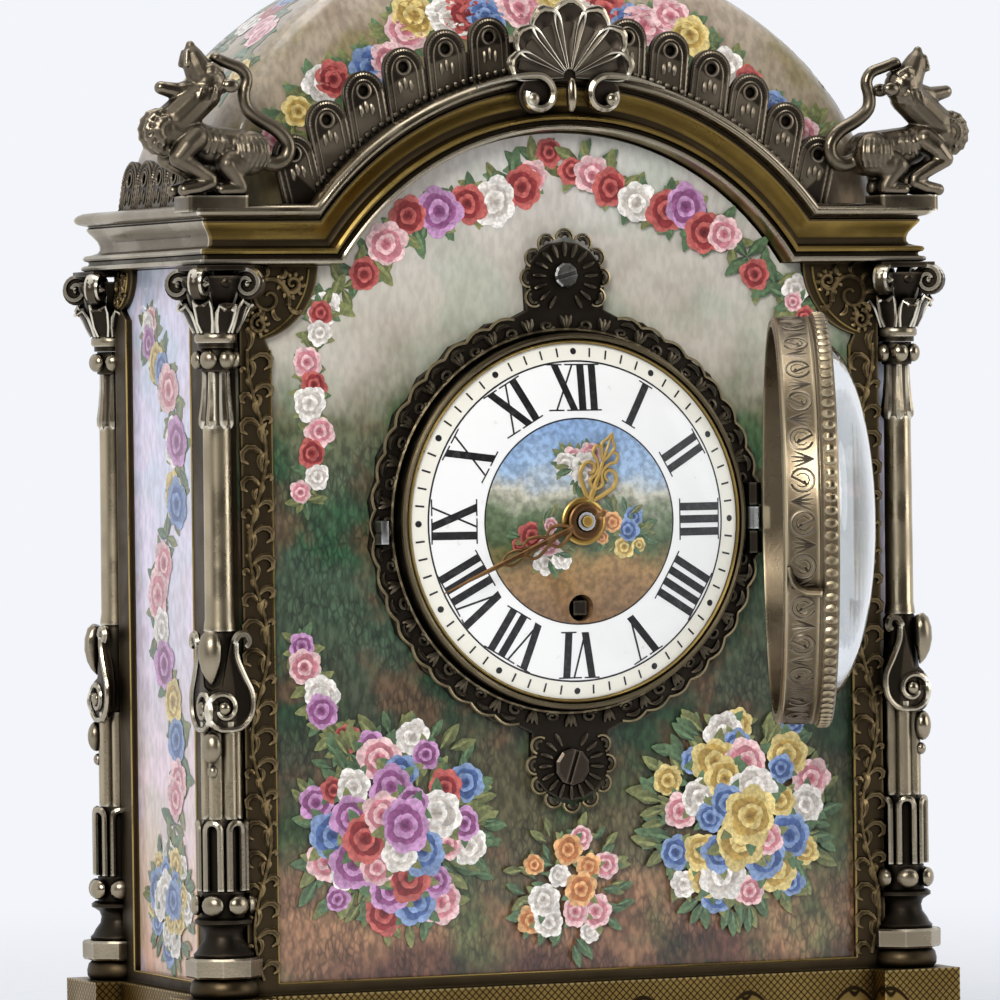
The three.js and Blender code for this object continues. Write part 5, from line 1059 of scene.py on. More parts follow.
@dataclass
class Cornice:
    """The moulded cornice, straight at the sides and back and arched over the front."""

    height: float = 7.6
    section: tuple[Point, ...] = (
        (-1.5, 0.0), (2.6, 0.0), (2.95, 0.02), (3.0, 0.06), (2.85, 0.09), (2.3, 0.1), (2.2, 0.13),
        (2.25, 0.16), (2.7, 0.18), (2.85, 0.22), (2.65, 0.26), (1.9, 0.28), (1.3, 0.31), (1.1, 0.36),
        (1.1, 0.42), (1.3, 0.5), (1.75, 0.58), (2.2, 0.65), (2.4, 0.69), (2.4, 0.72), (2.2, 0.74),
        (2.3, 0.765), (2.85, 0.78), (3.3, 0.8), (3.58, 0.83), (3.7, 0.87), (3.6, 0.915), (3.3, 0.955),
        (2.8, 0.985), (2.0, 1.0), (-1.5, 1.0),
    )
    arch_steps: int = 64

    def lips(self) -> dict[int, int]:
        """Returns the finishes of the bright lips and of the channels darkened as painted shade, by the
        section's segments.
        """
        bright = dict.fromkeys((1, 2, 3, *range(21, 30)), SECOND)
        # painted shade: the recessed channels take the dark frame metal
        dark = dict.fromkeys((5, 6, 7, 11, 12, 13, 18, 19, 20), THIRD)
        return bright | dark

    def upright(self) -> list[Point]:
        """Returns the section at its true height over the columns."""
        return [(out, LAYOUT.column_top + self.height * share) for out, share in self.section]

    def straight(self, name: str, start: tuple[int, int], end: tuple[int, int]) -> None:
        """Adds one straight length between two mitred corners."""
        shape = Shape()
        shape.sweep([corner_ring(self.upright(), *start), corner_ring(self.upright(), *end)])
        shape.piece(f"moulded_cornice_{name}", [SILVER], Slot.SILVER, replaces=[f"cornice_{name}"])

    def arch_ring(self, share: float) -> list[Vector]:
        """Returns the section at a share of the arch, from -1 at its left end to 1."""
        ring = []
        for out, rise in self.section:
            radius = LAYOUT.arch_radius + self.height * rise
            spring = math.acos((LAYOUT.column_top - LAYOUT.arch_z + self.height * rise) / radius)
            angle = spring * share
            height = LAYOUT.arch_z + radius * math.cos(angle)
            ring.append(Vector((radius * math.sin(angle), -(LAYOUT.half_y + out), height)))
        return ring

    def build(self) -> None:
        """Makes the four lengths."""
        steps = self.arch_steps
        rings = [corner_ring(self.upright(), -1, -1)]
        rings += [self.arch_ring(2.0 * step / steps - 1.0) for step in range(steps + 1)]
        rings.append(corner_ring(self.upright(), 1, -1))
        shape = Shape()
        shape.sweep(rings, bands=self.lips())
        shape.piece("moulded_cornice_front", [GILT, SILVER, VINE], Slot.GILT, replaces=["cornice_front"])
        self.straight("left", (-1, 1), (-1, -1))
        self.straight("right", (1, -1), (1, 1))
        self.straight("back", (1, 1), (-1, 1))


@dataclass
class Gallery:
    """The pierced gallery: round-headed tabs with a roped border, a ringed hole and narrow slots between."""

    tab_width: float = 5.5
    tab_height: float = 10.4
    thickness: float = 0.8
    hole_height: float = 7.9
    hole_radius: float = 0.68
    first_tab: float = 11.1
    tab_step: float = 7.15
    tabs_each_side: int = 6
    hole_circle: float = 50.0
    band_low: float = 43.9
    band_high: float = 48.9
    band_depth: float = 0.6
    band_steps: int = 40
    bead_pitch: float = 1.1
    bead_step: float = 1.45
    upright: float = 0.3
    lean: float = 8.5
    straight_height: float = 7.3

    def outline(self) -> list[Point]:
        """Returns one tab's outline from its lower right corner round its head."""
        half = self.tab_width / 2
        shoulder = self.tab_height - half
        right = [(half, shoulder * n / 6) for n in range(6)]
        head = arc((0, shoulder), half, 0, 180, 14)
        left = [(-half, shoulder * (5 - n) / 6) for n in range(6)]
        foot = [(half * (n - 2.5) / 3, 0.0) for n in range(1, 5)]
        return right + head + left + foot

    def tab(self) -> Shape:
        """Returns one tab standing on the origin and facing forwards."""
        shape = Shape()
        line = self.outline()
        eye = (0, self.hole_height)
        hole = []
        for x, z in line:
            angle = math.atan2(z - self.hole_height * 0.8, x)
            rise = self.hole_radius * math.sin(angle)
            hole.append((self.hole_radius * math.cos(angle), self.hole_height + rise))
        shape.pierced(line, hole, -self.thickness, self.thickness)
        for narrow, low, girth in ((0.88, 0.93, 0.25), (0.62, 0.86, 0.17)):
            rope = smooth_line([(x * narrow, 0.3 + z * low) for x, z in line[:27]], 3)
            radii = [girth if number % 2 else girth * 0.6 for number in range(len(rope))]
            shape.tube(facing(rope, -self.thickness), radii, 5)
        ring = arc(eye, self.hole_radius + 0.22, 0, 345, 16)
        shape.tube(facing(ring, -self.thickness), 0.19, 5, closed=True)
        # painted shadow: a dark disc of shaded metal set just behind the hole
        painted_shadow_disc = arc(eye, self.hole_radius + 0.1, 0, 330, 12)
        shape.plate(painted_shadow_disc, -self.thickness * 0.3, 0.2, 0.0, None, SECOND)
        for side in (-1, 0, 1):
            drop = self.hole_height - 2.1 - 0.4 * abs(side)
            shape.ball((0.75 * side, -self.thickness, drop), (0.32, 0.25, 0.85), 6)
        return shape

    def finish(self, shape: Shape, name: str) -> None:
        """Makes one run a piece."""
        replaced = [f"gallery_{name}"]
        shape.piece(f"pierced_gallery_{name}", [GALLERY, SHADE_METAL], Slot.DARK_SILVER, replaces=replaced)

    def straight(self, name: str, half_length: float, distance: float, pitch: float, turn: float) -> None:
        """Adds one straight run that leans on the dome."""
        count = max(1, int((half_length * 2 - self.tab_width) // pitch) + 1)
        shape = Shape()
        sunk = self.tab_height - self.straight_height
        place = turned_by(turn, "Z") @ moved(0, -distance, LAYOUT.roof + 0.15) @ turned_by(-self.lean, "X")
        starts = [(number - (count - 1) / 2) * pitch for number in range(count)]
        shape.stamp(self.tab(), [place @ moved(start, 0, -sunk) for start in starts])
        rail = [(-half_length, 0.0), (half_length, 0.0), (half_length, 2.6), (-half_length, 2.6)]
        shape.plate(rail, -self.thickness * 0.7, self.thickness * 0.6, 0.0, place)
        beads = int(half_length * 2 // self.bead_pitch)
        bead = Shape()
        bead.ball((0, -self.thickness * 0.9, 0.75), (0.42, 0.3, 0.42), 6)
        spots = [(n - (beads - 1) / 2) * self.bead_pitch for n in range(beads)]
        shape.stamp(bead, [place @ moved(spot, 0, 0) for spot in spots])
        self.finish(shape, name)

    def front_places(self) -> list[Matrix]:
        """Returns where the tabs of the arched run stand, nearly upright on their circle."""
        places = []
        for side in (-1, 1):
            for number in range(self.tabs_each_side):
                angle = self.first_tab + self.tab_step * number
                x = self.hole_circle * math.sin(math.radians(angle))
                z = LAYOUT.arch_z + self.hole_circle * math.cos(math.radians(angle))
                spot = moved(side * x - 0.4, -LAYOUT.half_y, z) @ turned_by(side * self.upright * angle, "Y")
                places.append(spot @ moved(0, 0, -self.hole_height))
        return places

    def arched(self) -> None:
        """Adds the front run: tabs, the band behind them and its beads."""
        shape = Shape()
        shape.stamp(self.tab(), self.front_places())
        low, high, front = self.band_low, self.band_high, -self.band_depth
        spring = math.degrees(math.acos((LAYOUT.roof + 2.0 - LAYOUT.arch_z) / low))
        rings = []
        for step in range(self.band_steps + 1):
            angle = math.radians(spring * (2 * step / self.band_steps - 1))
            ring = []
            for depth, radius in ((0.0, low), (front, low), (front, high), (0.0, high)):
                height = LAYOUT.arch_z + radius * math.cos(angle)
                ring.append(Vector((radius * math.sin(angle), depth - LAYOUT.half_y, height)))
            rings.append(ring)
        shape.sweep(rings)
        bead = Shape()
        bead.ball((0, -0.85, low + 1.5), (0.42, 0.35, 0.42), 6)
        base = moved(0, -LAYOUT.half_y, LAYOUT.arch_z)
        count = int(spring * 2 // self.bead_step)
        turns = [(n - (count - 1) / 2) * self.bead_step for n in range(count)]
        shape.stamp(bead, [base @ turned_by(turn, "Y") for turn in turns])
        self.finish(shape, "front")

    def build(self) -> None:
        """Makes the arched front run and the three straight ones."""
        self.arched()
        self.straight("left", 14.0, 47.5, 5.3, -90.0)
        self.straight("right", 14.0, 47.5, 5.3, 90.0)
        self.straight("back", 45.5, 16.0, 5.6, 180.0)


@dataclass
class Crest:
    """The shell at the top of the arch: seven hollow petals over two volutes and a bead."""

    foot: float = 137.2
    back: float = -22.1
    aside: float = -0.5
    petals: int = 7
    length: float = 9.4
    spread: float = 157.0

    def petal(self, shape: Shape, angle: float, length: float, width: float) -> None:
        """Adds one hollow petal with its rolled rim."""
        place = moved(self.aside, self.back - 0.9, self.foot) @ turned_by(angle, "Y")
        rows = (
            (0.1, 0.16), (0.28, 0.38), (0.46, 0.62), (0.62, 0.84), (0.76, 0.97), (0.87, 0.96), (0.95, 0.74),
            (1.0, 0.4),
        )
        rings = []
        for share, wide in rows:
            half = width * wide
            ring = []
            for step in range(7):
                across = step / 3 - 1
                hollow = 0.95 * (1 - across * across) * wide - 0.4 * share
                ring.append(Vector((half * across, hollow, length * share)))
            for step in range(7):
                across = 1 - step / 3
                ring.append(Vector((half * across * 0.96, 1.1, length * share * 0.98)))
            rings.append(ring)
        shape.sweep(rings, place=place, finish=SECOND)
        right = [(width * wide, length * share) for share, wide in rows]
        head = [(width * 0.2, length * 1.03), (-width * 0.2, length * 1.03)]
        rim = right + head + [(-x, z) for x, z in reversed(right)]
        line = [Vector((x, -0.35 * z / length, z)) for x, z in smooth_line(rim, 2)]
        middle = len(line) // 2
        shares = [1 - abs(n - middle) / (middle * 0.6) for n in range(len(line))]
        shape.tube(line, [0.04 + 0.52 * max(0.0, share) ** 0.7 for share in shares], 8, place=place)

    def volute(self, shape: Shape, side: int, depth: float) -> None:
        """Adds one volute, in which the lip of the cornice curls round its eye."""
        eye = (4.7, 134.85)
        lead = smooth_line([(13.0, 135.75), (10.0, 136.6), (7.0, 137.2), (4.7, 137.3)], 4)
        line = lead[:-1] + curl(eye, 2.45, 1.35, 90.0, 285.0, 22)
        points = [Vector((self.aside + side * x, depth, z)) for x, z in line]
        shape.tube(points, [0.2 + 0.36 * min(1.0, n / 10) for n in range(len(points))], 8, flat=1.5)
        shape.ball((self.aside + side * 5.45, depth - 0.4, 134.3), (0.95, 0.85, 0.95), 14)
        disc = [(self.aside + side * x, z) for x, z in arc(eye, 2.3, 0, 345, 22)]
        shape.plate(disc, depth + 0.3, 1.0, 0.0, None, SECOND)

    def build(self) -> None:
        """Makes the shell and its volutes."""
        shape = Shape()
        middle = self.petals // 2
        for number in range(self.petals):
            step = number - middle
            length = self.length - 0.3 * abs(step) - (0.3 if abs(step) == middle else 0.0)
            self.petal(shape, self.spread / (self.petals - 1) * step, length, 2.15 - 0.1 * abs(step))
        fan = [(self.aside - 1.6, self.foot - 0.5), (self.aside + 1.6, self.foot - 0.5)]
        fan += [(self.aside + x, self.foot + z) for x, z in arc((0, 0), 7.0, 8, 172, 12)]
        shape.plate(fan, self.back - 0.5, 0.5, 0.0, None, SECOND)
        depth = self.back - 1.2
        for side in (-1, 1):
            self.volute(shape, side, depth)
        shape.ball((self.aside, depth - 0.2, 134.9), (0.75, 0.8, 2.2), 14)
        shape.piece("shell_palmette", [SILVER, DARK], Slot.DARK_SILVER, replaces=["shell_crest"])


@dataclass
class Roof:
    """The enamelled cushion dome, the plate under it and the finial that holds it down."""

    half_x: float = 47.5
    half_y: float = 16.0
    corner: float = 5.0
    low: float = 120.15
    rise: float = 36.0
    power: float = 1.8
    rows: int = 30
    finial: tuple[Point, ...] = (
        (0, 155.6), (3.6, 155.8), (4.0, 156.5), (3.7, 157.2), (2.4, 157.8), (1.4, 158.8), (1.2, 160.0),
        (2.2, 160.5), (2.4, 161.2), (1.6, 161.9), (2.8, 163.2), (3.4, 165.0), (2.9, 167.0), (1.5, 168.6),
        (0.8, 169.4), (0.5, 170.0), (0, 170.2),
    )

    def ring(self, share: float) -> list[Vector]:
        """Returns the rounded rectangle at a share of the dome's height."""
        scale = math.sqrt(max(0.0, 1.0 - share ** self.power))
        height = self.low + self.rise * share
        flat_x, flat_y = self.half_x - self.corner, self.half_y - self.corner
        outline = rounded_corners((0, 0), flat_x, flat_y, self.corner, 8)
        return [Vector((x * scale, y * scale, height)) for x, y in outline]

    def build(self) -> Object:
        """Makes the dome and the finial, and returns the dome."""
        shape = Shape()
        shares = [math.sin(math.pi / 2 * n / self.rows) for n in range(self.rows)] + [0.9992]
        shape.sweep([self.ring(share) for share in shares])
        dome = shape.piece("cushion_dome", [DOME_ENAMEL], Slot.DOME_ENAMEL, replaces=["dome"])
        knob = Shape()
        knob.turned(self.finial)
        knob.piece("turned_finial", [SILVER], Slot.SILVER, replaces=["finial"])
        dress(SILVER, "top_plate")
        return dome


@dataclass
class Beasts:
    """The two crouching beasts, modelled as one soft mass and mirrored."""

    depth: float = -19.4
    stand: float = 48.0
    voxel: float = 0.17

    def limb(self, shape: Shape, points: Sequence[Sequence[float]], radii: Sequence[float]) -> None:
        """Adds one rounded limb through (outward, height, y offset) points."""
        line = [Vector((self.stand + x, self.depth + out, z)) for x, z, out in points]
        shape.tube(line, radii, 12)
        for spot, radius in ((line[0], radii[0]), (line[-1], radii[-1])):
            shape.ball(spot, (radius, radius, radius), 12)

    def mass(self, shape: Shape, x: float, z: float, out: float, size: Sequence[float]) -> None:
        """Adds one rounded mass."""
        shape.ball((self.stand + x, self.depth + out, z), size, 16)

    def body(self) -> Shape:
        """Returns the right beast's masses before they are melted together."""
        shape = Shape()
        back = [(5.6, 130.4, 0), (3.4, 129.7, 0), (0.8, 128.9, 0), (-2.0, 128.6, 0), (-4.6, 128.1, 0)]
        self.limb(shape, back, [2.4, 2.4, 2.25, 2.2, 2.4])
        self.mass(shape, 6.3, 130.3, 0, (2.6, 2.3, 2.7))
        self.mass(shape, 0.4, 127.7, 0, (3.0, 1.8, 1.7))
        self.limb(shape, [(5.0, 131.4, 0), (3.0, 133.2, 0), (0.9, 135.0, 0)], [2.5, 2.4, 2.3])
        for side in (-1, 1):
            self.mass(shape, -4.7, 127.6, 1.3 * side, (2.7, 1.8, 2.9))
            self.mass(shape, -2.6, 126.2, 1.6 * side, (2.5, 1.6, 1.9))
            self.legs(shape, side)
            self.fur(shape, side)
        self.head(shape)
        self.tail(shape)
        return shape

    def legs(self, shape: Shape, side: int) -> None:
        """Adds one side's legs and paws."""
        legs = (
            ([(2.6, 129.4, 1.6), (4.1, 128.2, 2.1), (5.2, 126.9, 2.2)], [1.6, 1.4, 1.2]),
            ([(5.2, 126.8, 2.2), (3.0, 125.6, 2.2), (0.9, 124.3, 2.0)], [1.1, 1.0, 0.9]),
            ([(0.9, 123.9, 2.0), (2.6, 123.2, 2.0), (4.4, 122.9, 1.9)], [0.95, 0.9, 0.8]),
            ([(-1.4, 126.0, 1.9), (-2.6, 124.4, 1.9), (-3.2, 123.3, 1.8)], [1.4, 1.05, 0.95]),
            ([(-3.2, 123.1, 1.8), (-0.6, 122.9, 1.9)], [0.95, 0.8]),
        )
        for points, radii in legs:
            self.limb(shape, [(x, z, out * side) for x, z, out in points], radii)

    def fur(self, shape: Shape, side: int) -> None:
        """Adds the ribs, the streaks on the haunch and the ruff on the chest."""
        for number in range(7):
            streak = []
            for step in range(5):
                along = -0.72 + 0.24 * number + 0.12 * (step / 2 - 1) ** 2
                rise = 0.62 - 0.31 * step
                swell = math.sqrt(max(0.1, 1.0 - along * along - rise * rise))
                streak.append((-4.7 + 2.7 * along, 127.6 + 2.9 * rise, side * (1.3 + 1.85 * swell)))
            self.limb(shape, streak, [0.16, 0.32, 0.38, 0.32, 0.16])
        for number in range(3):
            x = 1.2 - 0.95 * number
            top = (x, 130.6 - 0.2 * number, 1.5 * side)
            rib = [top, (x - 0.3, 129.1, 2.2 * side), (x + 0.1, 127.6, 1.9 * side)]
            self.limb(shape, rib, [0.2, 0.28, 0.2])
        for ring, (reach, count) in enumerate(((2.3, 8), (1.3, 6))):
            for number in range(count):
                turn = math.radians(75.0 - 24.0 * number)
                root = (6.3 + reach * math.cos(turn), 130.3 + reach * 1.05 * math.sin(turn))
                far, bent = reach + 0.6, turn - 0.4
                tip = (6.3 + far * math.cos(bent), 130.3 + far * math.sin(bent))
                out = (1.0 + 0.75 * ring) * side
                self.limb(shape, [(*root, out), (*tip, out * 1.05)], [0.62, 0.26])

    def head(self, shape: Shape) -> None:
        """Adds the head thrown back with open jaws, ears, brows and cheek folds."""
        self.mass(shape, 0.4, 136.4, 0, (2.6, 2.15, 2.35))
        muzzle = [(1.2, 137.2, 0), (1.9, 138.7, 0), (2.5, 140.1, 0), (2.6, 141.0, 0)]
        self.limb(shape, muzzle, [1.95, 1.7, 1.25, 0.6])
        self.limb(shape, [(2.0, 135.5, 0), (4.4, 135.2, 0), (6.6, 135.7, 0)], [1.5, 1.15, 0.85])
        for side in (-1, 1):
            self.mass(shape, 0.4, 137.5, 1.6 * side, (0.8, 0.6, 0.65))
            brow = [(-1.0, 137.9, 1.5 * side), (0.3, 138.5, 1.6 * side), (1.5, 138.1, 1.4 * side)]
            self.limb(shape, brow, [0.3, 0.45, 0.3])
            self.mass(shape, -2.1, 135.9, 1.7 * side, (1.15, 0.6, 0.9))
            for number in range(3):
                x = 0.4 + 0.75 * number
                self.limb(shape, [(x, 135.5, 2.0 * side), (x + 0.5, 134.0, 2.05 * side)], [0.34, 0.26])
            self.limb(shape, [(3.3, 140.2, 0.75 * side), (3.5, 138.6, 1.05 * side)], [0.3, 0.38])

    def tail(self, shape: Shape) -> None:
        """Adds the thick tail in its double curve."""
        path = [
            (-6.6, 126.8), (-8.4, 126.2), (-10.0, 127.0), (-10.3, 128.8), (-8.9, 130.5), (-6.4, 131.9),
            (-4.7, 133.4), (-4.5, 135.2), (-4.9, 136.8), (-4.2, 138.1), (-2.4, 138.8), (-0.8, 139.4),
        ]
        line = smooth_line(path, 3)
        count = len(line)
        radii = [1.1 - 0.4 * n / count for n in range(count)]
        self.limb(shape, [(x, z, 0.0) for x, z in line], radii)
        self.mass(shape, -0.8, 139.4, 0, (0.85, 0.8, 0.75))

    def build(self) -> None:
        """Melts the masses into one skin and sets both beasts on their pads."""
        scratch = scratch_object(self.body(), "beast_scratch")
        melt = scratch.modifiers.new("melt", "REMESH")
        melt.mode = "VOXEL"
        melt.voxel_size = self.voxel * MM
        soften = scratch.modifiers.new("soften", "SMOOTH")
        soften.factor = 0.5
        soften.iterations = 2
        skin = settled_mesh(scratch)
        bpy.data.objects.remove(scratch)
        for name, side in (("right", 1), ("left", -1)):
            shape = Shape()
            part = bmesh.new()
            part.from_mesh(skin)
            shape.take(part, sized(side / MM, 1 / MM, 1 / MM))
            pad = rounded_corners((side * self.stand, self.depth), 3.4, 1.9, 0.8, 4)
            shape.plate(pad, 122.2, -2.0, 0.0, LAID_FLAT)
            replaced = [f"beast_{name}"]
            shape.piece(f"crouching_beast_{name}", [BEAST], Slot.SILVER, replaces=replaced, sharp=60.0)
        bpy.data.meshes.remove(skin)


@dataclass
class Frames:
    """Relief on the applied frames: roped vines with curled leaves, spandrel scrolls and bright edges."""

    strip: float = 4.1
    low: float = 24.0
    wave: float = 24.0
    swing: float = 1.2
    lift: float = 0.05

    def leaf(self, shape: Shape, start: Point, aim: float, length: float, bend: float, y: float) -> None:
        """Adds one comma-shaped leaf that sets off at an angle and bends by another, both in degrees."""
        steps = 6
        line = []
        x, z = start
        for step in range(steps + 1):
            line.append(Vector((x, y, z)))
            heading = math.radians(aim + bend * (step / steps) ** 1.5)
            x += length / steps * math.cos(heading)
            z += length / steps * math.sin(heading)
        girth = min(0.52, 0.24 + 0.09 * length)
        shape.tube(line, [girth * share for share in (0.35, 0.6, 0.8, 1.0, 1.0, 0.75, 0.25)], 5, flat=0.9)

    def vine(self, shape: Shape, middle: float, high: float, y: float, mirror: int) -> None:
        """Adds one upright vine that fills a strip with curled leaves."""
        line = []
        steps = int((high - self.low) / 0.45)
        for step in range(steps + 1):
            z = self.low + (high - self.low) * step / steps
            line.append((middle + mirror * self.swing * math.sin(math.tau * (z - self.low) / self.wave), z))
        shape.tube(facing(line, y), [0.36 if n % 2 else 0.26 for n in range(len(line))], 6)
        for number, (x, z) in enumerate(line[1::2]):
            side = 1 if number % 2 else -1
            room = self.strip / 2 - 0.3 - side * (x - middle)
            if room < 0.6:
                continue
            aim = 50.0 if side > 0 else 130.0
            if number % 4 < 2:
                self.leaf(shape, (x + 0.2 * side, z), aim, room * 1.9, -side * 265.0, y)
            else:
                self.leaf(shape, (x + 0.2 * side, z), aim + 15.0 * side, room * 1.0, side * 110.0, y)

    def scroll(self, shape: Shape, eye: Point, radius: float, start: float, turn: float, y: float) -> None:
        """Adds one scroll with leaves round it."""
        line = curl(eye, radius, radius * 0.12, start, turn, 26)
        shape.tube(facing(line, y - 0.05), [0.4 - 0.18 * n / 26 for n in range(27)], 6)
        for number in range(0, 17, 2):
            x, z = line[number]
            outward = math.degrees(math.atan2(z - eye[1], x - eye[0]))
            aim = outward - math.copysign(35.0, turn)
            self.leaf(shape, (x, z), aim, radius * 0.75, math.copysign(120.0, turn), y)

    def spandrel(self, shape: Shape, corner: Point, radius: float, mirror: int, y: float) -> None:
        """Adds the leaf scrolls in one top corner, with their thin edge."""
        edge = [(corner[0] - mirror * x, corner[1] - z) for x, z in arc((0, 0), radius - 0.25, 3, 74, 14)]
        shape.tube(facing(edge, y), 0.16, 6, finish=SECOND)
        scrolls = ((0.4, 0.42, 0.3, 200.0), (0.74, 0.24, 0.14, 20.0), (0.26, 0.76, 0.13, 90.0))
        for across, down, size, start in scrolls:
            eye = (corner[0] - mirror * across * radius, corner[1] - down * radius)
            turn = -520.0 * mirror
            self.scroll(shape, eye, radius * size, 90.0 + mirror * (start - 90.0), turn, y)

    def wall(self, side: Side, distance: float, outer: float, radius: float) -> None:
        """Adds the relief of one wall's frame."""
        shape = Shape()
        y = -(distance + self.lift)
        inner = outer - self.strip
        top = LAYOUT.column_top - 0.1
        for mirror in (-1, 1):
            if side in (Side.FRONT, Side.BACK):
                self.vine(shape, mirror * (outer - self.strip * 0.5), top - radius - 0.8, y, mirror)
            self.spandrel(shape, (mirror * outer, top), radius, mirror, y)
            edge = [Vector((mirror * inner, y + 0.05, z)) for z in (23.5, 60.0, top - radius - 1.0)]
            shape.tube(edge, 0.15, 6, finish=SECOND)
        rail = [Vector((x, y + 0.05, 23.45)) for x in (-inner, 0.0, inner)]
        shape.tube(rail, 0.15, 6, (0, 0, 1), finish=SECOND)
        bmesh.ops.transform(shape.bm, matrix=turned_by(side.value, "Z"), verts=shape.bm.verts)
        shape.piece(f"frame_relief_{side.name.lower()}", [VINE, GILT], Slot.DARK_SILVER)

    def build(self) -> None:
        """Makes the relief of all four walls and dresses the frames behind it."""
        for side in (Side.FRONT, Side.BACK):
            self.wall(side, -LAYOUT.frame_y, 44.4, 9.6)
        for side in (Side.LEFT, Side.RIGHT):
            self.wall(side, LAYOUT.side_frame_x, 15.55, 5.2)
        dress(VINE, "front_frame", "left_frame", "back_frame", "right_frame", "case_body")


@dataclass
class Seat:
    """Relief on the bezel seat: scallops, leaf scrolls, shell tabs and the catch."""

    radius: float = 27.0
    scallops: int = 46
    scrolls: int = 30
    tab_centre: float = 31.0
    tab_radius: float = 5.0
    open_angle: float = 12.5
    collar: float = 2.3

    def point(self, angle: float, radius: float, out: float = 0.1) -> Vector:
        """Returns a place on the seat by angle from twelve o'clock, in degrees."""
        turn = math.radians(angle)
        return Vector((radius * math.sin(turn), LAYOUT.seat_y - out, LAYOUT.dial_z + radius * math.cos(turn)))

    def edge(self, shape: Shape) -> None:
        """Adds the row of scallops along the rim."""
        pitch = 360.0 / self.scallops
        for number in range(self.scallops):
            middle = pitch * (number + 0.5)
            if min(abs(middle % 180.0), 180.0 - middle % 180.0) < self.open_angle:
                continue
            rim = []
            fold = []
            for step in range(7):
                share = step / 6
                swell = math.sin(math.pi * share)
                lean = pitch * (share - 0.5)
                rim.append(self.point(middle + lean, self.radius + 0.55 * swell - 0.35))
                fold.append(self.point(middle + lean * 0.6, self.radius - 0.95 + 0.4 * swell))
            shape.tube(rim, 0.2, 5, finish=SECOND)
            shape.tube(fold, [0.1, 0.3, 0.4, 0.42, 0.4, 0.3, 0.1], 5)

    def ring(self, shape: Shape) -> None:
        """Adds the leaf scrolls round the seat."""
        pitch = 360.0 / self.scrolls
        for number in range(self.scrolls):
            angle = pitch * (number + 0.5)
            spiral = curl((0, 0), 1.0, 0.2, 200, 480, 16)
            flip = -1 if number % 2 else 1
            line = [self.point(angle + flip * math.degrees(x / 25.2), 25.0 + z * 0.75) for x, z in spiral]
            shape.tube(line, [0.34 - 0.14 * n / 16 for n in range(17)], 5)
            for lean in (-1.6, 0.0, 1.6):
                leaf = [self.point(angle + pitch / 2 + lean * s / 3, 24.3 + 1.9 * s / 3) for s in range(4)]
                shape.tube(leaf, [0.15, 0.34, 0.4, 0.12], 5)
        for radius, girth, out in ((24.3, 0.35, 0.1), (23.55, 0.42, self.collar)):
            circle = [self.point(3.0 * number, radius, out) for number in range(120)]
            shape.tube(circle, girth, 8, closed=True, finish=SECOND)

    def tab(self, shape: Shape, up: int) -> None:
        """Adds the lobes and shell ribs of one screw tab."""
        middle = LAYOUT.dial_z + up * self.tab_centre
        lobes = ((1.15, 95.0, 8, 0.05, 0.2, SECOND), (0.65, 80.0, 6, 0.1, 0.3, MAIN))
        for number in range(9):
            angle = -30.0 + 30.0 * number
            turn = math.radians(angle)
            spot = (self.tab_radius * math.cos(turn), self.tab_radius * math.sin(turn))
            for radius, half, steps, out, girth, finish in lobes:
                lobe = arc(spot, radius, angle - half, angle + half, steps)
                line = facing([(x, middle + up * z) for x, z in lobe], LAYOUT.seat_y - out)
                shape.tube(line, girth, 5, finish=finish)
        for number in range(15):
            angle = math.radians(-60.0 + 21.5 * number)
            across, rise = math.cos(angle), up * math.sin(angle)
            rib = [(reach * across, middle + reach * rise) for reach in (2.7, 3.4, 4.0, 4.5)]
            shape.tube(facing(rib, LAYOUT.seat_y - 0.1), [0.15, 0.32, 0.36, 0.14], 5)

    def build(self) -> None:
        """Makes the relief and the catch, and dresses the seat, its screws and the hinge pin."""
        shape = Shape()
        self.edge(shape)
        self.ring(shape)
        self.tab(shape, 1)
        self.tab(shape, -1)
        shape.piece("seat_relief", [SEAT, SEAT_EDGE], Slot.DARK_SILVER)
        catch = Shape()
        blade = [(-26.75, 78.3), (-25.65, 78.3), (-25.65, 81.3), (-26.75, 81.3)]
        catch.plate(blade, LAYOUT.seat_y - 2.45, 2.4, 0.2)
        catch.piece("catch_blade", [STEEL], Slot.STEEL)
        collar = Shape()
        ring = [(22.62, 21.3), (23.05, 21.3), (23.1, 21.9), (22.85, 22.15), (22.62, 21.9), (22.62, 21.3)]
        collar.turned(ring, 96, moved(0, 0, LAYOUT.dial_z) @ turned_by(90.0, "X"))
        collar.piece("dial_collar", [GILT], Slot.GILT)
        dress(SEAT, "bezel_seat")
        dress(STEEL, "seat_screw_top", "hinge_pin")
        dress(DARK, "seat_screw_bottom")


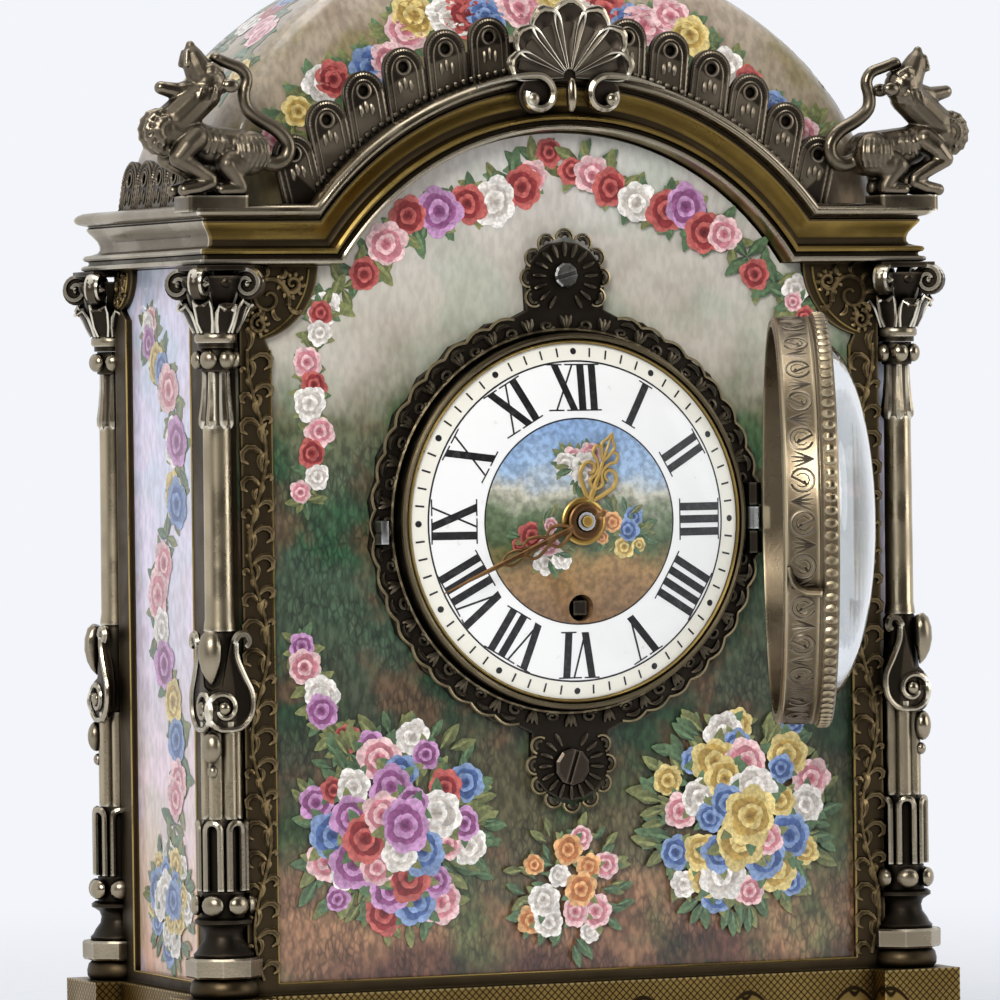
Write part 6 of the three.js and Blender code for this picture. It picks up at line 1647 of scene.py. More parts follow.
@dataclass
class Dial:
    """The convex enamel dial with its numerals, minute track and fine circles."""

    rim: float = -21.5
    crown: float = -23.85
    reach: float = 22.7
    winding_drop: float = 11.0
    winding_radius: float = 1.7
    numeral_low: float = 14.1
    numeral_high: float = 19.9
    thick: float = 1.0
    thin: float = 0.26
    numerals: tuple[str, ...] = ("XII", "I", "II", "III", "IIII", "V", "VI", "VII", "VIII", "IX", "X", "XI")

    def surface(self, radius: float) -> float:
        """Returns y of the dial's face at a distance from its centre."""
        return self.crown + (self.rim - self.crown) * (radius / LAYOUT.dial_radius) ** 2

    def lay(self, part: BMesh, turn: float) -> None:
        """Bends a flat drawing of (across, outwards) points onto the face, turned clockwise by degrees."""
        angle = math.radians(turn)
        for vert in part.verts:
            across, out = vert.co.x, vert.co.z
            x = across * math.cos(angle) + out * math.sin(angle)
            z = out * math.cos(angle) - across * math.sin(angle)
            vert.co = Vector((x, self.surface(math.hypot(x, z)) - 0.035, LAYOUT.dial_z + z))

    def stroke(self, part: BMesh, low: Point, high: Point, width: float) -> None:
        """Adds one straight stroke between two points, with level ends."""
        lean, rise = high[0] - low[0], high[1] - low[1]
        middle_x, middle_z = (low[0] + high[0]) / 2, (low[1] + high[1]) / 2
        slant = Matrix(((width, 0, lean, middle_x), (0, 1, 0, 0), (0, 0, rise, middle_z), (0, 0, 0, 1)))
        stand = turned_by(90.0, "X")
        bmesh.ops.create_grid(part, x_segments=1, y_segments=5, size=0.5, matrix=slant @ stand)

    def letter(self, part: BMesh, sign: str, middle: float) -> None:
        """Adds one letter with its hairline serifs, its top away from the centre."""
        low, high = self.numeral_low, self.numeral_high
        tips: list[Point] = []
        if sign == "I":
            self.stroke(part, (middle, low), (middle, high), self.thick)
            tips = [(middle, low), (middle, high)]
        elif sign == "V":
            self.stroke(part, (middle + 0.15, low), (middle - 1.15, high), self.thick)
            self.stroke(part, (middle + 0.15, low), (middle + 1.35, high), self.thin)
            tips = [(middle - 1.15, high), (middle + 1.35, high)]
        else:
            self.stroke(part, (middle + 1.2, low), (middle - 1.2, high), self.thick)
            self.stroke(part, (middle - 1.25, low), (middle + 1.25, high), self.thin)
            tips = [(middle + 1.2, low), (middle - 1.25, low), (middle - 1.2, high), (middle + 1.25, high)]
        for across, out in tips:
            self.stroke(part, (across, out - 0.09), (across, out + 0.09), 2.1)

    def writing(self) -> Shape:
        """Returns the numerals, the minute track and the circles as thin fired lines."""
        shape = Shape()
        widths = {"I": 1.6, "V": 3.2, "X": 3.1}
        for hour, word in enumerate(self.numerals):
            part = bmesh.new()
            place = -sum(widths[sign] for sign in word) / 2
            for sign in word:
                self.letter(part, sign, place + widths[sign] / 2)
                place += widths[sign]
            self.lay(part, 30.0 * hour)
            shape.take(part)
        for minute in range(60):
            part = bmesh.new()
            if minute % 5:
                self.stroke(part, (0, 20.95), (0, 22.1), 0.24)
            else:
                spot = moved(0, 0, 21.6) @ turned_by(90.0, "X")
                bmesh.ops.create_circle(part, cap_ends=True, segments=12, radius=0.42, matrix=spot)
            self.lay(part, 6.0 * minute)
            shape.take(part)
        for radius, width in ((13.06, 0.18), (20.35, 0.22)):
            part = bmesh.new()
            verts = [part.verts.new((radius + side * width / 2, 0, 0)) for side in (-1, 1)]
            edge = part.edges.new(verts)
            spin_round(part, [*verts, edge], Vector((0, 1, 0)), 120)
            self.lay(part, 0.0)
            shape.take(part)
        return shape

    def face(self) -> Shape:
        """Returns the enamel disc, turned round the arbor."""
        shape = Shape()
        profile = [(self.reach * n / 20, -self.surface(self.reach * n / 20)) for n in range(21)]
        profile += [(self.reach, 20.95), (0.0, 21.3)]
        profile[0] = (0.0, -self.crown)
        shape.turned(profile, 96, moved(0, 0, LAYOUT.dial_z) @ turned_by(90.0, "X"))
        return shape

    def build(self) -> None:
        """Makes the disc, pierces it for the winding square, and writes on it."""
        disc = scratch_object(self.face(), "dial_scratch")
        wide = self.winding_radius
        cutter = Shape()
        spot = moved(0, 0, LAYOUT.dial_z - self.winding_drop) @ turned_by(90.0, "X")
        cutter.turned([(0, 15.0), (wide, 15.0), (wide, 30.0), (0, 30.0)], 32, spot)
        tool = scratch_object(cutter, "dial_tool")
        bore = disc.modifiers.new("bore", "BOOLEAN")
        bore.object = tool
        bore.operation = "DIFFERENCE"
        mesh = settled_mesh(disc)
        for scratch in (disc, tool):
            bpy.data.objects.remove(scratch)
        mesh.materials.clear()
        place_piece(mesh, "convex_dial", [DIAL_WHITE], Slot.DIAL_ENAMEL, replaces=["dial"])
        self.writing().piece("dial_writing", [NUMERAL_INK], Slot.DIAL_ENAMEL)


@dataclass
class Hands:
    """The pierced gilt hour hand and the leafy brown minute hand."""

    hour_turn: float = 20.5
    minute_turn: float = 246.0
    hour_y: float = -24.42
    minute_y: float = -25.12
    hour_length: float = 11.9
    minute_length: float = 21.6

    def hub(self, shape: Shape, outer: float, inner: float, y: float) -> None:
        """Adds the ring round the arbor."""
        middle = (outer + inner) / 2
        half = (outer - inner) / 2
        turns = [math.tau * n / 12 for n in range(13)]
        profile = [(middle + half * math.cos(turn), 0.22 * math.sin(turn)) for turn in turns]
        shape.turned(profile, 40, moved(0, y, 0) @ turned_by(90.0, "X"))

    def scroll(self, shape: Shape, points: Sequence[Point], y: float, radius: float) -> None:
        """Adds one scroll on each side of the hand."""
        line = smooth_line(points, 4)
        count = len(line) - 1
        radii = [radius * (1.0 - 0.35 * n / count) for n in range(count + 1)]
        for side in (-1, 1):
            shape.tube(facing([(side * x, z) for x, z in line], y), radii, 6, flat=0.6)

    def stem(self, shape: Shape, y: float, heights: Sequence[float], radii: Sequence[float]) -> None:
        """Adds one straight stem along the hand."""
        shape.tube([(0, y, z) for z in heights], radii, 6, flat=0.6)

    def set_on(self, shape: Shape, turn: float) -> None:
        """Turns a hand to its hour and sets it on the arbor."""
        place = moved(0, 0, LAYOUT.dial_z) @ turned_by(turn, "Y")
        bmesh.ops.transform(shape.bm, matrix=place, verts=shape.bm.verts)

    def build(self) -> None:
        """Makes both hands."""
        hour, y = Shape(), self.hour_y
        self.hub(hour, 3.05, 1.8, y)
        outer = [(0.35, 2.9), (1.5, 4.1), (2.5, 5.6), (2.2, 7.1), (1.1, 7.3), (0.8, 6.4), (1.4, 6.0)]
        inner = [(0.2, 4.4), (0.9, 5.2), (0.3, 6.6), (0.9, 8.0), (1.7, 8.6), (1.6, 9.6), (0.8, 9.6)]
        tip = [(0.1, 8.2), (0.6, 9.2), (0.9, 10.2), (0.4, 11.0), (0.0, self.hour_length)]
        for points, radius in ((outer, 0.34), (inner, 0.3), (tip, 0.27)):
            self.scroll(hour, points, y, radius)
        self.stem(hour, y, (2.6, 7.0, self.hour_length), [0.45, 0.3, 0.12])
        self.set_on(hour, self.hour_turn)
        hour.piece("pierced_hour_hand", [HAND_GILT], Slot.GILT, "hour_pipe", ["hour_hand"])
        minute, y = Shape(), self.minute_y
        self.hub(minute, 2.35, 1.2, y)
        self.scroll(minute, [(0.2, 2.2), (1.0, 3.4), (1.3, 4.8), (0.5, 5.6), (0.3, 4.8)], y, 0.28)
        self.scroll(minute, [(0.1, 5.4), (0.9, 6.6), (1.3, 8.2), (0.6, 9.2), (0.3, 8.2)], y, 0.26)
        self.scroll(minute, [(0.1, 9.0), (0.7, 10.2), (0.8, 11.6), (0.2, 12.6)], y, 0.22)
        self.stem(minute, y, (2.0, 8.0, 13.0, self.minute_length), [0.42, 0.36, 0.34, 0.08])
        self.stem(minute, y, (-3.2, -2.6, -1.6), [0.2, 0.5, 0.4])
        self.set_on(minute, self.minute_turn)
        minute.piece("leafy_minute_hand", [HAND_BROWN], Slot.BLUED_STEEL, "centre_arbor", ["minute_hand"])


@dataclass
class Door:
    """The hinged bezel: engraved band, milled rim, thumb lip, knuckle and domed glass, standing open."""

    hinge_x: float = 25.4
    hinge_y: float = -20.85
    back: float = -22.1
    opening: float = 67.5
    radius: float = 25.4
    units: int = 30
    crown: float = 6.9
    beads: int = 104

    def place(self) -> Matrix:
        """Returns the turn that brings the ring, drawn round its own axis, to its open place."""
        hinge = moved(self.hinge_x, self.hinge_y, 0)
        shut = moved(0, self.back, LAYOUT.dial_z) @ turned_by(90.0, "X")
        return hinge @ turned_by(self.opening, "Z") @ moved(-self.hinge_x, -self.hinge_y, 0) @ shut

    def wrap(self, points: Sequence[Point], out: float = -0.02) -> list[Vector]:
        """Rolls (along, height) points round the band."""
        reach = self.radius + out
        rolled = []
        for along, height in points:
            turn = along / self.radius
            rolled.append(Vector((reach * math.cos(turn), reach * math.sin(turn), height)))
        return rolled

    def ring(self, shape: Shape) -> None:
        """Adds the turned ring itself."""
        profile = [
            (24.3, 0.0), (25.1, 0.0), (25.4, 0.25), (25.4, 4.55), (25.5, 4.8), (25.7, 5.0), (25.7, 6.6),
            (25.5, 6.85), (25.0, 6.9), (23.1, 6.9), (22.8, 6.7), (22.8, 6.1), (23.1, 5.9), (24.3, 5.9),
            (24.3, 0.0),
        ]
        shape.turned(profile, 128)
        for height in (0.4, 4.4):
            loop = [(math.tau * self.radius * n / 120, height) for n in range(120)]
            shape.tube(self.wrap(loop), 0.16, 5, (0, 0, 1), closed=True)

    def engraving(self, shape: Shape) -> None:
        """Adds the loops and fan leaves round the band."""
        pitch = math.tau * self.radius / self.units
        for number in range(self.units):
            start = pitch * number
            flip = -1 if number % 2 else 1
            loop = arc((0, 0), 1.45, -70, 250, 14) + [(0.55, 0.55), (0.1, 0.2)]
            points = self.wrap([(start + x, 2.4 + flip * z) for x, z in loop])
            outward = bearing(start / self.radius)
            shape.tube(points, 0.17, 5, outward, finish=THIRD)
            inner = self.wrap([(start + x, 2.4 + flip * z) for x, z in arc((0, 0), 0.85, -50, 230, 8)])
            shape.tube(inner, 0.11, 4, outward, finish=THIRD)
            foot = (start + pitch / 2, 2.4 - flip * 1.5)
            for lean in (-1.0, -0.35, 0.35, 1.0):
                tall = flip * 3.0 / (1 + 0.2 * abs(lean))
                leaf = [(foot[0] + lean * s, foot[1] + tall * s) for s in (0.0, 0.35, 0.7, 1.0)]
                shape.tube(self.wrap(leaf), [0.1, 0.17, 0.17, 0.08], 4, outward, finish=THIRD)

    def milling(self, shape: Shape) -> None:
        """Adds the milled beads of the rim."""
        bead = Shape()
        bead.ball((25.75, 0, 5.8), (0.35, 0.66, 0.85), 6)
        shape.stamp(bead, [turned_by(360.0 * n / self.beads, "Z") for n in range(self.beads)])

    def fittings(self, shape: Shape) -> None:
        """Adds the knuckle with its web, and the curled thumb lip."""
        knuckle = [(0.55, -1.4), (1.2, -1.4), (1.2, 1.4), (0.55, 1.4), (0.55, -1.4)]
        pin = moved(self.radius, 0, self.back - self.hinge_y) @ turned_by(-90.0, "X")
        shape.turned(knuckle, 24, pin, finish=SECOND)
        web = [(24.3, 0.05), (25.3, 0.05), (25.3, 0.75), (24.3, 0.75)]
        rings = [[Vector((x, y, h)) for x, h in web] for y in (-1.35, 1.35)]
        shape.sweep(rings, finish=SECOND)
        turn = math.radians(180.0 + 18.4)
        path = (
            (-2.8, 0.6, 0.1), (-1.9, 0.8, 0.3), (-1.0, 1.2, 0.6), (-0.35, 1.9, 0.9), (0.0, 2.8, 1.1),
            (0.1, 4.6, 1.1),
        )
        points = [self.wrap([(turn * self.radius + s, h)], out)[0] for s, h, out in path]
        shape.tube(points, [0.25, 0.35, 0.45, 0.5, 0.52, 0.5], 8, bearing(turn), 1.7)

    def bow(self, radius: float, height: float) -> list[Point]:
        """Returns one face of the glass from its edge to its crown."""
        turns = [math.pi / 2 * n / 16 for n in range(17)]
        line = [(radius * math.cos(turn), height + self.crown * math.sin(turn)) for turn in turns]
        line[-1] = (0.0, line[-1][1])
        return line

    def glass(self) -> Shape:
        """Returns the domed glass."""
        shape = Shape()
        inside = self.bow(21.5, 4.75)
        profile = [*reversed(inside), (24.1, 4.75), (24.1, 5.85), *self.bow(22.6, 5.85)]
        shape.turned(profile, 96, self.place())
        return shape

    def build(self) -> None:
        """Makes the ring and the glass."""
        shape = Shape()
        for step in (self.ring, self.engraving, self.milling, self.fittings):
            step(shape)
        bmesh.ops.transform(shape.bm, matrix=self.place(), verts=shape.bm.verts)
        shape.piece("engraved_bezel", [DOOR_SILVER, STEEL, DARK], Slot.SILVER, "bezel_door", ["bezel_ring"])
        self.glass().piece("domed_glass", [GLASS], Slot.GLASS, "bezel_door", ["bezel_glass"])


class Bloom(Enum):
    """The painted flowers' colours, from the heart outwards."""

    CRIMSON = (tint(88, 24, 28), tint(148, 50, 52), tint(196, 104, 96))
    MAGENTA = (tint(98, 40, 82), tint(148, 86, 134), tint(198, 152, 192))
    ROSE = (tint(156, 74, 88), tint(204, 134, 142), tint(232, 198, 196))
    YELLOW = (tint(124, 92, 40), tint(188, 156, 80), tint(222, 202, 136))
    BLUE = (tint(40, 54, 98), tint(76, 102, 152), tint(138, 160, 196))
    WHITE = (tint(164, 152, 140), tint(206, 198, 188), tint(238, 232, 224))
    ORANGE = (tint(140, 72, 36), tint(194, 122, 70), tint(226, 178, 122))


class Painting:
    """Flowers and leaves painted on an enamelled surface, a stroke at a time."""

    ground: float = 0.03
    stroke: float = 0.00015

    def __init__(self, seed: int, target: Target, snap: Snap | None = None) -> None:
        """Starts a painting.

        Args:
            seed: the start of the hand's small irregularities.
            target: gives the surface point and its outward normal for a place across and up.
            snap: gives the nearest surface point and its outward normal, where the surface is curved.
        """
        self.snap = snap
        self.hand = random.Random(seed)
        self.target = target
        self.depth = self.ground
        self.whole = bmesh.new()
        self.start()

    def start(self) -> None:
        """Opens a fresh sheet for the next strokes."""
        self.bm = bmesh.new()
        self.tone = self.bm.verts.layers.float_color.new("paint")

    def settle(self) -> None:
        """Adds the sheet's strokes to the whole painting, because small sheets are quicker to work on."""
        sheet = bpy.data.meshes.new("sheet")
        self.bm.to_mesh(sheet)
        self.bm.free()
        self.whole.from_mesh(sheet)
        bpy.data.meshes.remove(sheet)
        self.start()

    def shade(self, tones: tuple[Colour, Colour], share: float, flicker: float = 1.0) -> list[float]:
        """Returns a colour between two, a little lighter or darker by the flicker."""
        mixed = [(a + (b - a) * share) * flicker for a, b in zip(tones[0][:3], tones[1][:3])]
        return [min(1.0, part) for part in mixed] + [1.0]

    def dab(
        self,
        spot: Point,
        turn: float,
        length: float,
        width: float,
        tones: tuple[Colour, Colour],
        pinch: float = 0.0,
    ) -> None:
        """Lays one petal-shaped dab over those before it.

        Args:
            spot: where it starts, across and up.
            turn: its direction in degrees.
            length: its length.
            width: its width.
            tones: its colours at the start and at the end.
            pinch: how pointed its ends are.
        """
        point, normal = self.target(*spot)
        side = UP.cross(normal).normalized()
        lift = normal.cross(side).normalized()
        angle = math.radians(turn)
        along = side * math.cos(angle) + lift * math.sin(angle)
        across = normal.cross(along)
        self.depth += self.stroke
        middle = point + along * length / 2 + normal * self.depth
        made = bmesh.ops.create_circle(self.bm, cap_ends=True, cap_tris=True, segments=10, radius=1.0)
        flicker = self.hand.uniform(0.74, 1.08)
        for vert in made["verts"]:
            u, v = vert.co.x, vert.co.y
            vert[self.tone] = self.shade(tones, (u + 1) / 2, flicker)
            vert.co = middle + along * (u * length / 2) + across * (v * width / 2 * (1.0 - pinch * u * u))
            if self.snap:
                point, normal = self.snap(vert.co)
                vert.co = point + normal * self.depth

    def rose(self, spot: Point, radius: float, bloom: Bloom) -> None:
        """Paints one open flower."""
        heart, body, light = bloom.value
        start = self.hand.uniform(0, 360)
        rounds = (
            (7, 1.0, 0.95, (body, light)), (6, 0.72, 0.8, (heart, body)),
            (5, 0.46, 0.55, (body, light)), (4, 0.26, 0.36, (heart, body)),
        )
        for petals, reach, wide, tones in rounds:
            for number in range(petals):
                turn = start + 360.0 * number / petals + self.hand.uniform(-9, 9)
                size = radius * reach * self.hand.uniform(0.88, 1.1)
                self.dab(spot, turn, size, radius * wide, tones, 0.1)
            start += 31.0
        self.settle()

    def leaf(self, spot: Point, turn: float, length: float) -> None:
        """Paints one leaf with a lighter half."""
        pick = self.hand.random()
        dark = tint(40, 56, 40) if pick < 0.5 else tint(58, 66, 40)
        light = tint(98, 124, 88) if pick < 0.5 else tint(132, 136, 86)
        self.dab(spot, turn, length, length * 0.42, (dark, light), 0.7)
        self.dab(spot, turn + 6, length * 0.8, length * 0.12, (light, light), 0.7)

    def spray(self, spot: Point, reach: float, blooms: Sequence[Bloom], count: int, size: float) -> None:
        """Paints a bouquet: leaves first, then flowers from the outside towards the middle."""
        x, z = spot
        for _ in range(count * 3):
            turn = self.hand.uniform(0, 360)
            out = 0.85 * reach * math.sqrt(self.hand.uniform(0.2, 1.0))
            start = (x + out * math.cos(math.radians(turn)), z + out * math.sin(math.radians(turn)))
            self.leaf(start, turn + self.hand.uniform(-35, 35), size * self.hand.uniform(0.9, 1.4))
        for number in reversed(range(count)):
            out = reach * math.sqrt((number + 0.5) / count) * 0.82
            turn = math.radians(137.5 * number + self.hand.uniform(-12, 12))
            big = size * self.hand.uniform(0.6, 1.15) * (1.15 - 0.35 * out / reach)
            flower = (x + out * math.cos(turn), z + out * math.sin(turn))
            for twist in (50.0, 190.0, 300.0):
                self.leaf(flower, math.degrees(turn) + twist + self.hand.uniform(-30, 30), big * 1.35)
            self.rose(flower, big, blooms[number % len(blooms)])

    def garland(self, points: Sequence[Point], blooms: Sequence[Bloom], size: float) -> None:
        """Paints a hanging garland: leaves to both sides of a line, then flowers along it."""
        line = smooth_line(points, 6)
        for number, (x, z) in enumerate(line):
            for turn in (60.0, 150.0, 240.0, 330.0):
                self.leaf((x, z), turn + 37.0 * number, size * self.hand.uniform(1.2, 1.7))
        length = sum(math.dist(here, after) for here, after in zip(line, line[1:]))
        count = max(3, int(length / (size * 1.25)))
        for number in range(count):
            x, z = line[min(len(line) - 1, int(number * len(line) / count))]
            spot = (x + self.hand.uniform(-0.5, 0.5) * size, z + self.hand.uniform(-0.5, 0.5) * size)
            swell = 0.75 + 0.4 * math.sin(math.pi * (number + 0.5) / count)
            big = size * swell * self.hand.uniform(0.85, 1.1)
            self.rose(spot, big, blooms[number % len(blooms)])

    def piece(self, name: str, slot: Slot) -> None:
        """Finishes the painting as a piece on the case."""
        self.settle()
        bmesh.ops.scale(self.whole, vec=(MM, MM, MM), verts=self.whole.verts)
        mesh = bpy.data.meshes.new(name)
        self.whole.to_mesh(mesh)
        self.whole.free()
        self.bm.free()
        place_piece(mesh, name, [PETALS], slot)


@dataclass
class Enamels:
    """The painted panels: garlands and bouquets of a plain decorative kind."""

    seed: int = 7

    def wall(self, side: Side, distance: float) -> Target:
        """Returns the target of a flat wall."""
        turn = turned_by(side.value, "Z")
        normal = (turn.to_3x3() @ FORWARD).normalized()
        return lambda x, z: (turn @ Vector((x, -distance, z)), normal)

    def curved(self, tree: BVHTree, side: Side) -> Target:
        """Returns the target of one side of the dome, found by looking at it squarely."""
        turn = turned_by(side.value, "Z")

        def target(x: float, z: float) -> tuple[Vector, Vector]:
            """Returns the dome's point and outward normal at one place."""
            start = turn @ Vector((x * MM, -0.2, z * MM))
            spot, normal, _, _ = tree.ray_cast(start, turn @ Vector((0.0, 1.0, 0.0)))
            if spot is None:
                spot, normal, _, _ = tree.find_nearest(turn @ Vector((x * MM, 0.0, z * MM)))
            return spot / MM, normal

        return target

    def front(self, side: Side) -> None:
        """Paints the front or the back: festoons above, drops at the sides and bouquets below."""
        art = Painting(self.seed + side.value, self.wall(side, -LAYOUT.panel_y))
        drop = 22.0 if side is Side.BACK else 0.0
        festoon = [Bloom.CRIMSON, Bloom.ROSE, Bloom.CRIMSON, Bloom.WHITE, Bloom.CRIMSON, Bloom.MAGENTA]
        cool = [Bloom.MAGENTA, Bloom.ROSE, Bloom.WHITE, Bloom.MAGENTA, Bloom.CRIMSON, Bloom.BLUE]
        warm = [Bloom.YELLOW, Bloom.BLUE, Bloom.YELLOW, Bloom.WHITE, Bloom.BLUE, Bloom.ROSE]
        pale = [Bloom.ROSE, Bloom.CRIMSON, Bloom.WHITE]
        swag = ((2.5, 126.5), (12.0, 121.5), (22.0, 117.5), (33.0, 108.0))
        fall = ((33.0, 108.0), (35.0, 100.0), (34.0, 92.0), (35.5, 84.0))
        low = ((36.5, 66.0), (34.0, 58.0), (30.0, 52.0))
        for mirror in (-1, 1):
            blooms = cool if mirror < 0 else warm
            art.garland([(mirror * x, z - drop) for x, z in swag], festoon, 2.7)
            art.garland([(mirror * x, z - drop) for x, z in fall], pale, 1.9)
            art.garland([(mirror * x, z) for x, z in low], blooms, 2.2)
            art.spray((mirror * 24.0, 42.5), 14.5, blooms, 34, 3.2)
        art.spray((0.0, 34.0), 8.5, [Bloom.ORANGE, Bloom.WHITE, Bloom.ROSE], 13, 2.4)
        art.piece(f"garlands_{side.name.lower()}", Slot.FRONT_ENAMEL)

    def flank(self, side: Side) -> None:
        """Paints a side panel: one hanging garland of pale flowers."""
        art = Painting(self.seed + side.value, self.wall(side, LAYOUT.side_panel_x))
        blooms = [Bloom.ROSE, Bloom.WHITE, Bloom.MAGENTA, Bloom.YELLOW, Bloom.BLUE, Bloom.ROSE]
        tail = [(-6.0, 106.0), (0.0, 100.0), (5.0, 88.0), (-4.0, 70.0), (4.0, 52.0), (-2.0, 36.0)]
        art.garland(tail, blooms, 3.0)
        art.spray((0.0, 33.0), 8.0, [Bloom.BLUE, Bloom.WHITE, Bloom.YELLOW], 18, 2.7)
        art.piece(f"garlands_{side.name.lower()}", Slot.SIDE_ENAMEL)

    def dome(self, dome: Object) -> None:
        """Paints the dome: a swag along each side."""
        tree = BVHTree.FromObject(dome, bpy.context.evaluated_depsgraph_get())

        def snap(spot: Vector) -> tuple[Vector, Vector]:
            """Returns the dome's nearest point and its outward normal."""
            near, normal, _, _ = tree.find_nearest(spot * MM)
            return near / MM, normal

        blooms = [Bloom.ROSE, Bloom.YELLOW, Bloom.WHITE, Bloom.CRIMSON, Bloom.BLUE, Bloom.ROSE]
        for side in Side:
            long_side = side in (Side.FRONT, Side.BACK)
            half, drop, count = (38.0, 19.0, 13) if long_side else (9.5, 11.4, 4)
            art = Painting(self.seed + 40 + side.value, self.curved(tree, side), snap)
            line = []
            for number in range(count):
                share = 2.0 * number / (count - 1) - 1.0
                line.append((half * share, 147.5 - drop * share * share + 1.8 * math.sin(number * 2.2)))
            art.garland(line, blooms, 3.0)
            art.piece(f"garlands_dome_{side.name.lower()}", Slot.DOME_ENAMEL)

    def centre(self) -> None:
        """Paints little sprays of flowers in the middle of the dial."""
        dial = Dial()

        def target(x: float, z: float) -> tuple[Vector, Vector]:
            """Returns the dial's point and outward normal at one place."""
            radius = math.hypot(x, z - LAYOUT.dial_z)
            return Vector((x, dial.surface(radius), z)), FORWARD

        art = Painting(self.seed + 90, target)
        for spot, reach, blooms in (
            ((-5.5, 78.0), 4.2, [Bloom.ROSE, Bloom.CRIMSON, Bloom.WHITE]),
            ((5.5, 79.5), 4.0, [Bloom.BLUE, Bloom.ORANGE, Bloom.YELLOW]),
            ((0.0, 88.0), 3.0, [Bloom.WHITE, Bloom.ROSE]),
        ):
            art.spray(spot, reach, blooms, 6, 1.8)
        art.piece("garlands_dial", Slot.DIAL_ENAMEL)

    def build(self, dome: Object) -> None:
        """Paints every enamelled surface."""
        for side in (Side.FRONT, Side.BACK):
            self.front(side)
        for side in (Side.LEFT, Side.RIGHT):
            self.flank(side)
        self.dome(dome)
        self.centre()
        dress(FRONT_ENAMEL, "front_panel", "back_panel")
        dress(SIDE_ENAMEL, "left_panel", "right_panel")


@dataclass
class Movement:
    """Finishes of the movement, whose CAD shapes are kept."""

    brass: tuple[str, ...] = (
        "movement_front_plate", "movement_back_plate", "barrel", "centre_wheel", "third_wheel",
        "fourth_wheel", "escape_wheel", "balance", "balance_cock", "minute_wheel", "hour_wheel",
    )
    steel: tuple[str, ...] = ("mainspring", "click", "hairspring", "cannon_pinion")

    def build(self) -> None:
        """Dresses the wheels, plates, springs and arbors."""
        dress(BRASS, *self.brass)
        dress(STEEL, *self.steel)
        dress(SEAT, "winding_arbor")


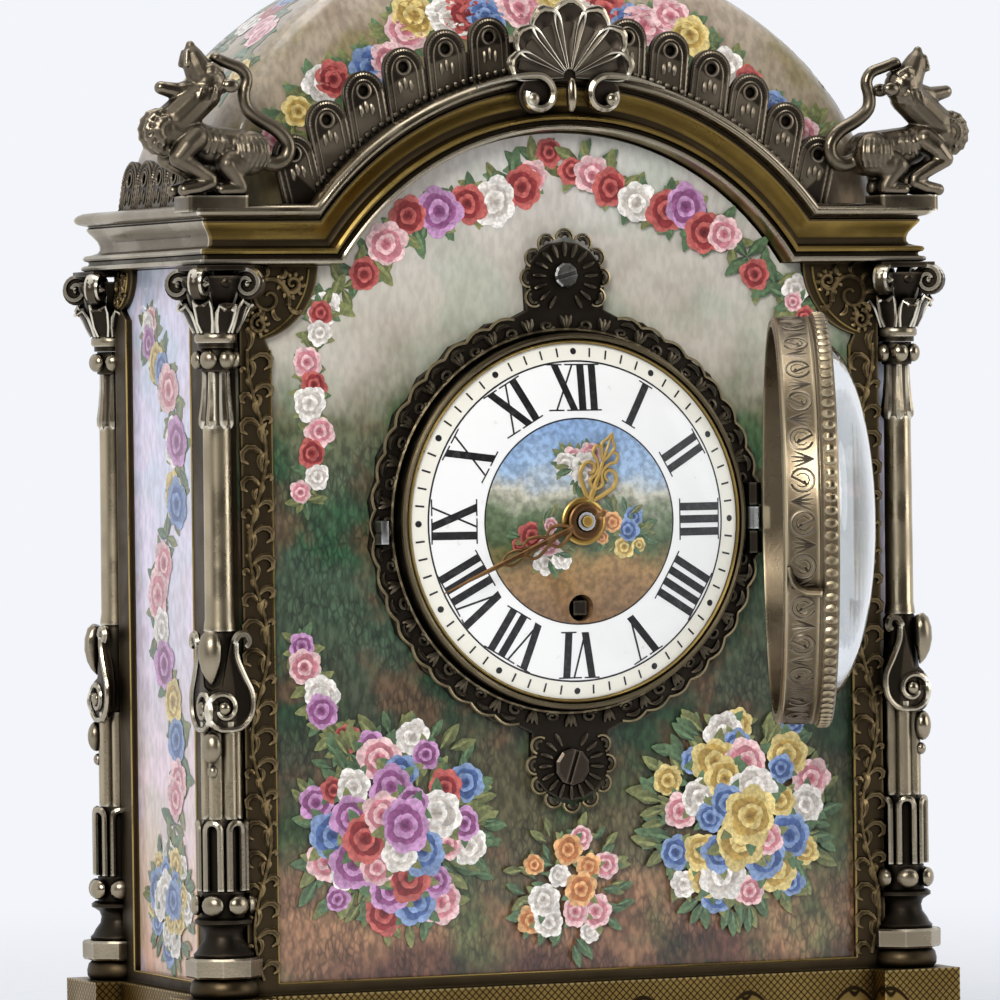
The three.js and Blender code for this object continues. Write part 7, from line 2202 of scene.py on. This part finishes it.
@dataclass
class Studio:
    """The pale floor, the soft light and the camera at the photograph's angle."""

    yaw: float = 0.408
    pitch: float = 0.013
    roll: float = -0.013
    focal: float = 7.526
    sensor: float = 36.0
    across: float = -0.877
    up: float = 83.342
    distance: float = 977.4
    backdrop: Colour = tint(243, 245, 250)
    dim_room: Colour = tint(66, 63, 60)
    sky: Colour = tint(180, 182, 186)
    floor_tones: tuple[Colour, Colour] = (tint(226, 228, 232), tint(230, 231, 235))
    floor_radius: float = 0.7
    floor_fade: tuple[float, float] = (0.12, 0.5)
    aim_height: float = 0.085
    lamps: tuple[tuple[str, tuple[float, float, float], float, float], ...] = (
        ("key", (-0.55, -0.75, 0.6), 0.5, 8.5),
        ("fill", (0.8, -0.5, 0.3), 0.6, 2.5),
        ("top", (0.0, 0.1, 0.9), 0.6, 2.5),
    )

    def camera(self) -> None:
        """Sets the camera."""
        data = bpy.data.cameras.new("camera")
        data.sensor_width = self.sensor
        data.lens = self.focal * self.sensor
        data.clip_start = 0.01
        camera = bpy.data.objects.new("camera", data)
        sin_yaw, cos_yaw = math.sin(self.yaw), math.cos(self.yaw)
        sin_pitch, cos_pitch = math.sin(self.pitch), math.cos(self.pitch)
        right = Vector((cos_yaw, -sin_yaw, 0.0))
        forward = Vector((cos_pitch * sin_yaw, cos_pitch * cos_yaw, -sin_pitch))
        above = Vector((sin_pitch * sin_yaw, sin_pitch * cos_yaw, cos_pitch))
        spot = (right * self.across + above * self.up - forward * self.distance) * MM
        turn = Matrix((right, above, -forward)).transposed().to_4x4()
        camera.matrix_world = Matrix.Translation(spot) @ turn @ Matrix.Rotation(self.roll, 4, "Z")
        bpy.context.scene.collection.objects.link(camera)
        bpy.context.scene.camera = camera

    def world(self) -> None:
        """Sets a pale backdrop, a dim room that gloss alone sees, and an even sky that lights the rest."""
        world = bpy.data.worlds.new("studio")
        bpy.context.scene.world = world
        world.use_nodes = True
        graph = Graph(world.node_tree)
        shade = graph.tree.nodes["Background"]
        rays = graph.add("ShaderNodeLightPath")
        direct = graph.math("MAXIMUM", rays.outputs["Is Camera Ray"], rays.outputs["Is Transmission Ray"])
        seen = graph.math("MAXIMUM", direct, rays.outputs["Is Glossy Ray"])
        aim = graph.axes(graph.add("ShaderNodeTexCoord").outputs["Generated"])
        room = graph.math("MAXIMUM", direct, graph.spread(aim["Y"], -0.7, 0.2))
        backdrop = graph.blend(room, self.dim_room, self.backdrop)
        graph.feed(shade.inputs["Color"], graph.blend(seen, self.sky, backdrop))
        graph.fix(shade, {"Strength": 1.0})

    def lamp(self, name: str, spot: Sequence[float], size: float, power: float) -> None:
        """Adds one soft lamp aimed at the clock's middle."""
        data = bpy.data.lights.new(name, "AREA")
        data.shape = "DISK"
        data.size = size
        data.energy = power
        lamp = bpy.data.objects.new(name, data)
        aim = Vector((0.0, 0.0, self.aim_height)) - Vector(spot)
        lamp.matrix_world = Matrix.Translation(spot) @ aim.to_track_quat("-Z", "Y").to_matrix().to_4x4()
        bpy.context.scene.collection.objects.link(lamp)

    def floor(self) -> None:
        """Lays a pale floor that keeps the clock's shadow and fades into the backdrop."""
        bm = bmesh.new()
        bmesh.ops.create_circle(bm, cap_ends=True, segments=64, radius=self.floor_radius)
        mesh = bpy.data.meshes.new("floor")
        bm.to_mesh(mesh)
        bm.free()
        floor = bpy.data.objects.new("floor", mesh)
        bpy.context.scene.collection.objects.link(floor)
        material = bpy.data.materials.new("pale floor")
        material.use_nodes = True
        graph = Graph(material.node_tree)
        shader = graph.tree.nodes["Principled BSDF"]
        where = graph.place()
        speck = graph.clouds(where, 300.0, 3.0, 0.3, 0.7)
        graph.feed(shader.inputs["Base Color"], graph.blend(speck, *self.floor_tones))
        graph.fix(shader, {"Roughness": 0.8})
        fade = graph.spread(graph.length(where), *self.floor_fade)
        glow = graph.add("ShaderNodeEmission", {"Color": self.backdrop, "Strength": 1.0})
        mix = graph.add("ShaderNodeMixShader", {"Fac": fade, 1: shader.outputs[0], 2: glow.outputs[0]})
        graph.feed(graph.tree.nodes["Material Output"].inputs["Surface"], mix.outputs[0])
        mesh.materials.append(material)

    def build(self) -> None:
        """Sets up the studio."""
        bpy.context.scene.view_settings.view_transform = "Standard"
        self.camera()
        self.world()
        for lamp in self.lamps:
            self.lamp(*lamp)
        self.floor()


def main() -> None:
    """Builds the studio and every piece of the clock."""
    logging.basicConfig(level=logging.INFO, format="%(message)s")
    Studio().build()
    for part in (Base, Columns, Cornice, Gallery, Crest, Beasts, Frames, Seat, Dial, Hands, Door):
        part().build()
    dome = Roof().build()
    Enamels().build(dome)
    Movement().build()


if __name__ == "__main__":
    main()
